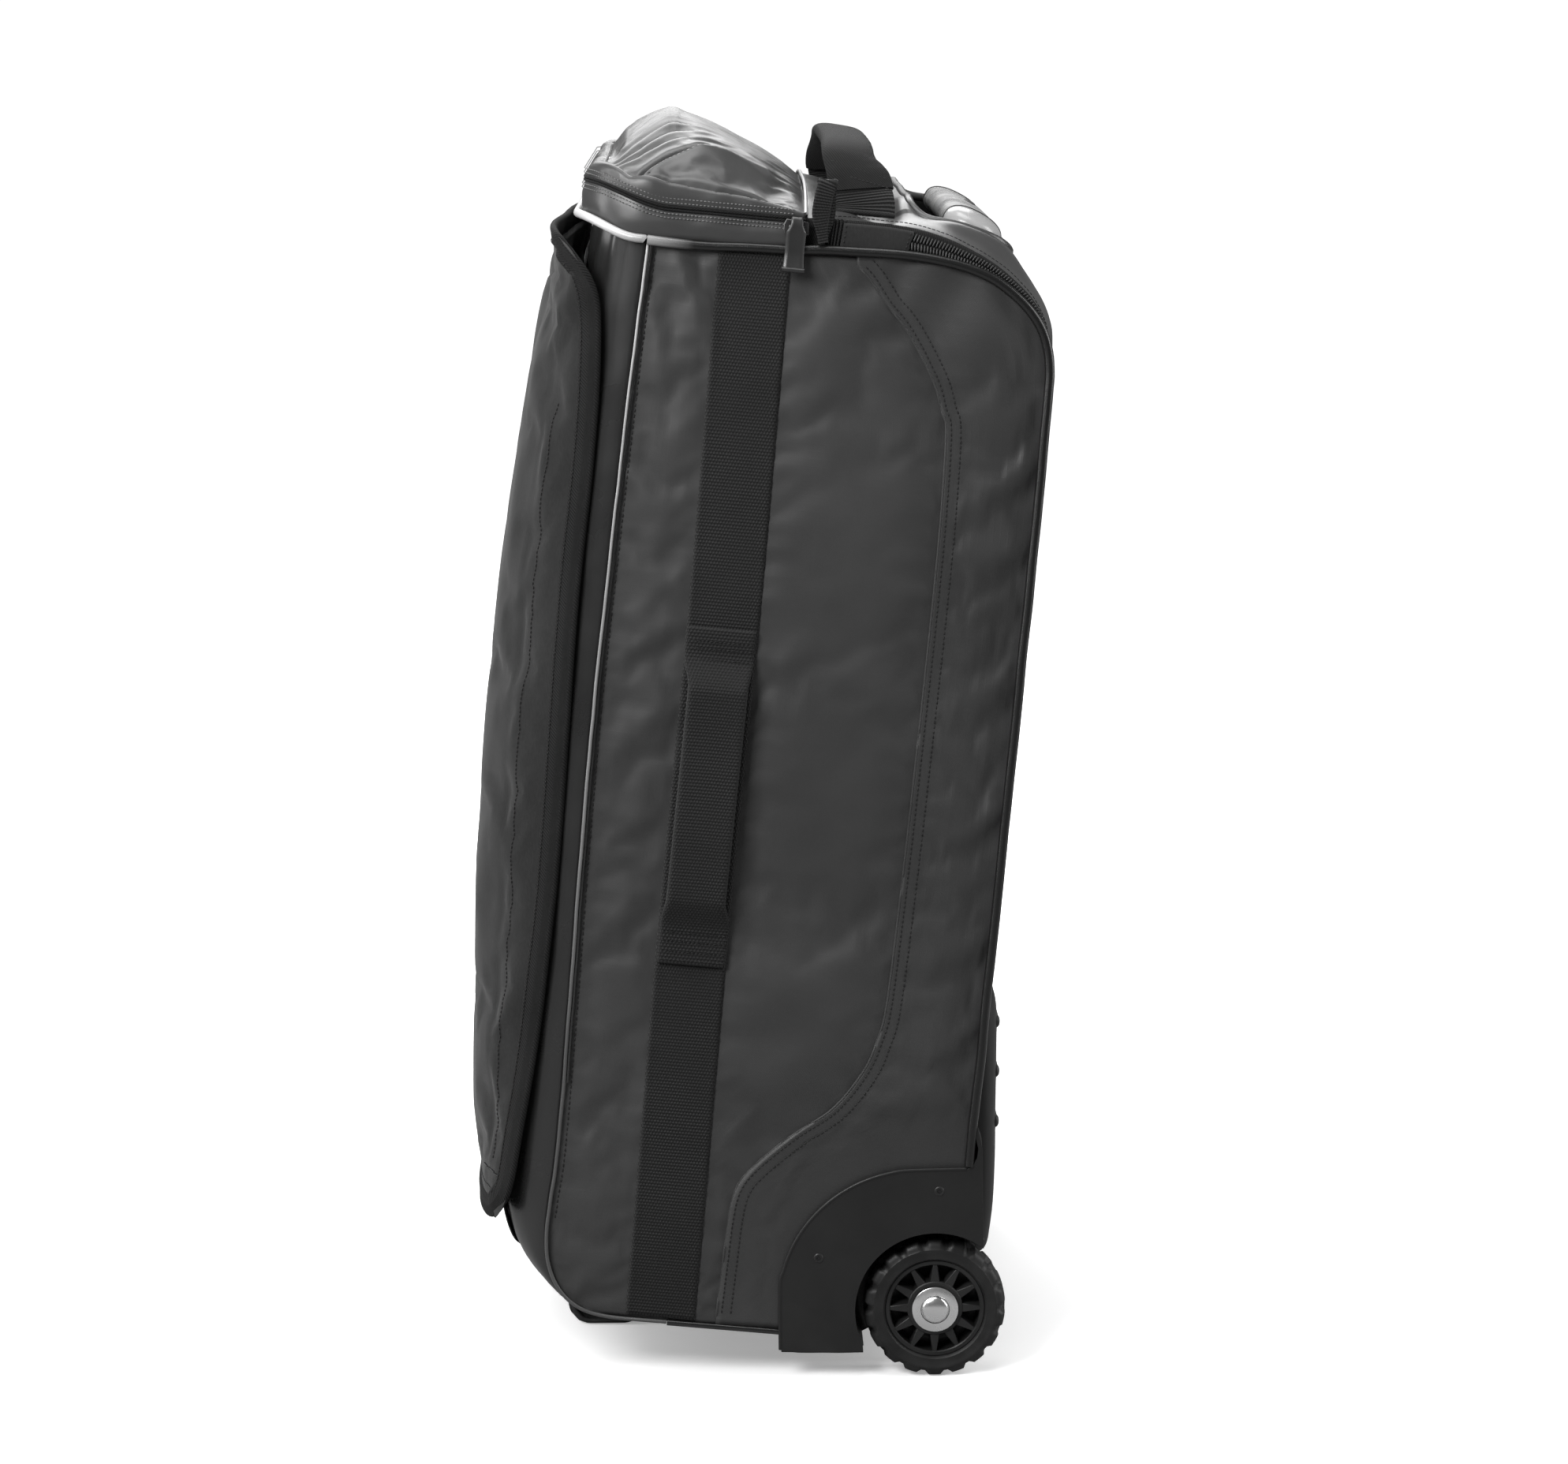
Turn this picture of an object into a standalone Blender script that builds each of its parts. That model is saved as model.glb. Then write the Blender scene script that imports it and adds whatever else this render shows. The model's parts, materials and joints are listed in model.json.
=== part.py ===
"""Upright wheeled bag for bowling balls and shoes, as an assembly of separate pieces.

Run with: blender --background --python part.py

Frame: +Z up, the floor at Z = 0, +X to the bag's right seen from behind, -Y the front.
Wheels, housings, kick guard and front foot stand square to the floor. Everything else
belongs to the bag, which leans back by LEAN about the wheel axle's foot point, so it is
modelled upright under the empty "bag" and leans with it.
"""

import math

import bmesh
import bpy
from mathutils import Matrix, Vector

# Driving dimensions, in metres and radians.
LEAN = math.radians(5.3)
AXLE_Y = 0.1081  # from the middle of the footprint back to the axle
GAP = 0.0004  # clear space between neighbouring pieces
MERGE = 0.00005  # merge distance on a turned shape's axis
SHARP_ANGLE = math.radians(35)  # edges sharper than this stay crisp

HALF_WIDTH = 0.179  # to the outer face of a side panel
PANEL = 0.005  # thickness of a side panel
SKIN = 0.004  # thickness of the other panels
BODY_FRONT = -0.248
BODY_BACK = 0.005
BODY_BOTTOM = 0.022
BODY_TOP = 0.700
DECK_LOW = 0.694  # underside of the panel between the bag and its top pocket
BACK_PANEL_TOP = 0.655
BACK_CORNER = 0.048  # radius of the side panel's upper back corner
FRONT_DEPTH = -0.279  # front face of the padded front frame
LID_RIGHT = 0.140  # right edge of the front opening
LID_LEFT = -0.152  # left edge, where the lid is hinged
LID_LOW = 0.062
LID_HIGH = 0.672

WHEEL_RADIUS = 0.045
WHEEL_WIDTH = 0.026
WHEEL_MIDDLE = 0.169  # X of the wheel's middle plane
TYRE_BORE = 0.0315
LUGS = 18
SPOKES = 12
HUB_RADIUS = 0.0178
RIM_INSET = 0.0015  # how far the rim's faces lie inside the tyre's
WASHER_RADIUS = 0.0147
WASHER_THICKNESS = 0.0014
AXLE_RADIUS = 0.005
AXLE_HEAD_RADIUS = 0.0086
AXLE_HEAD_HEIGHT = 0.0035
AXLE_TAIL = 0.1495  # X where the rivet ends, inside the housing
ARCH_RADIUS = 0.051
HOUSING_WALL = 0.0045
HOUSING_BACK = 0.029
HOUSING_BOTTOM = 0.0173

TUBE_X = 0.120
TUBE_Y = -0.045
TUBE_RADIUS = 0.009
TUBE_WALL = 0.001
HANDLE_TRAVEL_ROOM = 0.008  # how far the inner tubes stop above the outer tubes' foot

STRAP_LOW = -0.200
STRAP_HIGH = -0.156
WEB = 0.0016  # thickness of the webbing
COIL_RADIUS = 0.0013  # half the height of a zip's coil

TOP_HINGE = (-0.150, 0.738)
TOP_WALL_HIGH = 0.718  # beside the bag; it rises towards the front
FLAP_HINGE = (-0.146, -0.286)
HANDLE_Y = -0.113
HANDLE_FOOT = 0.7312
HANDLE_HALF = 0.142
HANDLE_RISE = 0.0420


# ---------------------------------------------------------------- helpers


def clear_scene():
    for old in list(bpy.data.objects):
        bpy.data.objects.remove(old, do_unlink=True)


def new_collection(name):
    group = bpy.data.collections.new(name)
    bpy.context.scene.collection.children.link(group)
    return group


clear_scene()
PARTS = new_collection("wheeled_ball_bag")
CUTTERS = new_collection("cutters")


def material(name, colour, roughness, metallic=0.0):
    made = bpy.data.materials.new(name)
    made.use_nodes = True
    shader = made.node_tree.nodes["Principled BSDF"]
    shader.inputs["Base Color"].default_value = (*colour, 1.0)
    shader.inputs["Roughness"].default_value = roughness
    shader.inputs["Metallic"].default_value = metallic
    return made


def empty(name, location, parent=None):
    made = bpy.data.objects.new(name, None)
    made.location = location
    made.parent = parent
    PARTS.objects.link(made)
    return made


def place(obj, parent, look, group=None):
    """Puts an object in its collection, under its parent and with its material.

    Meshes hold bag or stand coordinates, so a piece under a pivot is set back by the pivot.
    """
    (group or PARTS).objects.link(obj)
    if look:
        obj.data.materials.append(look)
    if obj.type == "MESH" and obj.data.polygons:
        obj.data.shade_smooth()
        obj.data.set_sharp_from_angle(angle=SHARP_ANGLE)
    obj.parent = parent
    if parent is not None and parent.name.endswith("_pivot"):
        obj.location = -parent.location
    return obj


def pivot(name, location, parent):
    return empty(name + "_pivot", location, parent)


def mesh_object(name, build, parent, look, group=None):
    mesh = bpy.data.meshes.new(name)
    shape = bmesh.new()
    build(shape)
    bmesh.ops.recalc_face_normals(shape, faces=shape.faces)
    shape.to_mesh(mesh)
    shape.free()
    return place(bpy.data.objects.new(name, mesh), parent, look, group)


def box(name, low, high, parent, look, group=None):
    size = Vector(high) - Vector(low)
    middle = (Vector(high) + Vector(low)) / 2

    def build(shape):
        move = Matrix.Translation(middle) @ Matrix.Diagonal((*size, 1.0))
        bmesh.ops.create_cube(shape, size=1.0, matrix=move)

    return mesh_object(name, build, parent, look, group)


def along_x(centre, depth):
    turn = Matrix.Rotation(math.pi / 2, 4, "Y")
    return Matrix.Translation(centre) @ turn @ Matrix.Scale(depth, 4, (0, 0, 1))


def drum(name, radius, x_low, x_high, y, z, parent, look=None, group=None, segments=48):
    """A cylinder whose axis runs along X."""

    def build(shape):
        bmesh.ops.create_cone(
            shape,
            cap_ends=True,
            segments=segments,
            radius1=radius,
            radius2=radius,
            depth=1.0,
            matrix=along_x(((x_low + x_high) / 2, y, z), x_high - x_low),
        )

    return mesh_object(name, build, parent, look, group)


AXES = {
    "X": Matrix(((0, 0, 1, 0), (1, 0, 0, 0), (0, 1, 0, 0), (0, 0, 0, 1))),
    "Y": Matrix(((1, 0, 0, 0), (0, 0, -1, 0), (0, 1, 0, 0), (0, 0, 0, 1))),
    "Z": Matrix.Identity(4),
}


def plate(name, outlines, axis, low, high, parent, look, group=None):
    """A flat outline, with any holes after it, from low to high along an axis.

    Outline points are (Y, Z) for axis X, (X, Z) for axis Y and (X, Y) for axis Z.
    """
    curve = bpy.data.curves.new(name, "CURVE")
    curve.dimensions = "2D"
    curve.fill_mode = "BOTH"
    curve.extrude = (high - low) / 2
    for outline in outlines:
        spline = curve.splines.new("POLY")
        spline.points.add(len(outline) - 1)
        for point, (u, v) in zip(spline.points, outline):
            point.co = (u, v, 0.0, 1.0)
        spline.use_cyclic_u = True
    source = bpy.data.objects.new(name + "_outline", curve)
    bpy.context.scene.collection.objects.link(source)
    graph = bpy.context.evaluated_depsgraph_get()
    mesh = bpy.data.meshes.new_from_object(source.evaluated_get(graph))
    bpy.data.objects.remove(source)
    middle = (low + high) / 2
    lift = -middle if axis == "Y" else middle
    mesh.transform(AXES[axis] @ Matrix.Translation((0, 0, lift)))
    shape = bmesh.new()
    shape.from_mesh(mesh)
    bmesh.ops.remove_doubles(shape, verts=shape.verts, dist=0.00001)
    bmesh.ops.recalc_face_normals(shape, faces=shape.faces)
    shape.to_mesh(mesh)
    shape.free()
    mesh.name = name
    return place(bpy.data.objects.new(name, mesh), parent, look, group)


def arc(centre, radius, start, end, steps):
    """Points on a circle, with angles in degrees."""
    points = []
    for step in range(steps + 1):
        angle = math.radians(start + (end - start) * step / steps)
        points.append((centre[0] + radius * math.cos(angle), centre[1] + radius * math.sin(angle)))
    return points


def circle(radius, steps, centre=(0.0, 0.0)):
    return arc(centre, radius, 0, 360, steps)[:-1]


def rounded(low, high, radius, steps=6):
    """A rectangle with rounded corners, counter-clockwise."""
    (x0, y0), (x1, y1) = low, high
    corners = (
        ((x1 - radius, y0 + radius), -90),
        ((x1 - radius, y1 - radius), 0),
        ((x0 + radius, y1 - radius), 90),
        ((x0 + radius, y0 + radius), 180),
    )
    points = []
    for centre, start in corners:
        points += arc(centre, radius, start, start + 90, steps)
    return points


def cord(name, points, radius, parent, look):
    """A round cord or wire through the points."""
    curve = bpy.data.curves.new(name, "CURVE")
    curve.dimensions = "3D"
    curve.bevel_depth = radius
    curve.bevel_resolution = 1
    curve.use_fill_caps = True
    spline = curve.splines.new("POLY")
    spline.points.add(len(points) - 1)
    for point, place_at in zip(spline.points, points):
        point.co = (*place_at, 1.0)
    return place(bpy.data.objects.new(name, curve), parent, look)


def tube(name, outer, inner, low, high, x, y, parent, look):
    """A straight round tube along Z, turned from its wall's profile."""
    mesh = bpy.data.meshes.new(name)
    profile = [(outer, high), (outer, low), (inner, low), (inner, high)]
    mesh.from_pydata([(r, 0, z) for r, z in profile], [(0, 1), (1, 2), (2, 3), (3, 0)], [])
    obj = place(bpy.data.objects.new(name, mesh), parent, look)
    obj.location += Vector((x, y, 0))
    screw = obj.modifiers.new("turn", "SCREW")
    screw.steps = 24
    screw.render_steps = 24
    screw.use_merge_vertices = True
    screw.merge_threshold = MERGE
    screw.use_smooth_shade = True
    return obj


def sheet(name, surface, columns, rows, thickness, parent, look):
    """A curved panel: surface(u, v) for u and v from 0 to 1, thickened inwards."""

    def build(shape):
        grid = bmesh.ops.create_grid(shape, x_segments=columns, y_segments=rows, size=0.5)
        for vertex in grid["verts"]:
            vertex.co = surface(vertex.co.x + 0.5, vertex.co.y + 0.5)

    mesh = bpy.data.meshes.new(name)
    shape = bmesh.new()
    build(shape)
    shape.to_mesh(mesh)
    shape.free()
    obj = place(bpy.data.objects.new(name, mesh), parent, look)
    solid = obj.modifiers.new("thickness", "SOLIDIFY")
    solid.thickness = thickness
    solid.offset = -1.0
    return obj


def combine(obj, other, operation):
    change = obj.modifiers.new(operation.lower(), "BOOLEAN")
    change.operation = operation
    change.object = other
    other.hide_render = True
    other.display_type = "WIRE"
    return obj


def between(points, u):
    """The point a share u of the way through a list of points, by index."""
    at = min(u * (len(points) - 1), len(points) - 1.000001)
    step = int(at)
    return [a + (b - a) * (at - step) for a, b in zip(points[step], points[step + 1])]


def sides():
    """(name ending, sign of X) for the right and left sides."""
    return (("right", 1), ("left", -1))


def span(sign, low, high):
    """An X range on one side of the bag, lowest first."""
    return (low, high) if sign > 0 else (-high, -low)


# ---------------------------------------------------------------- materials

TARPAULIN = material("tarpaulin", (0.055, 0.056, 0.058), 0.45)
GLOSS_VINYL = material("gloss_vinyl", (0.030, 0.031, 0.033), 0.25)
NYLON = material("nylon_fabric", (0.035, 0.035, 0.036), 0.75)
WEBBING = material("webbing", (0.012, 0.012, 0.013), 0.80)
PIPING = material("piping", (0.010, 0.010, 0.011), 0.22)
REFLECTIVE = material("reflective_piping", (0.55, 0.56, 0.58), 0.35)
ZIP_COIL = material("zip_coil", (0.020, 0.020, 0.021), 0.50)
ZIP_METAL = material("zip_metal", (0.10, 0.10, 0.105), 0.35, 0.8)
PULLER = material("puller_rubber", (0.025, 0.025, 0.026), 0.45)
MOULDED = material("moulded_plastic", (0.022, 0.022, 0.023), 0.42)
TYRE = material("tyre_rubber", (0.018, 0.018, 0.019), 0.60)
RIM = material("rim_plastic", (0.020, 0.020, 0.021), 0.40)
STEEL = material("bright_steel", (0.75, 0.75, 0.76), 0.20, 1.0)
TUBE = material("tube_metal", (0.32, 0.33, 0.34), 0.30, 1.0)
GRIP = material("grip_plastic", (0.16, 0.165, 0.17), 0.30)
BOARD = material("stiffener_board", (0.030, 0.030, 0.030), 0.60)
FOAM = material("foam_padding", (0.045, 0.045, 0.047), 0.90)

# ---------------------------------------------------------------- frames

stand = empty("stand", (0, AXLE_Y, 0))
bag = empty("bag", (0, 0, 0), stand)
bag.rotation_euler = (-LEAN, 0, 0)

# The axle's place in the bag's own leaning coordinates.
AXLE_IN_BAG = (-WHEEL_RADIUS * math.sin(LEAN), WHEEL_RADIUS * math.cos(LEAN))

# ---------------------------------------------------------------- wheels and housings


def tyre_outline():
    """Tread lugs with grooves between them, one lug flat on the floor."""
    groove_depth = 0.0022
    points = []
    pitch = 360 / LUGS
    for lug in range(LUGS):
        middle = -90 + lug * pitch
        edges = ((-0.36, 0), (-0.12, 0), (0.12, 0), (0.36, 0), (0.40, groove_depth), (0.60, groove_depth))
        for share, depth in edges:
            angle = math.radians(middle + share * pitch)
            radius = WHEEL_RADIUS - depth
            points.append((radius * math.cos(angle), radius * math.sin(angle)))
    return points


def rim_outlines():
    """A disc with twelve windows between tapered spokes, and the axle's bore."""
    window_in, window_out = HUB_RADIUS, 0.0283
    outlines = [circle(TYRE_BORE - GAP, 72)]
    for spoke in range(SPOKES):
        middle = math.radians(360 / SPOKES * (spoke + 0.5))
        inner, outer = math.radians(7.0), math.radians(12.5)
        corners = ((window_in, -inner), (window_out, -outer), (window_out, outer), (window_in, inner))
        outlines.append([(r * math.cos(middle + a), r * math.sin(middle + a)) for r, a in corners])
    outlines.append(circle(AXLE_RADIUS + GAP, 24))
    return outlines


def raised(outline, rise=WHEEL_RADIUS):
    return [(y, z + rise) for y, z in outline]


def wheel(end, sign):
    spin = pivot("wheel_" + end, (0, 0, WHEEL_RADIUS), stand)
    low, high = WHEEL_MIDDLE - WHEEL_WIDTH / 2, WHEEL_MIDDLE + WHEEL_WIDTH / 2
    tyre = [raised(tyre_outline()), raised(circle(TYRE_BORE, 72))]
    plate("tyre_" + end, tyre, "X", *span(sign, low, high), spin, TYRE)
    rim = [raised(outline) for outline in rim_outlines()]
    rim_low, rim_high = low + RIM_INSET, high - RIM_INSET
    plate("wheel_rim_" + end, rim, "X", *span(sign, rim_low, rim_high), spin, RIM)

    washer_low = rim_high + GAP
    washer_high = washer_low + WASHER_THICKNESS
    washer = [raised(circle(WASHER_RADIUS, 48)), raised(circle(AXLE_RADIUS + GAP, 24))]
    plate("washer_" + end, washer, "X", *span(sign, washer_low, washer_high), stand, STEEL)

    axle = turned_axle("axle_" + end, washer_high + GAP)
    if sign < 0:
        axle.rotation_euler = (0, -math.pi / 2, 0)
    axle.location = (0, 0, WHEEL_RADIUS)


def turned_axle(name, head_low):
    """A rivet along X: a domed head outside the washer, its shank through rim and housing."""
    profile = [(0, head_low + AXLE_HEAD_HEIGHT)]
    for step in range(1, 5):
        angle = math.radians(90 - 22.5 * step)
        rise = AXLE_HEAD_HEIGHT * math.sin(angle)
        profile.append((AXLE_HEAD_RADIUS * math.cos(angle), head_low + rise))
    profile += [(AXLE_RADIUS, head_low), (AXLE_RADIUS, AXLE_TAIL), (0, AXLE_TAIL)]
    edges = [(step, step + 1) for step in range(len(profile) - 1)]
    mesh = bpy.data.meshes.new(name)
    mesh.from_pydata([(radius, 0, z) for radius, z in profile], edges, [])
    obj = place(bpy.data.objects.new(name, mesh), stand, STEEL)
    screw = obj.modifiers.new("turn", "SCREW")
    screw.steps = 24
    screw.render_steps = 24
    screw.use_merge_vertices = True
    screw.merge_threshold = MERGE
    screw.use_smooth_shade = True
    obj.rotation_euler = (0, math.pi / 2, 0)
    return obj


def housing_outline():
    """The guard's side view: an arched front, a flat top and a tongue up the bag's back edge."""
    front = (-0.011, 0.049)
    arch = arc(front, 0.088, 170, 96, 10)
    tongue = [(0.0185, 0.1385), (0.0215, 0.143), (0.0230, 0.158), (0.0258, 0.161), (HOUSING_BACK, 0.158)]
    return [(-0.098, HOUSING_BOTTOM), (-0.098, 0.056), *arch, *tongue, (HOUSING_BACK, HOUSING_BOTTOM)]


def bag_envelope():
    """The bag's volume with a hole round each wheel well: what a housing must stay clear of."""
    clear = 0.0015
    low = (-HALF_WIDTH - clear, -0.32, BODY_BOTTOM - GAP)
    high = (HALF_WIDTH + clear, BODY_BACK + clear, 0.8)
    solid = box("bag_envelope", low, high, bag, None, CUTTERS)
    radius = ARCH_RADIUS + HOUSING_WALL
    wells = drum("well_core", radius, -0.3, 0.3, *AXLE_IN_BAG, bag, None, CUTTERS)
    return combine(solid, wells, "DIFFERENCE")


def housing(end, sign, envelope):
    inner, outer, wall = 0.150, 0.184, 0.003
    width = span(sign, inner, outer)
    obj = plate("wheel_housing_" + end, [housing_outline()], "X", *width, stand, MOULDED)
    axis = (0, WHEEL_RADIUS, stand, None, CUTTERS)
    well = drum("wheel_well_" + end, ARCH_RADIUS, *span(sign, inner + wall, 0.25), *axis, 64)
    bore = drum("axle_bore_" + end, AXLE_RADIUS + GAP, *span(sign, 0.1, 0.2), *axis, 24)
    combine(obj, well, "DIFFERENCE")
    combine(obj, bore, "DIFFERENCE")
    combine(obj, envelope, "DIFFERENCE")


def wheels_and_housings():
    envelope = bag_envelope()
    for end, sign in sides():
        wheel(end, sign)
        housing(end, sign, envelope)


# ---------------------------------------------------------------- bag shell


def side_outline():
    """The side panel's edge: square at the front, rounded at the upper back."""
    back = BODY_BACK + 0.001
    toe = 0.020
    front = arc((BODY_FRONT + toe, BODY_BOTTOM + toe), toe, 180, 270, 4)
    shoulder = arc((back - BACK_CORNER, BODY_TOP - BACK_CORNER), BACK_CORNER, 0, 90, 8)
    return [*front, (back, BODY_BOTTOM), *shoulder, (BODY_FRONT, BODY_TOP - 0.001)]


def shell(wells):
    for end, sign in sides():
        width = span(sign, HALF_WIDTH - PANEL, HALF_WIDTH)
        panel = plate("side_panel_" + end, [side_outline()], "X", *width, bag, TARPAULIN)
        combine(panel, wells, "DIFFERENCE")
    inside = HALF_WIDTH - PANEL - GAP
    low = (-inside, BODY_FRONT, BODY_BOTTOM)
    high = (inside, BODY_BACK - SKIN - GAP, BODY_BOTTOM + SKIN)
    combine(box("bottom_panel", low, high, bag, GLOSS_VINYL), wells, "DIFFERENCE")
    low = (-inside, BODY_BACK - SKIN, BODY_BOTTOM)
    high = (inside, BODY_BACK, BACK_PANEL_TOP)
    combine(box("back_panel", low, high, bag, TARPAULIN), wells, "DIFFERENCE")
    low = (-inside, BODY_FRONT, DECK_LOW)
    high = (inside, TUBE_Y - 0.030, DECK_LOW + SKIN)
    box("top_deck", low, high, bag, GLOSS_VINYL)


def front_frame():
    """The padded frame round the front opening, its outer edge sloped back to the side seams."""
    outer = rounded((-0.172, BODY_BOTTOM + 0.004), (0.172, BODY_TOP - 0.001), 0.030)
    hole = rounded((LID_LEFT, LID_LOW), (LID_RIGHT, LID_HIGH), 0.020)
    frame = plate("front_frame", [outer, hole], "Y", FRONT_DEPTH, BODY_FRONT - GAP, bag, GLOSS_VINYL)
    for end, sign in sides():
        slope = [(sign * 0.1725, -0.262), (sign * 0.158, -0.2795), (sign * 0.180, -0.2795)]
        outline = slope if sign < 0 else slope[::-1]
        wedge = plate("frame_slope_" + end, [outline], "Z", 0.0, 0.72, bag, None, CUTTERS)
        combine(frame, wedge, "DIFFERENCE")


def front_lid():
    hinge = pivot("front_lid", (LID_LEFT, -0.2822, 0), bag)
    low = (LID_LEFT + GAP, LID_LOW + GAP)
    high = (LID_RIGHT - GAP, LID_HIGH - GAP)
    plate("front_lid", [rounded(low, high, 0.020)], "Y", -0.282, -0.278, hinge, GLOSS_VINYL)
    return hinge


def lid_zip():
    """The zip tape on the frame beside the lid, with its slider and puller on the right-hand run."""
    low, high = LID_RIGHT + 0.003, LID_RIGHT + 0.011
    tape_low, tape_high = FRONT_DEPTH - 0.0016, FRONT_DEPTH - GAP
    bottom, top = LID_LOW - 0.006, LID_HIGH + 0.006
    tape = [
        (-low + 0.012, bottom - 0.008),
        (high, bottom - 0.008),
        (high, top + 0.008),
        (-low + 0.012, top + 0.008),
        (-low + 0.012, top),
        (low, top),
        (low, bottom),
        (-low + 0.012, bottom),
    ]
    plate("lid_zip_chain", [tape], "Y", tape_low, tape_high, bag, ZIP_COIL)
    run = (low + high) / 2
    start = 0.110
    slide = pivot("lid_zip_slider", (run, tape_low, start), bag)
    wide, narrow = 0.0045, 0.003
    outline = [
        (run - wide, start - 0.007),
        (run + wide, start - 0.007),
        (run + narrow, start + 0.008),
        (run - narrow, start + 0.008),
    ]
    slider_front = tape_low - 0.0044
    plate("lid_zip_slider", [outline], "Y", slider_front, tape_low - GAP, slide, ZIP_METAL)
    front = slider_front - GAP
    swing = pivot("lid_zip_puller", (run, front - 0.0006, start + 0.004), bag)
    tab = rounded((run - 0.004, start - 0.020), (run + 0.004, start + 0.0048), 0.003, 3)
    plate("lid_zip_puller", [tab], "Y", front - 0.0016, front, swing, PULLER)


def flap_surface(u, v):
    """The storm flap: nearly flat across the front, its free edge turned back round the corner."""
    z = 0.080 + 0.620 * v
    middle = (z - 0.390) / 0.310
    front = -0.319 + 0.020 * middle * middle
    hinge_edge = FLAP_HINGE[1] - 0.002
    low_turn = max(0.0, (0.400 - z) / 0.320)
    high_turn = max(0.0, (z - 0.640) / 0.060)
    free_edge = -0.268 - 0.013 * low_turn**2 - 0.029 * high_turn**1.6
    edge = hinge_edge + (free_edge - hinge_edge) * u
    crown = (1.0 - (1.0 - u) ** 3) * (1.0 - u**20)
    x = FLAP_HINGE[0] + 0.002 + 0.323 * u
    return Vector((x, edge + (front - edge) * crown, z))


def storm_flap():
    hinge = pivot("storm_flap", (*FLAP_HINGE, 0), bag)

    def surface(u, v):
        # Columns crowd towards the turned edge, where the curve is.
        return flap_surface(0.3 * u + 0.7 * math.sin(math.pi / 2 * u), v)

    sheet("storm_flap", surface, 20, 12, 0.0025, hinge, NYLON)


# ---------------------------------------------------------------- top


def wall_top(y):
    """Height of the top pocket's wall, which rises round the front."""
    return TOP_WALL_HIGH + 0.011 * max(0.0, min(1.0, (-0.232 - y) / 0.052))


def top_wall():
    """The low wall round the top pocket, open at the back."""
    thickness = 0.003
    front, radius, end = -0.284, 0.040, -0.150

    def path(inset):
        x = HALF_WIDTH - 0.001 - inset
        y = front + inset
        bend = radius - inset
        right = arc((x - bend, y + bend), bend, 0, -90, 6)
        return [(x, end), *right, *[(-px, py) for px, py in reversed(right)], (-x, end)]

    outline = path(0.0) + path(thickness)[::-1]
    wall = plate("top_wall", [outline], "Z", BODY_TOP + GAP, TOP_WALL_HIGH, bag, TARPAULIN)
    for vertex in wall.data.vertices:
        if vertex.co.z > TOP_WALL_HIGH - 0.001:
            vertex.co.z = wall_top(vertex.co.y)


def flap_profile(y):
    """Height of the top flap's middle line above its side edges."""
    points = [
        (-0.158, 0.016),
        (-0.185, 0.031),
        (-0.212, 0.041),
        (-0.237, 0.050),
        (-0.258, 0.038),
        (-0.274, 0.025),
        (-0.284, 0.0135),
    ]
    for (y0, h0), (y1, h1) in zip(points, points[1:]):
        if y >= y1:
            return h0 + (h1 - h0) * (y0 - y) / (y0 - y1)
    return points[-1][1]


def flap_drop(y):
    return wall_top(y) - TOP_WALL_HIGH


def top_flap():
    hinge = pivot("top_flap", (0, *TOP_HINGE), bag)
    back, depth = -0.158, 0.126
    corner = 0.040
    clear = 0.0058

    def surface(u, v):
        y = back - depth * v
        half = HALF_WIDTH - 0.001
        past = corner - (y - (back - depth))
        if past > 0:
            half = half - corner + math.sqrt(max(0.0, corner**2 - past**2))
        across = 1.0 - 2.0 * u
        crown = 1.0 - abs(across) ** 3
        rise = (flap_profile(y) - flap_drop(y)) * crown
        return Vector((half * across, y, wall_top(y) + clear + rise))

    sheet("top_flap", surface, 16, 12, 0.003, hinge, TARPAULIN)


def rear_profile():
    """Middle line of the rear top panel, from the flap's hinge over the corner to the back."""
    return [
        (-0.144, 0.736),
        (-0.120, 0.733),
        (-0.100, 0.732),
        (-0.080, 0.733),
        (-0.056, 0.729),
        (-0.032, 0.719),
        (-0.010, 0.702),
        (0.006, 0.682),
        (0.014, 0.662),
    ]


def rear_top_panel():
    profile = rear_profile()

    def surface(u, v):
        y, z = between(profile, v)
        before = between(profile, max(0.0, v - 0.06))
        after = between(profile, min(1.0, v + 0.06))
        along = Vector((after[0] - before[0], after[1] - before[1])).normalized()
        inset = 0.0145 * abs(1.0 - 2.0 * u) ** 3
        x = (HALF_WIDTH - PANEL - GAP) * (2.0 * u - 1.0)
        return Vector((x, y + along.y * inset, z - along.x * inset))

    panel = sheet("rear_top_panel", surface, 16, 16, 0.003, bag, TARPAULIN)
    slot = rounded((-0.140, -0.088), (0.140, -0.020), 0.020)
    combine(panel, plate("grip_slot", [slot], "Z", 0.69, 0.78, bag, None, CUTTERS), "DIFFERENCE")


def seam_height(x):
    return 0.7335 - 0.014 * abs(x / 0.178) ** 3


def top_seam():
    points = [(x / 10 * 0.174, -0.151, seam_height(x / 10 * 0.174)) for x in range(-10, 11)]
    cord("top_seam_piping", points, 0.0018, bag, REFLECTIVE)


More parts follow.
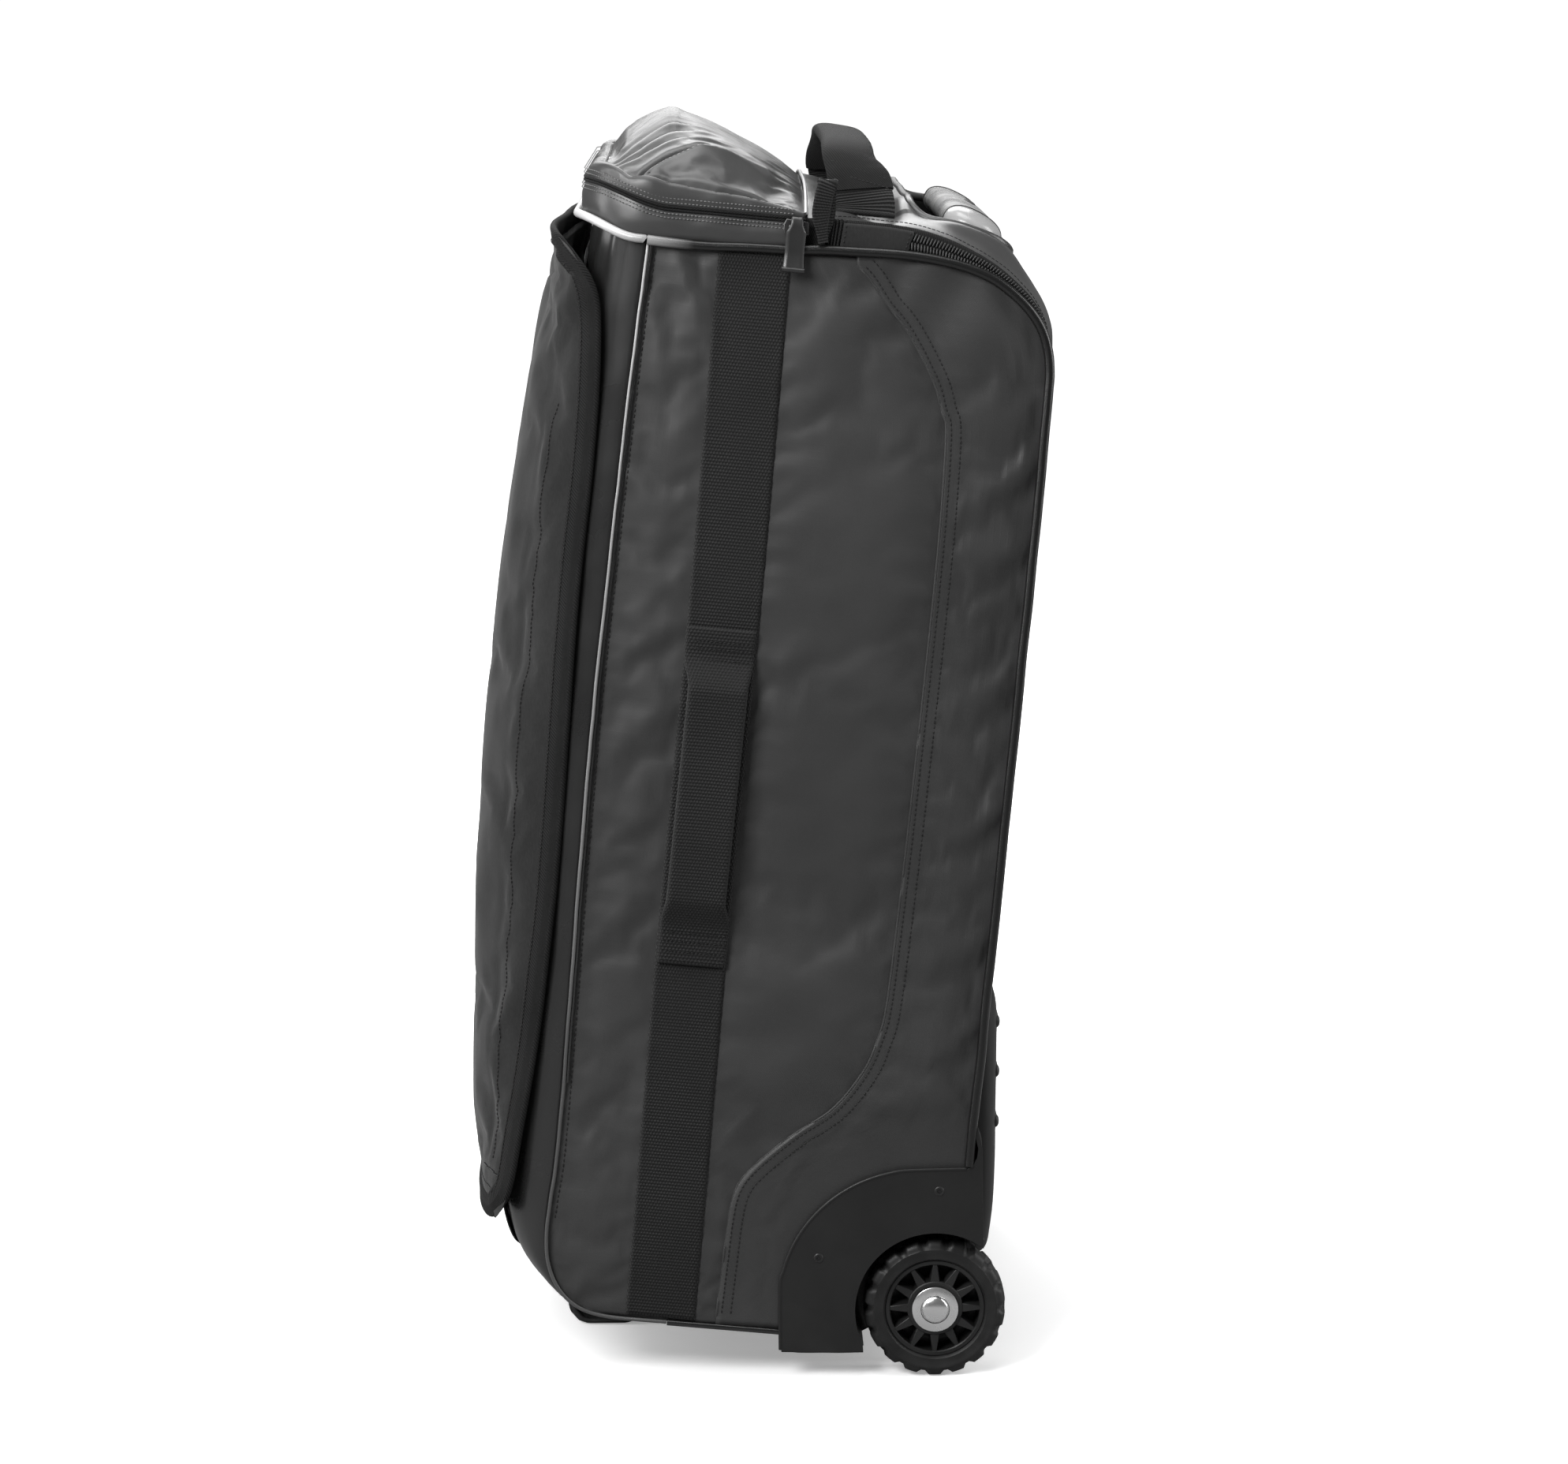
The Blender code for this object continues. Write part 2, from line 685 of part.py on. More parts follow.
def top_zip():
    """The coil along the top wall, the slider parked at its right-hand end and its puller."""
    offset = HALF_WIDTH + 0.0012
    bend = 0.0422
    below = 0.0025
    z = TOP_WALL_HIGH - below
    right = arc((offset - bend, -0.2862 + bend), bend, 0, -90, 6)
    path = [(offset, -0.165), *right, *[(-x, y) for x, y in reversed(right)], (-offset, -0.150)]
    cord("top_zip_chain", [(x, y, wall_top(y) - below) for x, y in path], COIL_RADIUS, bag, ZIP_COIL)

    # The slider rides outside the coil, so it clears it all the way forward.
    half_length, half_height, thickness = 0.008, 0.0045, 0.0044
    inner = offset + COIL_RADIUS + GAP
    outer = inner + thickness
    x, y = inner + thickness / 2, -0.155
    slide = pivot("top_zip_slider", (x, y, z), bag)
    low = (inner, y - half_length, z - half_height)
    high = (outer, y + half_length, z + half_height)
    box("top_zip_slider", low, high, slide, ZIP_METAL)
    swing = pivot("top_zip_puller", (outer + GAP + 0.0008, y, z + 0.002), bag)
    tab = rounded((y - 0.007, z - 0.031), (y + 0.007, z + 0.0026), 0.003, 3)
    plate("top_zip_puller", [tab], "X", outer + GAP, outer + GAP + WEB, swing, PULLER)


def zip_loop():
    """A small stitched loop beside the end of the top zip, to pull against."""
    outer = rounded((-0.1420, 0.715), (-0.1340, 0.745), 0.0035, 4)
    hole = rounded((-0.1403, 0.7165), (-0.1357, 0.7433), 0.002, 4)
    plate("zip_loop_tab", [outer, hole], "X", 0.1808, 0.1908, bag, WEBBING)


# ---------------------------------------------------------------- piping and webbing


def mirrored(points):
    return [(-x, y, z) for x, y, z in reversed(points)]


def edge_piping():
    """One cord up both back edges, along the side edges of the top and round its front."""
    x = HALF_WIDTH + 0.0028
    corner = (BODY_BACK + 0.003 - BACK_CORNER, BODY_TOP + 0.002 - BACK_CORNER)
    back = [(x, BODY_BACK + 0.003, 0.170), *[(x, y, z) for y, z in arc(corner, BACK_CORNER, 0, 90, 8)]]
    top = [(x, -0.100, 0.7045), (x, -0.158, 0.702), (x, -0.206, 0.7000), (x, -0.232, 0.7015)]
    bend = []
    for step, (px, py) in enumerate(arc((x - 0.043, -0.288 + 0.043), 0.043, 0, -90, 6)):
        bend.append((px, py, 0.7025 + 0.0015 * step))
    right = [*back, *top, *bend]
    cord("edge_piping", right + mirrored(right), 0.0024, bag, PIPING)


def seam_piping():
    for end, sign in sides():
        x = sign * (HALF_WIDTH + 0.0024)
        run = [(x, -0.2448, 0.696), (x, -0.2500, 0.500), (x, -0.2520, 0.380), (x, -0.2515, 0.160)]
        low = [(x, -0.2520, 0.080), (x, -0.2490, 0.052)]
        cord("seam_piping_" + end, run + low, 0.0018, bag, REFLECTIVE)


def side_webbing():
    """The strap down each side, with raised shoulders that its carry handle is sewn to."""
    low = HALF_WIDTH + GAP
    high = low + WEB
    proud = high + 0.002  # where the handle's end is sewn on
    tip = high + 0.0055  # where it bows out from the side
    top, bottom = 0.468, 0.256  # ends of the sewn-on handle
    strap_foot, strap_head = 0.026, 0.695
    middle = (STRAP_LOW + STRAP_HIGH) / 2
    half_grip = 0.0195
    lower = [(proud, bottom), (proud, 0.278), (tip, 0.290), (tip, 0.2925), (high, 0.284)]
    upper = [(high, 0.440), (tip, 0.4315), (tip, 0.434), (proud, 0.446), (proud, top)]
    foot = [(low, strap_foot), (high, strap_foot), (high, bottom)]
    head = [(high, top), (high, strap_head), (low, strap_head)]
    profile = [*foot, *lower, *upper, *head]
    for end, sign in sides():
        outline = profile if sign > 0 else [(-x, z) for x, z in reversed(profile)]
        plate("side_strap_" + end, [outline], "Y", STRAP_LOW, STRAP_HIGH, bag, WEBBING)
        swing = pivot("side_handle_" + end, (sign * 0.184, middle, 0), bag)
        grip = rounded((middle - half_grip, 0.294), (middle + half_grip, 0.430), 0.004, 3)
        width = span(sign, 0.1890, 0.1950)
        soften(plate("side_handle_" + end, [grip], "X", *width, swing, WEBBING), 0.0015)


def soften(obj, width, segments=2):
    bevel = obj.modifiers.new("soft_edges", "BEVEL")
    bevel.width = width
    bevel.segments = segments
    bevel.limit_method = "ANGLE"
    return obj


def arch_band(inner_rise, thickness, half, start, end, steps=16):
    """An outline in X and Z of a band bent into an arch, between two angles in degrees."""
    squareness = 0.7
    outer, inner = [], []
    for step in range(steps + 1):
        angle = math.radians(start + (end - start) * step / steps)
        flat = abs(math.cos(angle)) ** squareness * math.copysign(1, math.cos(angle))
        outer.append(((half + thickness) * flat, HANDLE_FOOT + (inner_rise + thickness) * math.sin(angle)))
        inner.append((half * flat, HANDLE_FOOT + inner_rise * math.sin(angle)))
    return outer + inner[::-1]


def top_handle():
    swing = pivot("top_handle", (0, HANDLE_Y, HANDLE_FOOT), bag)
    half_web = 0.019
    band_thickness, pad_thickness = 0.0024, 0.0045
    low, high = HANDLE_Y - half_web, HANDLE_Y + half_web
    rise = HANDLE_RISE - 0.0075
    half = HANDLE_HALF - 0.0075
    band = arch_band(rise, band_thickness, half, 19, 161)
    plate("top_handle_webbing", [band], "Y", low, high, swing, WEBBING)
    step = band_thickness + GAP
    pad = arch_band(rise + step, pad_thickness, half + step, 38, 142)
    soften(plate("top_handle_pad", [pad], "Y", low, high, swing, NYLON), 0.0015)
    for end, sign in sides():
        x_low, x_high = span(sign, HANDLE_HALF - 0.010, HANDLE_HALF + 0.018)
        tab_low = (x_low, low, HANDLE_FOOT - 0.0022)
        tab_high = (x_high, high, HANDLE_FOOT + 0.0004)
        box("top_handle_tab_" + end, tab_low, tab_high, bag, WEBBING)


# ---------------------------------------------------------------- trolley handle


def trolley():
    slide = pivot("trolley", (0, TUBE_Y, 0.720), bag)
    foot_high = BODY_BOTTOM + SKIN + GAP + 0.012
    outer_low, outer_high = foot_high + GAP, 0.712
    inner_low, inner_high = outer_low + HANDLE_TRAVEL_ROOM, 0.7205
    bore = TUBE_RADIUS - TUBE_WALL
    inner = bore - 0.0005
    for end, sign in sides():
        at = (sign * TUBE_X, TUBE_Y)
        tube("trolley_outer_tube_" + end, TUBE_RADIUS, bore, outer_low, outer_high, *at, bag, TUBE)
        wall = inner - TUBE_WALL
        tube("trolley_inner_tube_" + end, inner, wall, inner_low, inner_high, *at, slide, TUBE)
    low = (-TUBE_X - 0.014, TUBE_Y - 0.013, BODY_BOTTOM + SKIN + GAP)
    box("tube_foot_bracket", low, (TUBE_X + 0.014, TUBE_Y + 0.013, foot_high), bag, MOULDED)

    grip_low, grip_high = 0.7209, 0.7365
    outline = rounded((-0.133, TUBE_Y - 0.019), (0.133, TUBE_Y + 0.019), 0.017)
    grip = plate("trolley_grip", [outline], "Z", grip_low, grip_high, slide, GRIP)
    pocket_low = 0.7285
    pocket = rounded((-0.017, TUBE_Y - 0.0075), (0.017, TUBE_Y + 0.0075), 0.006, 4)
    cutter = plate("button_pocket", [pocket], "Z", pocket_low, 0.76, bag, None, CUTTERS)
    combine(grip, cutter, "DIFFERENCE")
    press = pivot("grip_button", (0, TUBE_Y, grip_high), bag)
    button = rounded((-0.0164, TUBE_Y - 0.0069), (0.0164, TUBE_Y + 0.0069), 0.0055, 4)
    button_low, button_high = pocket_low + 0.0048, grip_high + 0.0008
    plate("grip_button", [button], "Z", button_low, button_high, press, MOULDED)


def handle_well():
    """The tray that the grip parks in, with a hole for each tube."""
    tray = rounded((-0.139, -0.087), (0.139, -0.021), 0.018)
    well = plate("handle_well", [tray], "Z", 0.7000, 0.7180, bag, MOULDED)
    hollow = rounded((-0.137, -0.085), (0.137, -0.023), 0.016)
    cutter = plate("well_hollow", [hollow], "Z", 0.7020, 0.76, bag, None, CUTTERS)
    combine(well, cutter, "DIFFERENCE")
    for end, sign in sides():
        hole = circle(TUBE_RADIUS + GAP, 24, (sign * TUBE_X, TUBE_Y))
        cutter = plate("tube_hole_" + end, [hole], "Z", 0.69, 0.71, bag, None, CUTTERS)
        combine(well, cutter, "DIFFERENCE")


# ---------------------------------------------------------------- inside


def inside_pieces():
    floor = BODY_BOTTOM + SKIN + GAP
    box("base_board", (-0.148, -0.244, floor), (0.148, TUBE_Y - 0.014, floor + 0.003), bag, BOARD)
    back = BODY_BACK - SKIN - GAP
    box("back_stiffener", (-0.148, back - 0.0018, floor), (0.148, back, 0.640), bag, BOARD)
    box("shoe_shelf", (-0.172, -0.244, 0.488), (0.172, TUBE_Y - 0.013, 0.492), bag, BOARD)
    for end, sign in sides():
        x_low, x_high = span(sign, 0.1115, HALF_WIDTH - PANEL - 0.001)
        low = (x_low, -0.244, floor + 0.0036)
        foam = box("side_foam_" + end, low, (x_high, TUBE_Y - 0.0185, 0.486), bag, FOAM)
        soften(foam, 0.006)


# ---------------------------------------------------------------- base


def kick_plate():
    """The moulded guard on the lower back, square to the floor, with three cross ribs."""

    def panel_back(z, clear=0.0006):
        """World Y of the bag's back face at height z, plus a clearance."""
        return (BODY_BACK + clear + z * math.sin(LEAN)) / math.cos(LEAN)

    face, wall = 0.0375, 0.0035
    toe = face - 0.0085
    lip = panel_back(0.235)
    outer = [(toe, 0.090), (face - 0.001, 0.118), (face, 0.140), (face, 0.240)]
    crown = arc((face - 0.006, 0.250), 0.006, 0, 90, 4)
    inner = [(panel_back(0.258), 0.2555), (lip, 0.235), (lip + wall, 0.235)]
    hollow = face - wall
    inside = [(hollow, 0.232), (hollow, 0.140), (hollow - 0.001, 0.118), (toe - wall, 0.090)]
    guard = plate("kick_plate", [outer + crown + inner + inside], "X", -0.118, 0.118, stand, MOULDED)
    for rib, height in enumerate((0.173, 0.204, 0.236)):
        at = (-0.104, 0.104, face, height, stand, None, CUTTERS, 16)
        bar = drum("kick_rib_%d" % rib, 0.0030, *at)
        combine(guard, bar, "UNION")


def front_foot():
    """A moulded skid under the front edge, its sole flat on the floor."""

    def under_bag(y):
        """World height of the bag's underside at depth y, less a clearance."""
        return (BODY_BOTTOM - GAP - y * math.sin(LEAN)) / math.cos(LEAN)

    sole = [(-0.236, 0.010), (-0.233, 0.004), (-0.224, 0.0), (-0.198, 0.0), (-0.186, 0.006)]
    outline = [*sole, (-0.172, under_bag(-0.172)), (-0.236, under_bag(-0.236))]
    plate("front_foot", [outline], "X", -0.076, 0.076, stand, MOULDED)


def build_all():
    wheels_and_housings()
    radius = ARCH_RADIUS + HOUSING_WALL + 0.0005
    wells = drum("wheel_well_cut", radius, -0.3, 0.3, *AXLE_IN_BAG, bag, None, CUTTERS)
    middle = box("well_middle", (-0.1495, -0.2, -0.1), (0.1495, 0.2, 0.2), bag, None, CUTTERS)
    combine(wells, middle, "DIFFERENCE")
    shell(wells)
    front_frame()
    front_lid()
    lid_zip()
    storm_flap()
    top_wall()
    top_flap()
    rear_top_panel()
    top_seam()
    top_zip()
    zip_loop()
    edge_piping()
    seam_piping()
    side_webbing()
    top_handle()
    trolley()
    handle_well()
    inside_pieces()
    kick_plate()
    front_foot()


build_all()
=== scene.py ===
"""Looks for the wheeled bowling ball bag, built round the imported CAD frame.

Most pieces are modelled in the bag's own upright coordinates (metres, y = 0 and z = 0 at the
floor under the axle) and then leaned back with BAG. Wheels, housings, kick guard and foot stand
square to the floor and use STAND. UVs are in metres, so a weave keeps its size on every piece.
"""

import json
import math

import bmesh
import bpy
import numpy as np
from mathutils import Matrix, Vector, noise
from mathutils.bvhtree import BVHTree


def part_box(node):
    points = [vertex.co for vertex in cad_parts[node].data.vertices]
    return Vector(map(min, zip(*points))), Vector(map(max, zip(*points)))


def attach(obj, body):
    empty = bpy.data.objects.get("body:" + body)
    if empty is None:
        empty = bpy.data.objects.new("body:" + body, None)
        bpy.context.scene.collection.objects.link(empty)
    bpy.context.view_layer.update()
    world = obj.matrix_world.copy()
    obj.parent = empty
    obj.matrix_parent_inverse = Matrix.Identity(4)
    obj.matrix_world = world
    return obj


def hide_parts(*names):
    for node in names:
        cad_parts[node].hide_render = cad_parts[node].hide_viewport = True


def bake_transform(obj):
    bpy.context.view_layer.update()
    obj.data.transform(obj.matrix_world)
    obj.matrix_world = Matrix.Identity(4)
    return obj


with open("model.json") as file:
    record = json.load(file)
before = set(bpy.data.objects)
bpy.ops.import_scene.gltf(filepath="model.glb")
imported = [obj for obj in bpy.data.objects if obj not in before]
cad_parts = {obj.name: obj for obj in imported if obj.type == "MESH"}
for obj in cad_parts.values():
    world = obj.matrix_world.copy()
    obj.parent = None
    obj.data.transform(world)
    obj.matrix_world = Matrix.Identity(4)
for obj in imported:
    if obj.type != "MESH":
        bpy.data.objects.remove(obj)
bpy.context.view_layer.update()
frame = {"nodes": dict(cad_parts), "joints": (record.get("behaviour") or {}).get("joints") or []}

JOINTS = {joint["name"]: joint for joint in frame["joints"]}
AXLE_Y = JOINTS["wheel_right_spin"]["pos_m"][1]
AXLE_Z = JOINTS["wheel_right_spin"]["pos_m"][2]
UP = JOINTS["trolley_slide"]["axis"]
LEAN = math.atan2(UP[1], UP[2])
STAND = Matrix.Translation((0, AXLE_Y, 0))
BAG = STAND @ Matrix.Rotation(-LEAN, 4, "X")
SIDES = (("right", 1), ("left", -1))
MM = 0.001

# ---------------------------------------------------------------- numbers and curves


def spline(knots, count):
    """count points along a smooth curve through the knots, evenly spaced by length."""
    knots = np.asarray(knots, float)
    padded = np.vstack([2 * knots[0] - knots[1], knots, 2 * knots[-1] - knots[-2]])
    found = []
    for k in range(len(knots) - 1):
        p0, p1, p2, p3 = padded[k : k + 4]
        t = np.linspace(0, 1, 24, endpoint=False)[:, None]
        found.append(0.5 * (2 * p1 + (p2 - p0) * t + (2 * p0 - 5 * p1 + 4 * p2 - p3) * t**2
                            + (3 * p1 - p0 - 3 * p2 + p3) * t**3))
    found.append(knots[-1:])
    return even(np.vstack(found), count)


def even(points, count):
    """The polyline resampled to count evenly spaced points."""
    points = np.asarray(points, float)
    steps = np.linalg.norm(np.diff(points, axis=0), axis=1)
    along = np.concatenate([[0], np.cumsum(steps)])
    wanted = np.linspace(0, along[-1], count)
    return np.stack([np.interp(wanted, along, points[:, k]) for k in range(points.shape[1])], axis=1)


def length_of(points):
    return float(np.linalg.norm(np.diff(points, axis=0), axis=1).sum())


def lengths(points):
    return np.concatenate([[0], np.cumsum(np.linalg.norm(np.diff(points, axis=0), axis=1))])


def unit(vectors):
    size = np.linalg.norm(vectors, axis=-1, keepdims=True)
    return vectors / np.maximum(size, 1e-12)


def tangents(points, closed=False):
    if closed:
        return unit(np.roll(points, -1, axis=0) - np.roll(points, 1, axis=0))
    return unit(np.gradient(points, axis=0))


def smoothstep(low, high, x):
    t = np.clip((x - low) / (high - low), 0, 1)
    return t * t * (3 - 2 * t)


def smooth_noise(points, scale, seed=0.0, octaves=2):
    """Soft noise from -1 to 1 at each point, with features about 1/scale metres across."""
    flat = np.asarray(points, float).reshape(-1, 3) * scale + seed
    total = np.zeros(len(flat))
    size = 1.0
    for octave in range(octaves):
        shift = 17.3 * octave
        places = flat * 2.0**octave
        total += size * np.array([noise.noise((x + shift, y - shift, z + shift)) for x, y, z in places])
        size *= 0.5
    return total.reshape(np.asarray(points).shape[:-1])


def fold(p, q, start, end, width, depth):
    """A soft fold on a flat panel: a ridge from start to end, with a hollow beside it."""
    start, end = np.array(start), np.array(end)
    along = end - start
    size = np.linalg.norm(along)
    along = along / size
    t = ((p - start[0]) * along[0] + (q - start[1]) * along[1]) / size
    s = ((p - start[0]) * -along[1] + (q - start[1]) * along[0]) / width
    fade = smoothstep(-0.12, 0.12, t) * (1 - smoothstep(0.35, 1.1, t))
    return depth * fade * (np.exp(-(s**2)) - 0.7 * np.exp(-((s - 1.3) ** 2)))


# ---------------------------------------------------------------- mesh building


def finish_mesh(name, vertices, faces, uvs, look, place=BAG, smooth_angle=None):
    """An object from arrays; uvs holds one pair for each vertex."""
    mesh = bpy.data.meshes.new(name)
    mesh.from_pydata([tuple(v) for v in vertices], [], [tuple(int(i) for i in f) for f in faces])
    mesh.transform(place)
    if uvs is not None:
        layer = mesh.uv_layers.new(name="uv")
        corners = np.zeros(len(mesh.loops), np.int32)
        mesh.loops.foreach_get("vertex_index", corners)
        layer.data.foreach_set("uv", np.asarray(uvs, np.float32)[corners].ravel())
    mesh.polygons.foreach_set("use_smooth", np.ones(len(mesh.polygons), bool))
    if smooth_angle:
        mesh.set_sharp_from_angle(angle=math.radians(smooth_angle))
    mesh.update()
    obj = bpy.data.objects.new(name, mesh)
    bpy.context.scene.collection.objects.link(obj)
    mesh.materials.append(look)
    return obj


def grid_faces(rows, columns, wrap=False):
    """Quads of a grid of points in row order; wrap joins the last column to the first."""
    faces = []
    reach = columns if wrap else columns - 1
    for i in range(rows - 1):
        for j in range(reach):
            k = (j + 1) % columns
            a, b = i * columns + j, i * columns + k
            faces.append((a, b, b + columns, a + columns))
    return faces


def grid_uv(points):
    """UVs in metres from lengths along the middle column and row."""
    rows, columns = points.shape[:2]
    u = lengths(points[rows // 2])
    v = lengths(points[:, columns // 2])
    return np.stack(np.meshgrid(u, v), axis=-1)


def grid_normals(points):
    du = np.gradient(points, axis=1)
    dv = np.gradient(points, axis=0)
    return unit(np.cross(du, dv))


def panel(name, points, look, thickness=0.0, place=BAG, keep=None, inside=(0, -0.12, 0.36), inward=False):
    """A sheet from a grid of points, facing away from the point inside, or towards it with inward."""
    rows, columns = points.shape[:2]
    flat = points.reshape(-1, 3)
    faces = grid_faces(rows, columns)
    if keep is not None:
        faces = [f for f in faces if keep(flat[list(f)].mean(axis=0))]
    outward = (grid_normals(points) * (points - np.asarray(inside))).sum(axis=-1).mean()
    if (outward < 0) != inward:
        faces = [f[::-1] for f in faces]
    obj = finish_mesh(name, flat, faces, grid_uv(points).reshape(-1, 2), look, place)
    tidy_loose(obj)
    if thickness:
        solid = obj.modifiers.new("thickness", "SOLIDIFY")
        solid.thickness = thickness
        solid.offset = -1.0
    return obj


def tidy_loose(obj):
    shape = bmesh.new()
    shape.from_mesh(obj.data)
    loose = [v for v in shape.verts if not v.link_faces]
    bmesh.ops.delete(shape, geom=loose, context="VERTS")
    shape.to_mesh(obj.data)
    shape.free()


def apply_modifiers(obj):
    graph = bpy.context.evaluated_depsgraph_get()
    mesh = bpy.data.meshes.new_from_object(obj.evaluated_get(graph))
    obj.modifiers.clear()
    obj.data = mesh
    return obj


def grid_pins(rows, columns, low=1, high=1, first=1, last=1, fade=3):
    """Pin weights for a sheet: 1 on that many rows and columns at its edges, fading to 0 inside."""
    i = np.arange(rows)[:, None]
    j = np.arange(columns)[None]
    depth = np.minimum.reduce(np.broadcast_arrays(i - low + 1, rows - high - i, j - first + 1,
                                                  columns - last - j)).astype(float)
    return np.clip(1 - depth / fade, 0, 1)


def relax(obj, pins, pressure, slack, cap, bend=0.4):
    """Cloth on a sheet with held edges: slack makes it wrinkle, cap limits how far a point may go."""
    frames = 20
    mesh = obj.data
    before = np.empty(len(mesh.vertices) * 3)
    mesh.vertices.foreach_get("co", before)
    held = obj.vertex_groups.new(name="held")
    for weight in np.unique(np.round(pins, 2)):
        if weight > 0:
            held.add([int(k) for k in np.flatnonzero(np.round(pins, 2) == weight)], float(weight),
                     "REPLACE")
    others = [(m.name, m.show_viewport) for m in obj.modifiers]
    for m in obj.modifiers:
        m.show_viewport = False
    cloth = obj.modifiers.new("cloth", "CLOTH")
    rules = cloth.settings
    rules.quality = 5
    rules.mass = 0.2
    rules.tension_stiffness = rules.compression_stiffness = 12
    rules.shear_stiffness = 4
    rules.bending_stiffness = bend
    rules.vertex_group_mass = "held"
    rules.use_pressure = True
    rules.uniform_pressure_force = pressure
    rules.shrink_min = -slack
    rules.effector_weights.gravity = 0
    cloth.point_cache.frame_start = 1
    cloth.point_cache.frame_end = frames
    scene = bpy.context.scene
    for frame_number in range(1, frames + 1):
        scene.frame_set(frame_number)
    settled = obj.evaluated_get(bpy.context.evaluated_depsgraph_get()).to_mesh()
    after = np.empty(len(settled.vertices) * 3)
    settled.vertices.foreach_get("co", after)
    obj.modifiers.remove(cloth)
    obj.vertex_groups.remove(held)
    for name, shown in others:
        obj.modifiers[name].show_viewport = shown
    scene.frame_set(1)
    before, after = before.reshape(-1, 3), after.reshape(-1, 3)
    moved = after - before
    far = np.linalg.norm(moved, axis=1, keepdims=True)
    kept = cap * np.tanh(far / cap) / np.maximum(far, 1e-9)
    mesh.vertices.foreach_set("co", (before + moved * kept).ravel())
    mesh.update()


def sweep(name, path, section, look, sides=None, closed=False, place=BAG, smooth_angle=50):
    """A cross-section carried along a path.

    section holds (across, out) offsets, or one such list for each point of the path. sides gives
    the "across" direction at each point; without it the section is carried without twisting.
    """
    path = np.asarray(path, float)
    forward = tangents(path, closed)
    if sides is None:
        across = np.zeros_like(path)
        start = np.array([0.31, 0.17, 0.93])
        across[0] = unit(np.cross(forward[0], start))
        for k in range(1, len(path)):
            turned = across[k - 1] - forward[k] * np.dot(across[k - 1], forward[k])
            across[k] = unit(turned)
    else:
        across = unit(np.broadcast_to(np.asarray(sides, float), path.shape))
        across = unit(across - forward * np.sum(across * forward, axis=1, keepdims=True))
    out = np.cross(forward, across)
    section = np.asarray(section, float)
    if section.ndim == 2:
        section = np.broadcast_to(section, (len(path), *section.shape))
    rings = path[:, None] + across[:, None] * section[..., :1] + out[:, None] * section[..., 1:]
    rows, columns = rings.shape[:2]
    faces = grid_faces(rows, columns, wrap=True)
    if closed:
        last = (rows - 1) * columns
        for j in range(columns):
            k = (j + 1) % columns
            faces.append((last + j, last + k, k, j))
    else:
        faces.append(tuple(range(columns))[::-1])
        faces.append(tuple((rows - 1) * columns + j for j in range(columns)))
    ring_lengths = np.array([lengths(np.vstack([ring, ring[:1]]))[:-1] for ring in section])
    along = lengths(path)
    uv = np.stack([ring_lengths, np.broadcast_to(along[:, None], ring_lengths.shape)], axis=-1)
    faces = [f[::-1] for f in faces]
    return finish_mesh(name, rings.reshape(-1, 3), faces, uv.reshape(-1, 2), look, place, smooth_angle)


def round_section(radius, sides=12, squash=1.0):
    angle = np.linspace(0, 2 * np.pi, sides, endpoint=False)
    return np.stack([radius * np.cos(angle), radius * squash * np.sin(angle)], axis=1)


def tape_section(width, thickness, crown=0.0, edge=0.0):
    """The outline of a flat strap: out is its outer face, crowned and with thicker woven edges."""
    x = np.linspace(-1, 1, 11)
    round_off = np.sqrt(np.clip(1 - np.abs(x) ** 10, 0, 1))
    ridge = edge * np.exp(-(((np.abs(x) - 0.93) / 0.05) ** 2))
    top = thickness * (0.15 + 0.85 * round_off) + crown * (1 - x**2) + ridge
    outer = np.stack([x * width / 2, top], axis=1)
    inner = np.stack([x[::-1] * width / 2, np.zeros(len(x))], axis=1)
    return np.vstack([outer, inner])


def scatter(name, template, faces, places, axes, look):
    """Copies of a small shape as one mesh: places (n, 3) and axes (n, 3, 3) with one row per local axis."""
    template = np.asarray(template, float)
    points = places[:, None] + np.einsum("vk,nkc->nvc", template, axes)
    count = len(template)
    all_faces = [tuple(i + n * count for i in f) for n in range(len(places)) for f in faces]
    uv = np.zeros((len(places) * count, 2))
    return finish_mesh(name, points.reshape(-1, 3), all_faces, uv, look)


def capsule(length, radius, rise):
    """A stitch: a thread that dives at both ends. Local axes are along, across and out."""
    stations = [(-0.5, 0.35, -0.6), (-0.38, 0.9, 0.3), (-0.15, 1.0, 1.0), (0.15, 1.0, 1.0),
                (0.38, 0.9, 0.3), (0.5, 0.35, -0.6)]
    sides = 6
    vertices = []
    for x, size, up in stations:
        for k in range(sides):
            angle = 2 * math.pi * k / sides
            vertices.append((x * length, radius * size * math.cos(angle),
                             rise * up + radius * size * math.sin(angle)))
    faces = grid_faces(len(stations), sides, wrap=True)
    faces.append(tuple(range(sides))[::-1])
    faces.append(tuple((len(stations) - 1) * sides + k for k in range(sides)))
    return vertices, faces


def stitches(name, path, out, look=None, pitch=3.1 * MM, length=2.3 * MM, radius=0.32 * MM):
    """A row of thread stitches along a path; out is the surface normal there."""
    total = length_of(path)
    count = max(2, int(total / pitch))
    places = even(path, count)
    normals = unit(even(np.broadcast_to(np.asarray(out, float), np.asarray(path).shape), count))
    forward = tangents(places)
    across = unit(np.cross(normals, forward))
    normals = np.cross(forward, across)
    vertices, faces = capsule(length, radius, 0.12 * MM)
    axes = np.stack([forward, across, normals], axis=1)
    return scatter(name, vertices, faces, places + normals * (0.1 * MM), axes, look or THREAD)


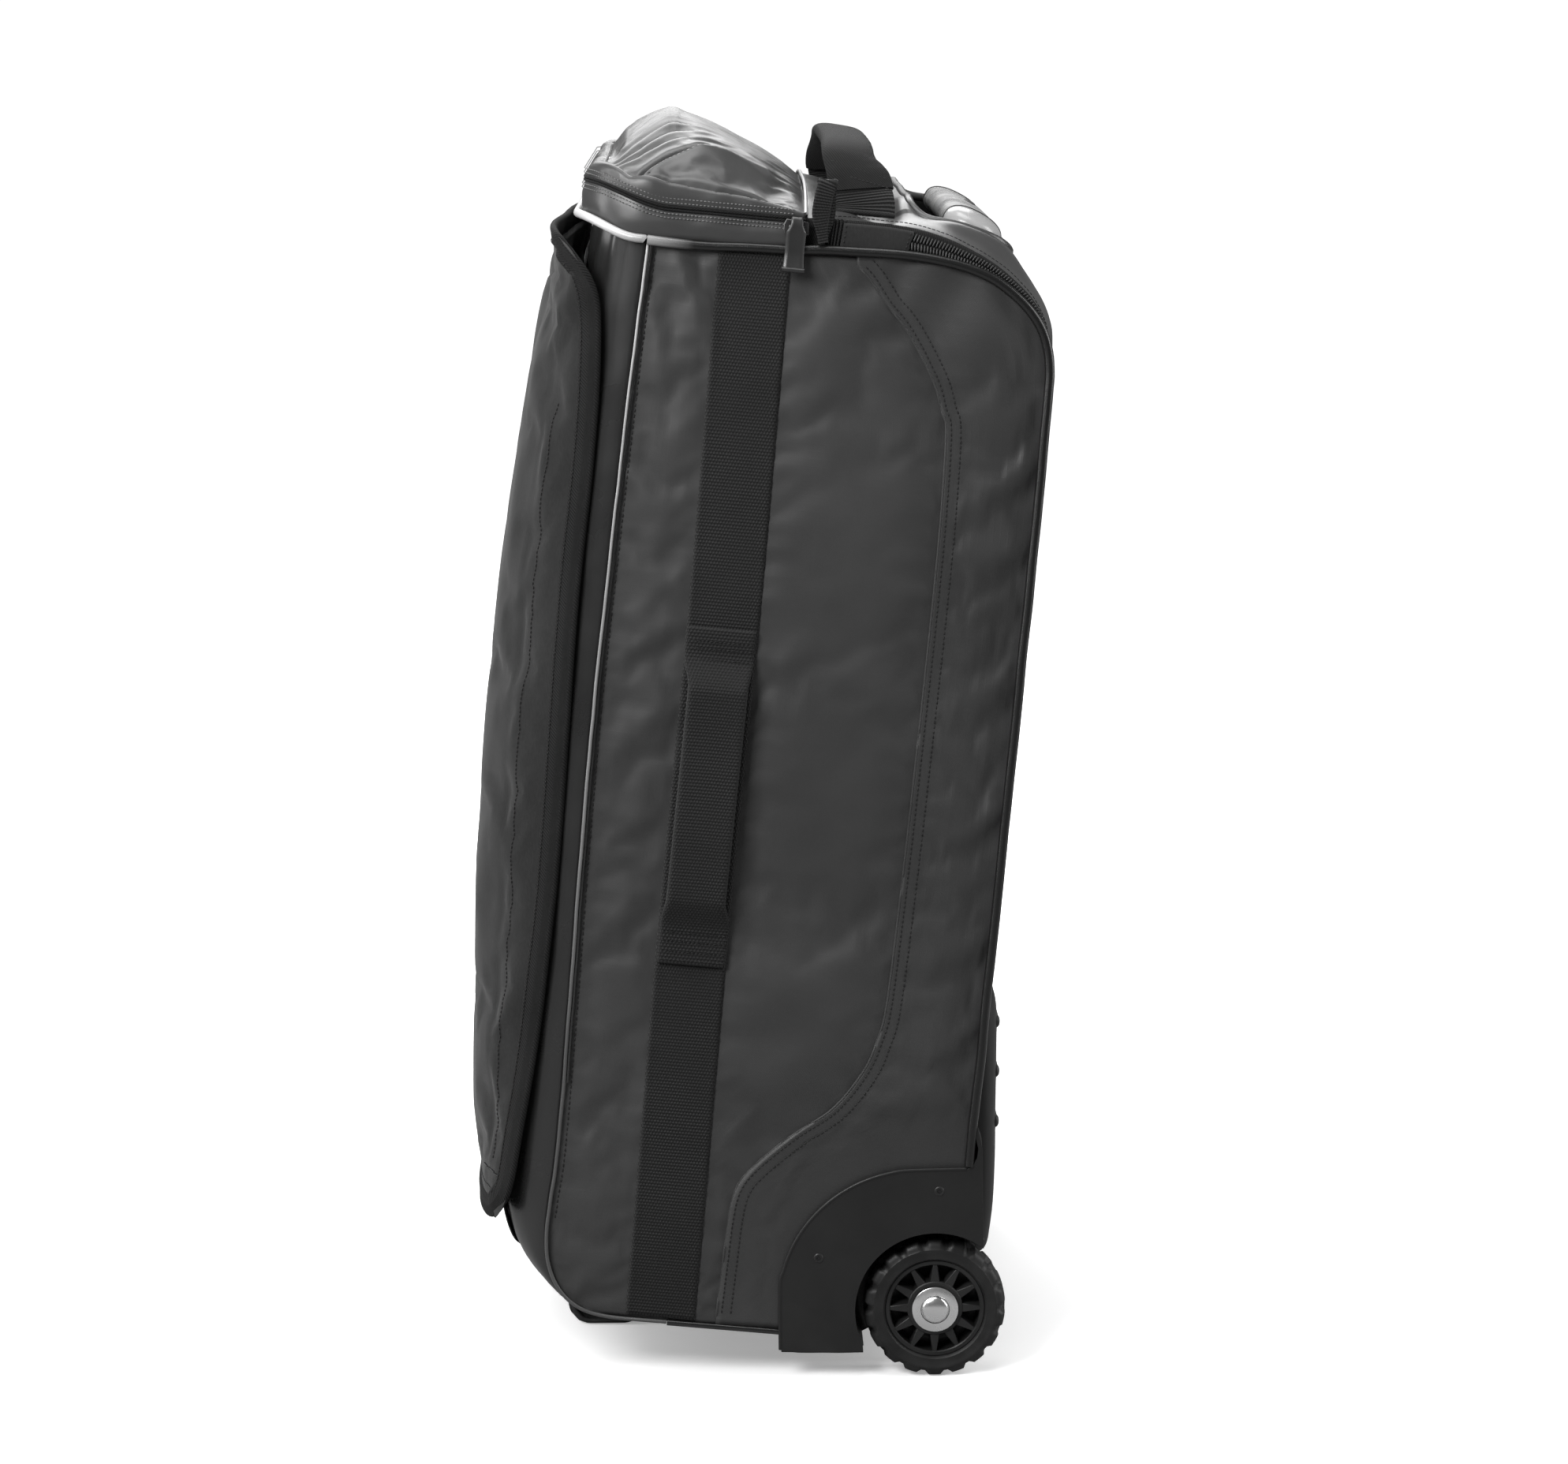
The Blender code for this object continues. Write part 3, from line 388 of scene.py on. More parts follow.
def turned(name, profile, look, place, steps=64):
    """A turned shape about local Z from (radius, height) points, then placed by a matrix."""
    profile = np.asarray(profile, float)
    angle = np.linspace(0, 2 * np.pi, steps, endpoint=False)
    ring = np.stack([np.cos(angle), np.sin(angle)], axis=1)
    heights = np.broadcast_to(profile[:, None, 1:], (len(profile), steps, 1))
    points = np.concatenate([profile[:, None, :1] * ring[None], heights], axis=2)
    faces = grid_faces(len(profile), steps, wrap=True)
    uv = np.stack([np.broadcast_to(angle * 0.03, (len(profile), steps)),
                   np.broadcast_to(lengths(profile)[:, None], (len(profile), steps))], axis=-1)
    obj = finish_mesh(name, points.reshape(-1, 3), faces, uv.reshape(-1, 2), look, place, 35)
    shape = bmesh.new()
    shape.from_mesh(obj.data)
    bmesh.ops.remove_doubles(shape, verts=shape.verts, dist=1e-6)
    bmesh.ops.recalc_face_normals(shape, faces=shape.faces)
    shape.to_mesh(obj.data)
    shape.free()
    return obj


def outline_plate(name, outlines, low, high, look, place, bevel=0.0, segments=3):
    """A flat outline in (Y, Z) with holes, from X low to X high, with rounded edges."""
    curve = bpy.data.curves.new(name, "CURVE")
    curve.dimensions = "2D"
    curve.fill_mode = "BOTH"
    curve.extrude = (high - low) / 2
    for outline in outlines:
        line = curve.splines.new("POLY")
        line.points.add(len(outline) - 1)
        for point, (u, v) in zip(line.points, outline):
            point.co = (u, v, 0, 1)
        line.use_cyclic_u = True
    source = bpy.data.objects.new(name + "_outline", curve)
    bpy.context.scene.collection.objects.link(source)
    mesh = bpy.data.meshes.new_from_object(source.evaluated_get(bpy.context.evaluated_depsgraph_get()))
    bpy.data.objects.remove(source)
    to_x = Matrix(((0, 0, 1, (low + high) / 2), (1, 0, 0, 0), (0, 1, 0, 0), (0, 0, 0, 1)))
    mesh.transform(place @ to_x)
    shape = bmesh.new()
    shape.from_mesh(mesh)
    bmesh.ops.remove_doubles(shape, verts=shape.verts, dist=1e-6)
    bmesh.ops.dissolve_limit(shape, angle_limit=0.01, verts=shape.verts, edges=shape.edges)
    bmesh.ops.recalc_face_normals(shape, faces=shape.faces)
    shape.to_mesh(mesh)
    shape.free()
    obj = bpy.data.objects.new(name, mesh)
    bpy.context.scene.collection.objects.link(obj)
    mesh.materials.clear()
    mesh.materials.append(look)
    if bevel:
        soft = obj.modifiers.new("edges", "BEVEL")
        soft.width = bevel
        soft.segments = segments
        soft.limit_method = "ANGLE"
        soft.angle_limit = math.radians(40)
    mesh.shade_smooth()
    mesh.set_sharp_from_angle(angle=math.radians(35))
    return obj


def arc(centre, radius, start, end, steps):
    angle = np.radians(np.linspace(start, end, steps + 1))
    return np.stack([centre[0] + radius * np.cos(angle), centre[1] + radius * np.sin(angle)], axis=1)


def give(obj, body, slot, *nodes):
    """Rides and replaces CAD nodes in one call; slot is not used."""
    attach(obj, body)
    if nodes:
        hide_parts(*nodes)
    return obj


# ---------------------------------------------------------------- materials


class Look:
    """A small builder for one procedural material."""

    def __init__(self, name, coordinates="uv"):
        self.material = bpy.data.materials.new(name)
        self.material.use_nodes = True
        self.tree = self.material.node_tree
        self.shader = self.tree.nodes["Principled BSDF"]
        source = self.tree.nodes.new("ShaderNodeTexCoord")
        self.place = source.outputs["UV" if coordinates == "uv" else "Object"]
        self.object = source.outputs["Object"]

    def node(self, kind, settings=None, **inputs):
        made = self.tree.nodes.new("ShaderNode" + kind)
        for key, value in (settings or {}).items():
            setattr(made, key, value)
        for key, value in inputs.items():
            numbered = key[0] == "i" and key[1:].isdigit()
            socket = made.inputs[int(key[1:]) if numbered else key.replace("_", " ")]
            self.set(socket, value)
        return made

    def set(self, socket, value):
        if isinstance(value, bpy.types.NodeSocket):
            self.tree.links.new(value, socket)
        else:
            socket.default_value = value

    def math(self, operation, a, b=0.0, clamp=False):
        return self.node("Math", {"operation": operation, "use_clamp": clamp}, i0=a, i1=b).outputs[0]

    def noise(self, scale, detail=2.0, roughness=0.5, stretch=None):
        """Noise in metres over the piece; stretch scales it along each axis."""
        where = self.object
        if stretch:
            where = self.node("Mapping", Vector=where, Scale=stretch).outputs[0]
        made = self.node("TexNoise", Vector=where, Scale=scale, Detail=detail, Roughness=roughness)
        return made.outputs[0]

    def remap(self, value, low, high, to_low, to_high):
        made = self.node("MapRange", Value=value, From_Min=low, From_Max=high, To_Min=to_low,
                         To_Max=to_high)
        return made.outputs[0]

    def wave(self, axis, pitch):
        """A sine from -1 to 1 along one coordinate, one period each pitch metres."""
        split = self.node("SeparateXYZ", Vector=self.place)
        turns = self.math("MULTIPLY", split.outputs[axis], 2 * math.pi / pitch)
        return self.math("SINE", turns)

    def weave(self, pitch):
        """A plain weave: threads over and under each other, from -1 to 1."""
        return self.math("MULTIPLY", self.wave(0, pitch), self.wave(1, pitch))

    def twill(self, pitch, slope):
        """Diagonal lines from -1 to 1."""
        split = self.node("SeparateXYZ", Vector=self.place)
        run = self.math("ADD", split.outputs[0], self.math("MULTIPLY", split.outputs[1], slope))
        return self.math("SINE", self.math("MULTIPLY", run, 2 * math.pi / pitch))

    def colour(self, value, dark, light):
        made = self.node("Mix", {"data_type": "RGBA"}, i0=value)
        made.inputs[6].default_value = (*dark, 1)
        made.inputs[7].default_value = (*light, 1)
        return made.outputs[2]

    def bump(self, height, distance, strength=1.0, below=None):
        made = self.node("Bump", Height=height, Distance=distance, Strength=strength)
        if below is not None:
            self.set(made.inputs["Normal"], below)
        return made.outputs[0]

    def done(self, colour, roughness, normal=None, metallic=0.0, coat=0.0, sheen=0.0, specular=0.5):
        self.set(self.shader.inputs["Base Color"], colour)
        self.set(self.shader.inputs["Roughness"], roughness)
        self.set(self.shader.inputs["Metallic"], metallic)
        self.set(self.shader.inputs["Specular IOR Level"], specular)
        self.set(self.shader.inputs["Coat Weight"], coat)
        self.set(self.shader.inputs["Coat Roughness"], 0.2)
        self.set(self.shader.inputs["Sheen Weight"], sheen)
        self.set(self.shader.inputs["Sheen Roughness"], 0.5)
        if normal is not None:
            self.set(self.shader.inputs["Normal"], normal)
        return self.material


def grey(level):
    return (level, level, level)


def coated_cloth(name, level, rough, ripstop=1.0, coat=0.0, specular=0.32):
    """Vinyl-coated cloth: the base weave prints faintly through, with soft patches of shine."""
    look = Look(name)
    patchy = 0.35
    patches = look.noise(9.0, 3.0)
    fine = look.noise(1400.0, 2.0)
    threads = look.weave(1.0 * MM)
    grid = look.math("MAXIMUM", look.wave(0, 4.6 * MM), look.wave(1, 4.6 * MM))
    ribs = look.math("POWER", look.math("MAXIMUM", grid, 0.0), 12.0)
    tone = look.remap(look.math("ADD", patches, look.math("MULTIPLY", fine, 0.22)), 0.35, 0.85, 0.0, 1.0)
    colour = look.colour(tone, grey(level * (1 - patchy * 0.5)), grey(level * (1 + patchy * 0.5)))
    shine = look.remap(look.noise(26.0, 4.0), 0.3, 0.7, rough - 0.07, rough + 0.07)
    height = look.math("ADD", look.math("MULTIPLY", threads, 0.5),
                       look.math("MULTIPLY", ribs, 0.5 * ripstop))
    woven = look.bump(height, 0.06 * MM * ripstop, 0.6)
    grained = look.bump(fine, 0.05 * MM, 0.5, below=woven)
    waved = look.bump(look.noise(55.0, 3.0), 0.35 * MM, 0.35, below=grained)
    return look.done(colour, shine, waved, coat=coat, specular=specular)


def webbing_look(name="webbing", level=0.0065, rib=2.1 * MM, depth=0.45 * MM, flat=0.45):
    """Ribbed webbing: rows of raised dots across the strap, with painted shade darkening the gaps between the
    ribs.
    """
    look = Look(name)
    across = look.wave(0, 1.9 * MM)
    along = look.wave(1, rib)
    shifted = look.math("MULTIPLY", across, look.wave(1, 2 * rib))
    dots = look.math("ADD", look.math("MULTIPLY", shifted, 1 - flat), look.math("MULTIPLY", along, flat))
    fuzz = look.noise(2200.0, 2.0)
    worn = look.noise(14.0, 3.0)
    # The colour follows the dots' height, dark where they sink: painted shade in the gaps, mixed with random
    # wear.
    tone = look.remap(look.math("ADD", dots, look.math("MULTIPLY", worn, 1.2)), -0.6, 1.9, 0.0, 1.0)
    colour = look.colour(tone, grey(level * 0.15), grey(level * 2.9))
    ribs = look.bump(dots, depth, 0.9)
    fuzzy = look.bump(fuzz, 0.08 * MM, 0.4, below=ribs)
    return look.done(colour, look.remap(worn, 0.3, 0.7, 0.62, 0.82), fuzzy, sheen=0.05, specular=0.22)


def twill_look(name="twill", level=0.008, pitch=1.3 * MM, slope=0.75, depth=0.2 * MM):
    look = Look(name)
    lines = look.twill(pitch, slope)
    steps = look.weave(0.7 * MM)
    height = look.math("ADD", look.math("MULTIPLY", lines, 0.7), look.math("MULTIPLY", steps, 0.3))
    worn = look.noise(30.0, 3.0)
    # The colour follows the twill's height, dark in the sunk lines: painted shade in the grooves, mixed with
    # random wear.
    tone = look.remap(look.math("ADD", height, worn), -0.5, 1.5, 0.0, 1.0)
    colour = look.colour(tone, grey(level * 0.3), grey(level * 2.3))
    return look.done(colour, 0.78, look.bump(height, depth, 0.8), sheen=0.03, specular=0.12)


def nylon_look():
    """Brushed nylon: a soft nap with a diagonal grain and lighter rubbed patches."""
    look = Look("brushed_nylon")
    level = 0.0145
    nap = look.noise(900.0, 3.0, stretch=(1.0, 1.0, 0.35))
    grain = look.twill(0.9 * MM, 1.3)
    patches = look.noise(16.0, 4.0)
    tone = look.math("ADD", look.math("MULTIPLY", nap, 0.5), look.math("MULTIPLY", patches, 0.8))
    colour = look.colour(look.remap(tone, 0.4, 0.95, 0.0, 1.0), grey(level * 0.65), grey(level * 1.5))
    height = look.math("ADD", look.math("MULTIPLY", grain, 0.35), nap)
    woven = look.bump(height, 0.12 * MM, 0.55)
    return look.done(colour, 0.85, look.bump(look.noise(120.0, 3.0), 0.3 * MM, 0.3, below=woven),
                     sheen=0.14, specular=0.16)


def vinyl_cord(name, level, rough, coat=0.3):
    look = Look(name)
    wear = look.noise(40.0, 3.0)
    colour = look.colour(wear, grey(level * 0.8), grey(level * 1.3))
    ripple = look.bump(look.noise(160.0, 2.0), 0.25 * MM, 0.5)
    return look.done(colour, look.remap(wear, 0.3, 0.7, rough - 0.05, rough + 0.08), ripple, coat=coat)


def reflective_look(name="reflective_cord", axis=2, low=-1.0, high=1.0, level_low=0.6, level_high=0.6):
    """Cord with a beaded reflective skin. Its paleness can fade along one world axis: a painted gradient of
    light along the cord.
    """
    look = Look(name)
    beads = look.noise(2600.0, 2.0)
    ribs = look.wave(1, 0.9 * MM)
    place = look.node("SeparateXYZ", Vector=look.object).outputs[axis]
    share = look.remap(place, low, high, 0.0, 1.0)
    colour = look.node("Mix", {"data_type": "RGBA"}, i0=share)
    look.set(colour.inputs[6], look.colour(beads, grey(level_low * 0.7), grey(level_low * 1.2)))
    look.set(colour.inputs[7], look.colour(beads, grey(level_high * 0.8), grey(level_high * 1.2)))
    normal = look.bump(look.math("ADD", beads, look.math("MULTIPLY", ribs, 0.3)), 0.1 * MM, 0.6)
    return look.done(colour.outputs[2], 0.30, normal, metallic=0.15, specular=0.5)


def moulded_look(name, level, rough=0.42, scuffs=0.5, specular=0.3):
    """Moulded plastic: fine spark texture, faint scuffs and a painted highlight along edges, stronger in
    patches.
    """
    look = Look(name, "object")
    spark = look.noise(1800.0, 3.0)
    broad = look.noise(22.0, 4.0)
    scratch = look.noise(60.0, 4.0, 0.7, stretch=(1.0, 6.0, 1.0))
    marks = look.math("GREATER_THAN", scratch, 0.66)
    geometry = look.node("NewGeometry")
    # Edges found by pointiness are mixed towards a pale grey: a painted highlight along the bevels.
    edge = look.remap(geometry.outputs["Pointiness"], 0.515, 0.56, 0.0, 1.0)
    edge_highlight = look.math("MULTIPLY", edge, look.remap(broad, 0.35, 0.6, 0.2, 1.0), clamp=True)
    tone = look.math("ADD", look.math("MULTIPLY", broad, 0.5), look.math("MULTIPLY", marks, 0.25 * scuffs))
    base = look.colour(tone, grey(level * 0.75), grey(level * 1.5))
    mixed = look.node("Mix", {"data_type": "RGBA"}, i0=look.math("MULTIPLY", edge_highlight, 0.45))
    look.set(mixed.inputs[6], base)
    mixed.inputs[7].default_value = (*grey(level * 4.0), 1)
    shine = look.remap(look.math("ADD", broad, look.math("MULTIPLY", marks, 0.3)), 0.3, 0.9, rough - 0.06,
                       rough + 0.14)
    return look.done(mixed.outputs[2], shine, look.bump(spark, 0.05 * MM, 0.5), specular=specular)


def rubber_look():
    look = Look("tyre_rubber", "object")
    dust = look.noise(55.0, 4.0)
    fine = look.noise(1500.0, 2.0)
    colour = look.colour(look.remap(dust, 0.35, 0.75, 0, 1), grey(0.006), grey(0.016))
    return look.done(colour, look.remap(dust, 0.3, 0.7, 0.45, 0.62), look.bump(fine, 0.08 * MM, 0.5),
                     specular=0.35)


def steel_look(name, level, rough):
    """Bright metal with a fine brushed grain, worn in patches."""
    look = Look(name, "object")
    brushed = look.noise(300.0, 3.0)
    worn = look.noise(70.0, 4.0)
    colour = look.colour(worn, grey(level * 0.86), grey(level))
    shine = look.remap(worn, 0.3, 0.7, rough - 0.05, rough + 0.12)
    return look.done(colour, shine, look.bump(brushed, 0.02 * MM, 0.4), metallic=1.0)


def thread_look(name="sewing_thread", low=0.004, high=0.012, rough=0.6):
    look = Look(name)
    colour = look.colour(look.noise(1200.0), grey(low), grey(high))
    return look.done(colour, rough, specular=0.35)


def foam_look():
    look = Look("foam_lining", "object")
    nap = look.noise(700.0, 3.0)
    colour = look.colour(look.remap(nap, 0.3, 0.7, 0, 1), grey(0.03), grey(0.06))
    return look.done(colour, 0.9, look.bump(nap, 0.3 * MM, 0.7), sheen=0.2, specular=0.2)


def board_look():
    look = Look("stiffener_board", "object")
    grain = look.noise(200.0, 3.0, stretch=(1.0, 4.0, 1.0))
    colour = look.colour(grain, grey(0.022), grey(0.04))
    return look.done(colour, 0.55, look.bump(grain, 0.1 * MM, 0.5))


THREAD = thread_look()
# Pale thread for the top pocket's stitches: painted highlights on the stitch dimples.
TOP_THREAD_PAINTED_HIGHLIGHT = thread_look("top_thread_painted_highlight", 0.10, 0.17, 0.3)
SIDE_CLOTH = coated_cloth("side_tarpaulin", 0.034, 0.50, ripstop=1.0)
REAR_CLOTH = coated_cloth("rear_tarpaulin", 0.035, 0.45, ripstop=1.3)
TOP_CLOTH = coated_cloth("top_tarpaulin", 0.036, 0.36, ripstop=0.5, specular=0.5)
GLOSS_CLOTH = coated_cloth("gloss_vinyl", 0.014, 0.30, ripstop=0.35, coat=0.12, specular=0.4)
WEBBING = webbing_look()
RIBBED = webbing_look("ribbed_webbing", 0.0075, 1.7 * MM, 0.6 * MM, 0.8)
TWILL = twill_look()
BINDING_WRAP = twill_look("wrap_twill", 0.0072, 1.5 * MM, 0.8, 0.14 * MM)
BINDING = twill_look("binding_twill", 0.0085, 2.2 * MM, 1.1, 0.3 * MM)
NYLON = nylon_look()
PIPING = vinyl_cord("gloss_piping", 0.006, 0.22)
# Paler towards the top: painted light falling from above on the seam cord.
PAINTED_LIGHT_SEAM_CORD = reflective_look("seam_cord", 2, 0.22, 0.70, 0.07, 0.42)
# Black gloss piping painted pale towards the front: a painted reflection of the light on the front corner.
PAINTED_REFLECTION_EDGE_CORD = reflective_look("edge_cord_painted_reflection", 1, AXLE_Y - 0.205, AXLE_Y - 0.150, 0.55, 0.006)
REFLECTIVE = reflective_look("reflective_cord", 2, -1.0, 1.0, 0.35, 0.35)
COIL = vinyl_cord("zip_coil", 0.010, 0.42, 0.0)
ENAMEL = steel_look("zip_enamel", 0.10, 0.32)
PULLER = moulded_look("puller_rubber", 0.020, 0.36, specular=0.45)
MOULDED = moulded_look("moulded_plastic", 0.0115, 0.42)
RIM = moulded_look("rim_plastic", 0.008, 0.38, 0.3)
RUBBER = rubber_look()
STEEL = steel_look("bright_steel", 0.80, 0.24)
TUBE = steel_look("tube_metal", 0.42, 0.30)
GRIP = moulded_look("grip_plastic", 0.30, 0.24, 0.1, specular=0.5)
BOARD = board_look()
FOAM = foam_look()

# ---------------------------------------------------------------- the bag's main curves (y, z), metres

HALF = 0.179  # to the outside of a side panel
SEAM_X = 0.1812
STRAP = (-0.200, -0.156)  # y of the side strap's edges

FRONT_SEAM = spline(
    [(-0.243, 0.699), (-0.246, 0.639), (-0.248, 0.576), (-0.250, 0.502), (-0.252, 0.410), (-0.252, 0.310),
     (-0.251, 0.214), (-0.251, 0.128), (-0.253, 0.095), (-0.2535, 0.075), (-0.251, 0.055), (-0.243, 0.038),
     (-0.230, 0.027), (-0.212, 0.0225), (-0.180, 0.022), (-0.100, 0.022), (-0.020, 0.022), (0.004, 0.022)],
    260,
)
CONTOUR = spline(
    [(-0.115, 0.699), (-0.105, 0.690), (-0.094, 0.676), (-0.083, 0.665), (-0.072, 0.650), (-0.060, 0.630),
     (-0.054, 0.614), (-0.050, 0.602), (-0.048, 0.556), (-0.0475, 0.500), (-0.048, 0.413), (-0.049, 0.323),
     (-0.051, 0.242), (-0.055, 0.216), (-0.062, 0.195), (-0.079, 0.169), (-0.102, 0.150), (-0.125, 0.127),
     (-0.134, 0.113), (-0.137, 0.095), (-0.138, 0.064), (-0.139, 0.026)],
    240,
)
PIPE_TOP = [(-0.281, 0.710), (-0.273, 0.705), (-0.259, 0.7015), (-0.244, 0.700), (-0.225, 0.6995),
            (-0.206, 0.6995), (-0.182, 0.701), (-0.158, 0.702), (-0.135, 0.704), (-0.111, 0.705),
            (-0.087, 0.705), (-0.063, 0.703), (-0.043, 0.699), (-0.028, 0.693), (-0.013, 0.682),
            (-0.002, 0.669), (0.004, 0.655), (0.0065, 0.640)]
BACK_CORNER = spline(PIPE_TOP[9:] + [(0.0070, 0.560), (0.0072, 0.400), (0.0075, 0.165), (0.0070, 0.022)],
                     240)


def offset_path(path, distance):
    """A (y, z) path moved sideways; positive goes to the left of its direction."""
    forward = tangents(path)
    return path + distance * np.stack([-forward[:, 1], forward[:, 0]], axis=1)


def y_at(path, z):
    order = np.argsort(path[:, 1])
    return np.interp(z, path[order, 1], path[order, 0])


# start (y, z), end (y, z), width, depth
SIDE_FOLDS = (
    ((-0.226, 0.692), (-0.196, 0.628), 0.0080, 0.0030),
    ((-0.238, 0.668), (-0.228, 0.602), 0.0070, 0.0016),
    ((-0.246, 0.560), (-0.214, 0.530), 0.0080, 0.0014),
    ((-0.204, 0.470), (-0.246, 0.440), 0.0090, 0.0016),
    ((-0.206, 0.420), (-0.248, 0.372), 0.0110, 0.0015),
    ((-0.212, 0.300), (-0.250, 0.252), 0.0100, 0.0015),
    ((-0.214, 0.190), (-0.250, 0.150), 0.0110, 0.0012),
    ((0.006, 0.590), (-0.040, 0.548), 0.0090, 0.0022),
    ((0.006, 0.540), (-0.034, 0.508), 0.0100, 0.0018),
    ((0.006, 0.640), (-0.030, 0.672), 0.0100, 0.0014),
    ((0.006, 0.455), (-0.040, 0.418), 0.0110, 0.0016),
    ((0.006, 0.372), (-0.030, 0.338), 0.0080, 0.0016),
    ((0.006, 0.290), (-0.036, 0.262), 0.0100, 0.0018),
    ((0.004, 0.235), (-0.030, 0.196), 0.0090, 0.0015),
    ((-0.150, 0.640), (-0.105, 0.560), 0.0200, 0.0010),
    ((-0.150, 0.420), (-0.070, 0.360), 0.0240, 0.0010),
    ((-0.150, 0.240), (-0.080, 0.250), 0.0200, 0.0010),
    ((-0.130, 0.180), (-0.080, 0.220), 0.0140, 0.0012),
)


def side_rise(y, z, seed):
    """How far a side panel stands out from HALF: a soft bulge, folds and small unevenness."""
    upward = FRONT_SEAM[::-1]
    upward = upward[np.argsort(upward[:, 1])]
    front = np.interp(z, upward[:, 1], upward[:, 0])
    across = np.clip((y - front) / np.maximum(0.004 - front, 0.01), 0, 1)
    bulge = 0.0042 * (1 - np.abs(2 * across - 1) ** 3.0)
    ends = smoothstep(0.020, 0.10, z) * (1 - smoothstep(0.640, 0.704, z))
    well = smoothstep(0.085, 0.150, np.hypot(y + 0.004, z - 0.045))
    rise = bulge * (0.25 + 0.75 * ends) * well
    for start, end, width, depth in SIDE_FOLDS:
        rise = rise + well * fold(y, z, start, end, width, depth)
    points = np.stack([np.full_like(y, seed), y, z], axis=-1)
    rise = rise + 0.0009 * smooth_noise(points, 11.0, seed, 3) * well
    return rise + 0.00035 * smooth_noise(points, 42.0, seed + 5, 2) * well


SIDE_SKIN = {}  # the settled side panels, for on_side


def on_side(path, sign, lift, seed=3.0):
    """(y, z) points lifted off the side panel's surface, which they follow once it has settled."""
    path = np.asarray(path, float)
    rise = side_rise(path[..., 0], path[..., 1], seed)
    if sign in SIDE_SKIN:
        flat, found = path.reshape(-1, 2), rise.reshape(-1).copy()
        for k, (y, z) in enumerate(flat):
            hit = SIDE_SKIN[sign].ray_cast(Vector((sign * 0.22, y, z)), Vector((-sign, 0, 0)), 0.06)[0]
            if hit is not None:
                found[k] = sign * hit.x - HALF
        rise = found.reshape(rise.shape)
    return np.concatenate([(sign * (HALF + rise + lift))[..., None], path], axis=-1)


def side_grid(low_y, high_y, z, columns):
    """A (y, z) grid between two edges, given at each height z."""
    t = np.linspace(0, 1, columns)
    y = low_y[:, None] + (high_y - low_y)[:, None] * t[None]
    return np.stack([y, np.broadcast_to(z[:, None], y.shape)], axis=-1)


def tree_of(objects):
    """A ray-cast tree of the pieces' sheets, in the bag's own upright frame."""
    back = BAG.inverted()
    vertices, faces = [], []
    for obj in objects:
        base = len(vertices)
        vertices += [back @ v.co for v in obj.data.vertices]
        faces += [[base + k for k in p.vertices] for p in obj.data.polygons]
    return BVHTree.FromPolygons(vertices, faces)


AXLE_IN_BAG = (-AXLE_Z * math.sin(LEAN), AXLE_Z * math.cos(LEAN))
WELL_EDGE = 0.0575


def clear_of_wheel(centre):
    return math.hypot(centre[1] - AXLE_IN_BAG[0], centre[2] - AXLE_IN_BAG[1]) > WELL_EDGE


def cut_well(obj):
    """Opens a sheet round the wheel."""
    to_bag = BAG.inverted()
    shape = bmesh.new()
    shape.from_mesh(obj.data)
    gone = [f for f in shape.faces if not clear_of_wheel(to_bag @ f.calc_center_median())]
    bmesh.ops.delete(shape, geom=gone, context="FACES")
    shape.to_mesh(obj.data)
    shape.free()


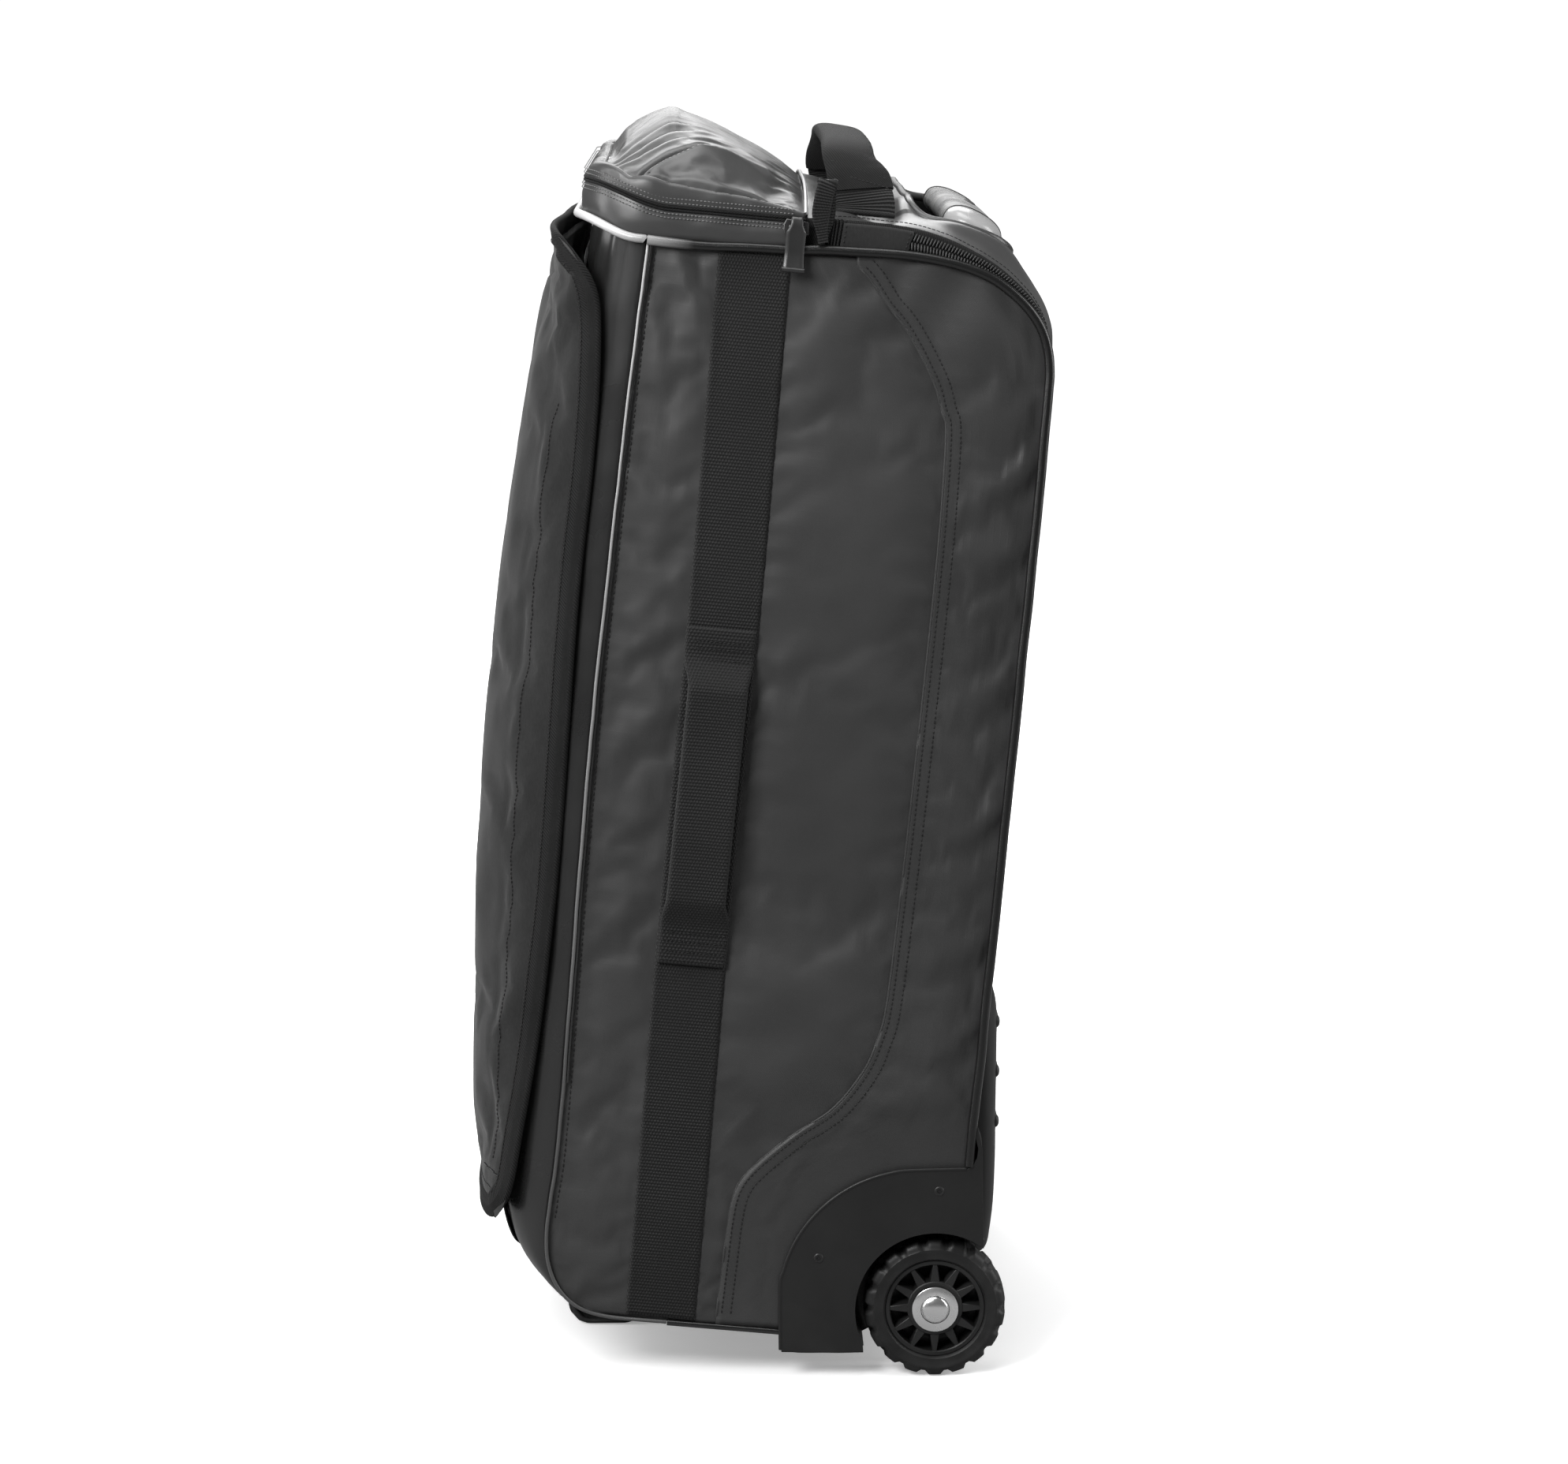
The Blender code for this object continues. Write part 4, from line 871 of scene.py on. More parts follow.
def side_panels():
    contour_edge = offset_path(CONTOUR, -0.0030)
    contour_second = offset_path(CONTOUR, 0.0058)
    top = 0.7015
    front_z = np.concatenate([np.linspace(0.0225, 0.060, 16), np.linspace(0.065, top, 150)])
    lip = 0.0013
    for end, sign in SIDES:
        low = y_at(FRONT_SEAM, front_z)
        grid = side_grid(low, y_at(CONTOUR, front_z) + 0.006, front_z, 60)
        pins = grid_pins(*grid.shape[:2], fade=4)
        sewn = 1 - smoothstep(0.0, 0.006,
                              np.maximum(STRAP[0] + 0.003 - grid[..., 0], grid[..., 0] - STRAP[1] + 0.003))
        pins = np.maximum(pins, sewn)
        near_well = 1 - smoothstep(0.09, 0.13, np.hypot(grid[..., 0] + 0.004, grid[..., 1] - 0.045))
        pins = np.maximum(pins, near_well).ravel()
        front = panel(f"side_front_cloth_{end}", on_side(grid, sign, 0.0), SIDE_CLOTH, 0.0012)
        relax(front, pins, 0.9, 0.010, 0.0032, 0.6)

        # Close rows where the back edge turns over the corner.
        turn = BACK_CORNER[BACK_CORNER[:, 1] > 0.636]
        rows = np.concatenate([np.linspace(0.0225, 0.634, 130), turn[::-1][::3, 1]])
        rows = np.unique(np.round(rows, 5))
        edge = np.minimum(y_at(contour_edge, rows), y_at(BACK_CORNER, rows) - 0.002)
        grid = side_grid(edge, y_at(BACK_CORNER, rows), rows, 36)
        pins = grid_pins(*grid.shape[:2], fade=4, first=4)
        near_well = 1 - smoothstep(0.09, 0.14, np.hypot(grid[..., 0] + 0.004, grid[..., 1] - 0.045))
        pins = np.maximum(pins, near_well).ravel()
        rear = panel(f"side_rear_cloth_{end}", on_side(grid, sign, lip), REAR_CLOTH, 0.0012)
        relax(rear, pins, 0.8, 0.011, 0.0032, 0.6)
        SIDE_SKIN[sign] = tree_of((front, rear))
        for sheet in (front, rear):
            cut_well(sheet)
            give(sheet, "bag", "tarpaulin", f"side_panel_{end}")

        roll = on_side(contour_edge, sign, -0.0004)
        give(sweep(f"side_fold_edge_{end}", roll, round_section(0.0008, 8), REAR_CLOTH), "bag", "tarpaulin")
        for row, path in (("first", CONTOUR), ("second", contour_second)):
            line = on_side(path[2:-2], sign, 0.0)
            give(stitches(f"side_stitch_{row}_{end}", line, (sign, 0, 0), radius=0.42 * MM), "bag",
                 "tarpaulin")
        front_row = offset_path(FRONT_SEAM[2:175], 0.0048)
        line = on_side(front_row, sign, 0.0001)
        give(stitches(f"side_stitch_front_{end}", line, (sign, 0, 0), pitch=3.4 * MM, radius=0.42 * MM),
             "bag", "tarpaulin")


# ---------------------------------------------------------------- front, bottom and lid

FRONT_MIDDLE = spline([(-0.276, 0.706), (-0.279, 0.680), (-0.281, 0.640), (-0.283, 0.560), (-0.284, 0.400),
                       (-0.284, 0.240), (-0.2845, 0.130), (-0.284, 0.100), (-0.2795, 0.075),
                       (-0.2685, 0.052), (-0.2505, 0.035), (-0.232, 0.024), (-0.205, 0.0200),
                       (-0.160, 0.0195), (-0.100, 0.0200), (-0.020, 0.0215), (0.004, 0.022)], 260)
LID_BOX = (-0.152, 0.140, 0.062, 0.672)
CORNER_X = 0.040


def front_grid():
    """Rows go down the front and back under the bottom; columns go from the left seam to the right."""
    left, right, _, _ = LID_BOX
    # The middle and the seam are matched by length: down the front first, then back along the bottom.
    split = int(np.argmax(FRONT_MIDDLE[:, 1] < 0.030))
    seam_split = int(np.argmax(FRONT_SEAM[:, 1] < 0.030))
    front_rows, under_rows = 190, 60
    middle = np.vstack([even(FRONT_MIDDLE[: split + 1], front_rows),
                        even(FRONT_MIDDLE[split:], under_rows)[1:]])
    seam = np.vstack([even(FRONT_SEAM[: seam_split + 1], front_rows),
                      even(FRONT_SEAM[seam_split:], under_rows)[1:]])
    flat_edge = SEAM_X - 0.0015 - CORNER_X
    corner_x = flat_edge + CORNER_X * np.cos(np.radians(np.linspace(0, 86, 16)))
    spread = np.concatenate([-corner_x, np.linspace(-flat_edge, flat_edge, 70), corner_x])
    clear = (np.abs(spread - left) > 0.0008) & (np.abs(spread - right) > 0.0008)
    x = np.sort(np.concatenate([spread[clear], [left, right]]))
    c = np.sqrt(1 - np.clip((np.abs(x) - flat_edge) / CORNER_X, 0, 1) ** 2)
    points = np.zeros((len(middle), len(x), 3))
    points[..., 0] = x
    points[..., 1:] = seam[:, None] + (middle - seam)[:, None] * c[None, :, None]
    crown = np.clip(1 - (x / flat_edge) ** 2, 0, 1) * smoothstep(0.05, 0.2, middle[:, 1])[:, None]
    points[..., 1] -= 0.0022 * crown
    wobble = smooth_noise(points, 13.0, 7.0, 3) * 0.0012
    wobble = wobble + smooth_noise(points * (1, 1, 0.25), 60.0, 2.0, 2) * 0.0005
    normal = grid_normals(points)
    upper = smoothstep(0.60, 0.705, points[..., 2])
    pleats = np.sin(points[..., 0] * 260 + 5 * points[..., 1]) * 0.0013 * upper
    gathers = np.sin(np.arctan2(c, 1.0)[None] * 34 + points[..., 2] * 9) * 0.0016 * upper * (c < 0.999)
    return points + normal * ((wobble + pleats + gathers) * np.minimum(c * 1.2, 1.0))[..., None]


def front_cloth():
    points = front_grid()
    left, right, low, high = LID_BOX

    def in_lid(centre):
        return left < centre[0] < right and low < centre[2] < high and centre[1] < -0.262

    frame_piece = panel("front_cloth", points, GLOSS_CLOTH, 0.0014, keep=lambda c: not in_lid(c)
                        and (abs(c[0]) < 0.15 or clear_of_wheel(c)))
    give(frame_piece, "bag", "gloss_vinyl", "front_frame", "bottom_panel")
    lid = panel("lid_cloth", points + (0, -0.0012, 0), GLOSS_CLOTH, 0.0030, keep=in_lid)
    give(lid, "front_lid", "gloss_vinyl", "front_lid")
    # A padded margin and its stitching round the lid.
    inset = 0.009
    loop = rounded_loop((left + inset, low + inset), (right - inset, high - inset), 0.018)
    path = [(x, y_front(x, z) - 0.0020, z) for x, z in loop]
    give(stitches("lid_stitch", path + path[:1], (0, -1, 0)), "front_lid", "gloss_vinyl")
    edge = rounded_loop((left + 0.0015, low + 0.0015), (right - 0.0015, high - 0.0015), 0.012)
    bind = [(x, y_front(x, z) - 0.0010, z) for x, z in edge]
    give(sweep("lid_binding", bind, round_section(0.0019, 8), TWILL, closed=True), "front_lid", "nylon")


def y_front(x, z):
    """Depth of the front face, which rounds back to the seams at its sides."""
    front = FRONT_MIDDLE[: int(np.argmax(FRONT_MIDDLE[:, 1] < 0.030))][::-1]
    edge = FRONT_SEAM[: int(np.argmax(FRONT_SEAM[:, 1] < 0.030))][::-1]
    flat_edge = SEAM_X - 0.0015 - CORNER_X
    round_off = 1 - math.sqrt(1 - min(max((abs(x) - flat_edge) / CORNER_X, 0.0), 1.0) ** 2)
    middle = float(np.interp(z, front[:, 1], front[:, 0]))
    corner = (float(np.interp(z, edge[:, 1], edge[:, 0])) - middle) * round_off
    return middle + corner - 0.0022 * max(0.0, 1 - (x / 0.14) ** 2) * float(smoothstep(0.05, 0.2, z))


def rounded_loop(low, high, radius, steps=6):
    (x0, z0), (x1, z1) = low, high
    corners = (((x1 - radius, z0 + radius), -90), ((x1 - radius, z1 - radius), 0),
               ((x0 + radius, z1 - radius), 90), ((x0 + radius, z0 + radius), 180))
    points = [p for centre, start in corners for p in arc(centre, radius, start, start + 90, steps)]
    return even(np.vstack([points, points[:1]]), 220)[:-1]


def coil_teeth(name, path, out, width, pitch=1.5 * MM, radius=0.55 * MM, slant=0.25):
    """A nylon coil seen from its face: two rows of loops meeting along the path."""
    total = length_of(path)
    count = int(total / pitch)
    places = even(path, count)
    normals = unit(even(np.broadcast_to(np.asarray(out, float), np.asarray(path).shape), count))
    forward = tangents(places)
    across = unit(np.cross(normals, forward))
    normals = np.cross(forward, across)
    width = even(np.broadcast_to(np.reshape(width, (-1, 1)), (len(path), 1)), count)
    vertices, faces = capsule(1.0, 1.0, 0.0)
    stretched = np.asarray(vertices, float) * (1.0, radius, radius)
    all_places, all_axes = [], []
    for half in (1, -1):
        lean = unit(across * half + forward * slant)
        along = np.cross(normals, lean)
        scale = width / 2
        all_axes.append(np.stack([lean * scale, along, normals], axis=1))
        all_places.append(places + across * half * width / 4 + forward * (pitch / 4) * half)
    return scatter(name, stretched, faces, np.vstack(all_places), np.vstack(all_axes), COIL)


def lid_zip_looks():
    left, _, low, high = LID_BOX
    z0, z1 = low - 0.0125, high + 0.0125
    run, bend = 0.147, 0.018
    upper = [(left + 0.014, z1 - 0.006), (run - bend, z1 - 0.006)]
    lower = [(run - bend, z0 + 0.006), (left + 0.014, z0 + 0.006)]
    corner_high = arc((run - bend, z1 - 0.024), bend, 90, 0, 8)
    corner_low = arc((run - bend, z0 + 0.024), bend, 0, -90, 8)
    path2 = even(np.vstack([upper, corner_high, corner_low, lower]), 520)
    # The tape lies on the front's curve, which turns under at the bottom.
    step = 0.004
    out = unit(np.array([(0.0, -1.0, (y_front(x, z + step) - y_front(x, z - step)) / (2 * step))
                         for x, z in path2]))
    path = np.array([(x, y_front(x, z), z) for x, z in path2]) + out * 0.0010
    tape = sweep("lid_zip_tape", path, tape_section(0.013, 0.0012), TWILL,
                 sides=np.cross(out, tangents(path)))
    flip_if_inward(tape)
    give(tape, "bag", "zip_coil", "lid_zip_chain")
    give(coil_teeth("lid_zip_coil", path + out * 0.0010, out, 0.0056), "bag", "zip_coil")


def slider_body(name, place, look, size=(0.0095, 0.0150, 0.0040)):
    """A zip slider: a waisted shield with side flanges and a bridge. Local X across, Y along, Z out."""
    across, along, high = size
    outline = [(-0.36, -0.5), (0.36, -0.5), (0.46, -0.15), (0.44, 0.12), (0.5, 0.42), (0.2, 0.5),
               (-0.2, 0.5), (-0.5, 0.42), (-0.44, 0.12), (-0.46, -0.15)]
    shape = bmesh.new()
    for low, top in ((0.0, 0.30), (0.62, 0.92)):
        ring = [shape.verts.new((u * across, v * along, low * high)) for u, v in outline]
        face = shape.faces.new(ring)
        lifted = bmesh.ops.extrude_face_region(shape, geom=[face])
        bmesh.ops.translate(shape, verts=[v for v in lifted["geom"] if isinstance(v, bmesh.types.BMVert)],
                            vec=(0, 0, (top - low) * high))
    for u0, u1, v0, v1, w0, w1 in ((-0.12, 0.12, 0.1, 0.5, 0.25, 0.7),
                                   (-0.14, 0.14, -0.34, -0.22, 0.9, 1.25),
                                   (-0.14, 0.14, 0.18, 0.30, 0.9, 1.25),
                                   (-0.14, 0.14, -0.34, 0.30, 1.15, 1.42)):
        centre = ((u0 + u1) / 2 * across, (v0 + v1) / 2 * along, (w0 + w1) / 2 * high)
        extent = ((u1 - u0) * across, (v1 - v0) * along, (w1 - w0) * high, 1)
        matrix = Matrix.Translation(centre) @ Matrix.Diagonal(extent)
        bmesh.ops.create_cube(shape, size=1.0, matrix=matrix)
    bmesh.ops.recalc_face_normals(shape, faces=shape.faces)
    mesh = bpy.data.meshes.new(name)
    shape.to_mesh(mesh)
    shape.free()
    mesh.transform(place)
    obj = bpy.data.objects.new(name, mesh)
    bpy.context.scene.collection.objects.link(obj)
    mesh.materials.append(look)
    soft = obj.modifiers.new("edges", "BEVEL")
    soft.width = 0.0004
    soft.segments = 2
    mesh.shade_smooth()
    mesh.set_sharp_from_angle(angle=math.radians(40))
    return obj


# ---------------------------------------------------------------- storm flap

FLAP_LOW, FLAP_HIGH = 0.076, 0.700
FLAP_LEFT, FLAP_RIGHT = -0.144, 0.179


def flap_front(z):
    return -0.3190 + 0.0200 * ((z - 0.390) / 0.310) ** 2


FREE_EDGE = spline([(-0.299, 0.702), (-0.292, 0.697), (-0.285, 0.688), (-0.274, 0.664), (-0.269, 0.623),
                    (-0.268, 0.573), (-0.2695, 0.499), (-0.269, 0.406), (-0.268, 0.291), (-0.271, 0.206),
                    (-0.274, 0.162), (-0.277, 0.134), (-0.281, 0.094), (-0.288, 0.074)], 120)


def flap_points():
    """The flap's outer face: columns from the hinge to the free edge, rows from the bottom up."""
    columns, rows = 96, 130
    s = np.linspace(0, 1, columns)
    u = 0.35 * s + 0.65 * np.sin(np.pi / 2 * s)
    z = np.linspace(FLAP_LOW, FLAP_HIGH, rows)
    uu, zz = np.meshgrid(u, z)
    front = flap_front(zz)
    free = np.broadcast_to(y_at(FREE_EDGE, z)[:, None], uu.shape)
    hinge = -0.288
    edge = hinge + (free - hinge) * uu
    crown = (1 - (1 - uu) ** 3) * (1 - uu**15)
    y = edge + (front - edge) * crown
    # Rounded free corners, top and bottom.
    reach = np.ones(rows)
    for limit, radius, side in ((FLAP_LOW, 0.020, 1), (FLAP_HIGH, 0.014, -1)):
        depth = np.clip(1 - side * (z - limit) / radius, 0, 1)
        reach = np.minimum(reach, 1 - radius * 0.55 / (FLAP_RIGHT - FLAP_LEFT)
                           * (1 - np.sqrt(1 - depth**2)))
    x = FLAP_LEFT + (FLAP_RIGHT - FLAP_LEFT) * uu * reach[:, None]
    points = np.stack([x, y, zz], axis=-1)
    normal = -grid_normals(points)
    normal = np.where(normal[..., 1:2] - normal[..., 0:1] > 0, -normal, normal)
    rise = 0.0020 * smooth_noise(points * (1, 1, 0.5), 12.0, 4.0, 3)
    rise += 0.0005 * smooth_noise(points * (1, 1, 0.3), 46.0, 9.0, 2)
    # The near side's long soft folds, then the front's.
    creases = (((0.176, 0.684), (0.150, 0.612), 0.0080, 0.0034),
               ((0.172, 0.640), (0.168, 0.520), 0.0070, 0.0022),
               ((0.150, 0.600), (0.172, 0.470), 0.0110, 0.0020),
               ((0.160, 0.420), (0.166, 0.290), 0.0100, 0.0016),
               ((0.172, 0.250), (0.150, 0.130), 0.0090, 0.0020),
               ((0.060, 0.690), (0.040, 0.540), 0.0160, 0.0034),
               ((0.000, 0.500), (0.050, 0.330), 0.0200, 0.0030),
               ((-0.060, 0.640), (-0.030, 0.480), 0.0160, 0.0026),
               ((0.050, 0.300), (-0.010, 0.120), 0.0200, 0.0030),
               ((-0.090, 0.330), (-0.050, 0.160), 0.0160, 0.0026))
    for start, end, width, depth in creases:
        rise += fold(x, zz, start, end, width, depth)
    ends = smoothstep(0, 0.03, np.minimum(zz - FLAP_LOW, FLAP_HIGH - zz))
    edge_fade = smoothstep(0.0, 0.10, uu) * (0.3 + 0.7 * ends)
    points = points + normal * (rise * edge_fade - 0.0006)[..., None]
    # The cloth between the outer panel and the bound margin dips along an inner seam.
    seam_line = np.exp(-(((uu - 0.925) / 0.010) ** 2)) * smoothstep(0.10, 0.16, zz)
    seam_line = seam_line * (1 - smoothstep(0.58, 0.66, zz))
    points = points - normal * (0.0020 * seam_line)[..., None]
    # The top rim curls out like the lip of a cup.
    lip = smoothstep(0.668, 0.700, zz) * smoothstep(0.50, 0.95, uu)
    return points + normal * (0.0045 * lip)[..., None], normal


def storm_flap():
    points, normal = flap_points()
    rows, columns = points.shape[:2]
    outer = panel("flap_outer_cloth", points, NYLON, 0.0)
    relax(outer, grid_pins(rows, columns, low=2, high=2, first=1, last=5, fade=5).ravel(), 0.8, 0.014,
          0.0046, 0.5)
    give(outer, "storm_flap", "nylon", "storm_flap")
    settled = np.array([tuple(BAG.inverted() @ v.co) for v in outer.data.vertices])
    if len(settled) == rows * columns:
        points = settled.reshape(rows, columns, 3)
    inner_points = points - normal * 0.0026
    inner = panel("flap_lining", inner_points[2:-2, 1:-2], NYLON, 0.0006, inward=True)
    give(inner, "storm_flap", "nylon")
    # Twill binding folded over the free edges.
    corner_low = points[0, : columns - 3]
    side = points[4:-4, -1]
    corner_high = points[-1, : columns - 3][::-1]
    edge = np.vstack([corner_low, side, corner_high])
    inward_low = unit(points[4, : columns - 3] - points[0, : columns - 3])
    inward_side = unit(points[4:-4, -8] - points[4:-4, -1])
    inward_high = unit(points[-5, : columns - 3] - points[-1, : columns - 3])[::-1]
    inward = np.vstack([inward_low, inward_side, inward_high])
    count = 420
    path = even(edge, count)
    steps = lengths(edge) / lengths(edge)[-1]
    sides = np.stack([np.interp(np.linspace(0, 1, count), steps, inward[:, k]) for k in range(3)], axis=1)
    for _ in range(10):
        path[1:-1] = (path[:-2] + 2 * path[1:-1] + path[2:]) / 4
        sides[1:-1] = (sides[:-2] + 2 * sides[1:-1] + sides[2:]) / 4
    width = 0.0118
    section = [(-0.0005 + 0.0022 * np.cos(a), 0.0022 * np.sin(a))
               for a in np.radians(np.linspace(90, 270, 9))]
    section += [(width * across, out) for across, out in ((0.4, -0.0022), (0.9, -0.0019), (1.0, -0.0012),
                                                          (1.0, 0.0012), (0.9, 0.0019), (0.4, 0.0022))]
    sides = unit(sides)
    binding = sweep("flap_binding", path, section, BINDING, sides=sides, smooth_angle=60)
    flip_if_inward(binding)
    give(binding, "storm_flap", "nylon")
    out = np.cross(tangents(path), sides)
    out = np.where((out[:, 1] - out[:, 0] * 0.5)[:, None] > 0, -out, out)
    line = path + sides * 0.0098 + out * 0.0021
    give(stitches("flap_binding_stitch", line, out, pitch=2.6 * MM, length=1.9 * MM), "storm_flap", "nylon")
    column = int(np.argmin(np.abs(np.linspace(0, 1, columns) - 0.885)))
    inner_seam = points[8:-22, column] + normal[8:-22, column] * 0.0004
    give(stitches("flap_inner_stitch", inner_seam, normal[8:-22, column], pitch=2.8 * MM, length=2.0 * MM),
         "storm_flap", "nylon")
    across_line = points[3, 4:-3] + normal[3, 4:-3] * 0.0006
    give(stitches("flap_low_stitch", across_line + (0, 0, 0.004), normal[3, 4:-3]), "storm_flap", "nylon")
    row = int(0.030 / (FLAP_HIGH - FLAP_LOW) * rows)
    near = int(0.80 * columns)
    tip_seam = points[row, near:-1] + normal[row, near:-1] * 0.0003
    give(sweep("flap_tip_seam", tip_seam, round_section(0.0006, 6), PIPING), "storm_flap", "nylon")
    # The hinge edge is sewn to the lid with a taped seam.
    hinge = points[::3, 0] + (0.0, 0.0006, 0.0)
    seam = sweep("flap_hinge_tape", hinge, tape_section(0.010, 0.0016), TWILL, sides=(1, 0, 0))
    flip_if_inward(seam)
    give(seam, "front_lid", "nylon")


# ---------------------------------------------------------------- top pocket and rear hump

ZIP_LINE = 0.7200
FRONT_RISE = 0.0115
PLAN_FRONT = -0.2850
PLAN_CORNER = 0.042


def plan_path(inset, back=-0.150, count=240):
    """(x, y) round the top pocket from the right-hand back end, past the front, to the left."""
    x = 0.1815 - inset
    front = PLAN_FRONT + inset
    bend = PLAN_CORNER - inset
    right = arc((x - bend, front + bend), bend, 0, -90, 14)
    knots = np.vstack([[(x, back)], right, right[::-1] * (-1, 1), [(-x, back)]])
    return even(knots, count)


def zip_height(y):
    return ZIP_LINE + FRONT_RISE * smoothstep(-0.232, -0.284, np.asarray(y, float))


def pipe_height(y):
    """Height of the piping under the band: level at the sides and a little higher at the front."""
    return 0.7015 + 0.0085 * smoothstep(-0.256, -0.284, np.asarray(y, float))


def ring_at(inset, rise):
    """The top pocket's zip line, moved in and up."""
    plan = plan_path(inset, -0.150, 300)
    z = zip_height(plan[:, 1]) + rise
    return np.column_stack([plan, z])


def top_band():
    plan = plan_path(0.0, count=300)
    rows = 14
    t = np.linspace(0, 1, rows)[:, None]
    low, high = pipe_height(plan[:, 1]) + 0.0005, zip_height(plan[:, 1]) - 0.0010
    z = low + (high - low) * t
    places = np.stack([np.broadcast_to(plan[:, 0], z.shape), np.broadcast_to(plan[:, 1], z.shape), z * 2],
                      axis=-1)
    belly = 0.0016 * np.sin(np.pi * t) + 0.0008 * smooth_noise(places, 40.0, 3.0)
    out = unit(np.column_stack([np.gradient(plan[:, 1]), -np.gradient(plan[:, 0])]))
    outward = np.where((out * plan).sum(axis=1)[:, None] < 0, -out, out)
    points = np.zeros((rows, len(plan), 3))
    points[..., :2] = plan[None] + outward[None] * belly[..., None]
    points[..., 2] = z
    # A ledge under the piping joins the wall to the cloth below it.
    ledge = [np.column_stack([plan - outward * inset, low - drop])
             for inset, drop in ((0.0170, 0.0060), (0.0090, 0.0030), (0.0020, 0.0006))]
    points = np.concatenate([ledge, points], axis=0)
    give(panel("top_band_cloth", points, TOP_CLOTH, 0.0015), "bag", "tarpaulin", "top_wall")

    out3 = np.column_stack([outward, np.zeros(len(plan))])
    for name, rise, body, node in (("lower", -0.0009, "bag", "top_zip_chain"),
                                   ("upper", 0.0009, "top_flap", None)):
        lip = ring_at(0.0, rise) + out3 * 0.0006
        piece = sweep(f"top_zip_lip_{name}", lip, round_section(0.0008, 8), TWILL)
        give(piece, body, "zip_coil", *([node] if node else []))
    # The stitch rows use the pale top thread, whose paleness is painted highlight.
    for name, rise, body in (("low_one", -0.0032, "bag"), ("low_two", -0.0056, "bag"),
                             ("high_one", 0.0034, "top_flap"), ("high_two", 0.0060, "top_flap")):
        line = ring_at(0.0, rise) + out3 * (0.0016 if rise < 0 else 0.0010)
        row = stitches(f"top_stitch_{name}", line[4:-4], out3[4:-4], TOP_THREAD_PAINTED_HIGHLIGHT, pitch=2.3 * MM,
                       length=1.5 * MM, radius=0.33 * MM)
        give(row, body, "tarpaulin")


# y and height along the top pocket's middle, from the front zip over the peak to the lateral seam
FLAP_MIDDLE = ((-0.2860, 0.7310), (-0.2819, 0.7342), (-0.2741, 0.7451), (-0.2624, 0.7573),
               (-0.2576, 0.7618), (-0.2479, 0.7678), (-0.2406, 0.7715), (-0.2371, 0.7726),
               (-0.2330, 0.7719), (-0.2278, 0.7696), (-0.2074, 0.7629), (-0.1894, 0.7559),
               (-0.1766, 0.7510), (-0.1635, 0.7441), (-0.1531, 0.7377), (-0.1500, 0.7365))


def curve_at(knots, y, column=1):
    """One column of a smooth curve through the knots, read at y, its first column."""
    dense = spline(knots, 400)
    return np.interp(y, dense[:, 0], dense[:, column])


# y and height of the near wall, from the zip up to the crease
WALL = ((-0.285, 0.0105), (-0.265, 0.0120), (-0.255, 0.0135), (-0.242, 0.0155), (-0.2215, 0.0135),
        (-0.206, 0.0118), (-0.189, 0.0105), (-0.171, 0.0078), (-0.158, 0.0052), (-0.150, 0.0035))
TOP_HALF = 0.1812


def inside_plan(x, y):
    """Distance in from the top pocket's outline, and how far round to the front its edge is (0 to 1)."""
    qx = np.abs(x) - (TOP_HALF - PLAN_CORNER)
    qy = (PLAN_FRONT + PLAN_CORNER) - y
    outside = np.hypot(np.maximum(qx, 0), np.maximum(qy, 0))
    inner = np.minimum(np.maximum(qx, qy), 0)
    turn = np.arctan2(np.maximum(qy, 0), np.maximum(qx, 1e-6)) / (np.pi / 2)
    facing = np.where(qx <= 0, np.where(qy > qx, 1.0, 0.0), np.where(qy <= 0, 0.0, turn))
    return PLAN_CORNER - outside - inner, facing


# y, x and z of the fold that runs from the front corner's tuck to the near peak and on to the back
RIDGE = (
    (-0.285, 0.150, 0.7330), (-0.270, 0.160, 0.7335), (-0.2550, 0.173, 0.7340), (-0.2485, 0.168, 0.7395),
    (-0.2368, 0.160, 0.7478), (-0.2253, 0.154, 0.7539), (-0.2156, 0.150, 0.7579), (-0.2040, 0.147, 0.7565),
    (-0.190, 0.142, 0.7525), (-0.178, 0.136, 0.7480), (-0.165, 0.128, 0.7420), (-0.150, 0.120, 0.7331),
)


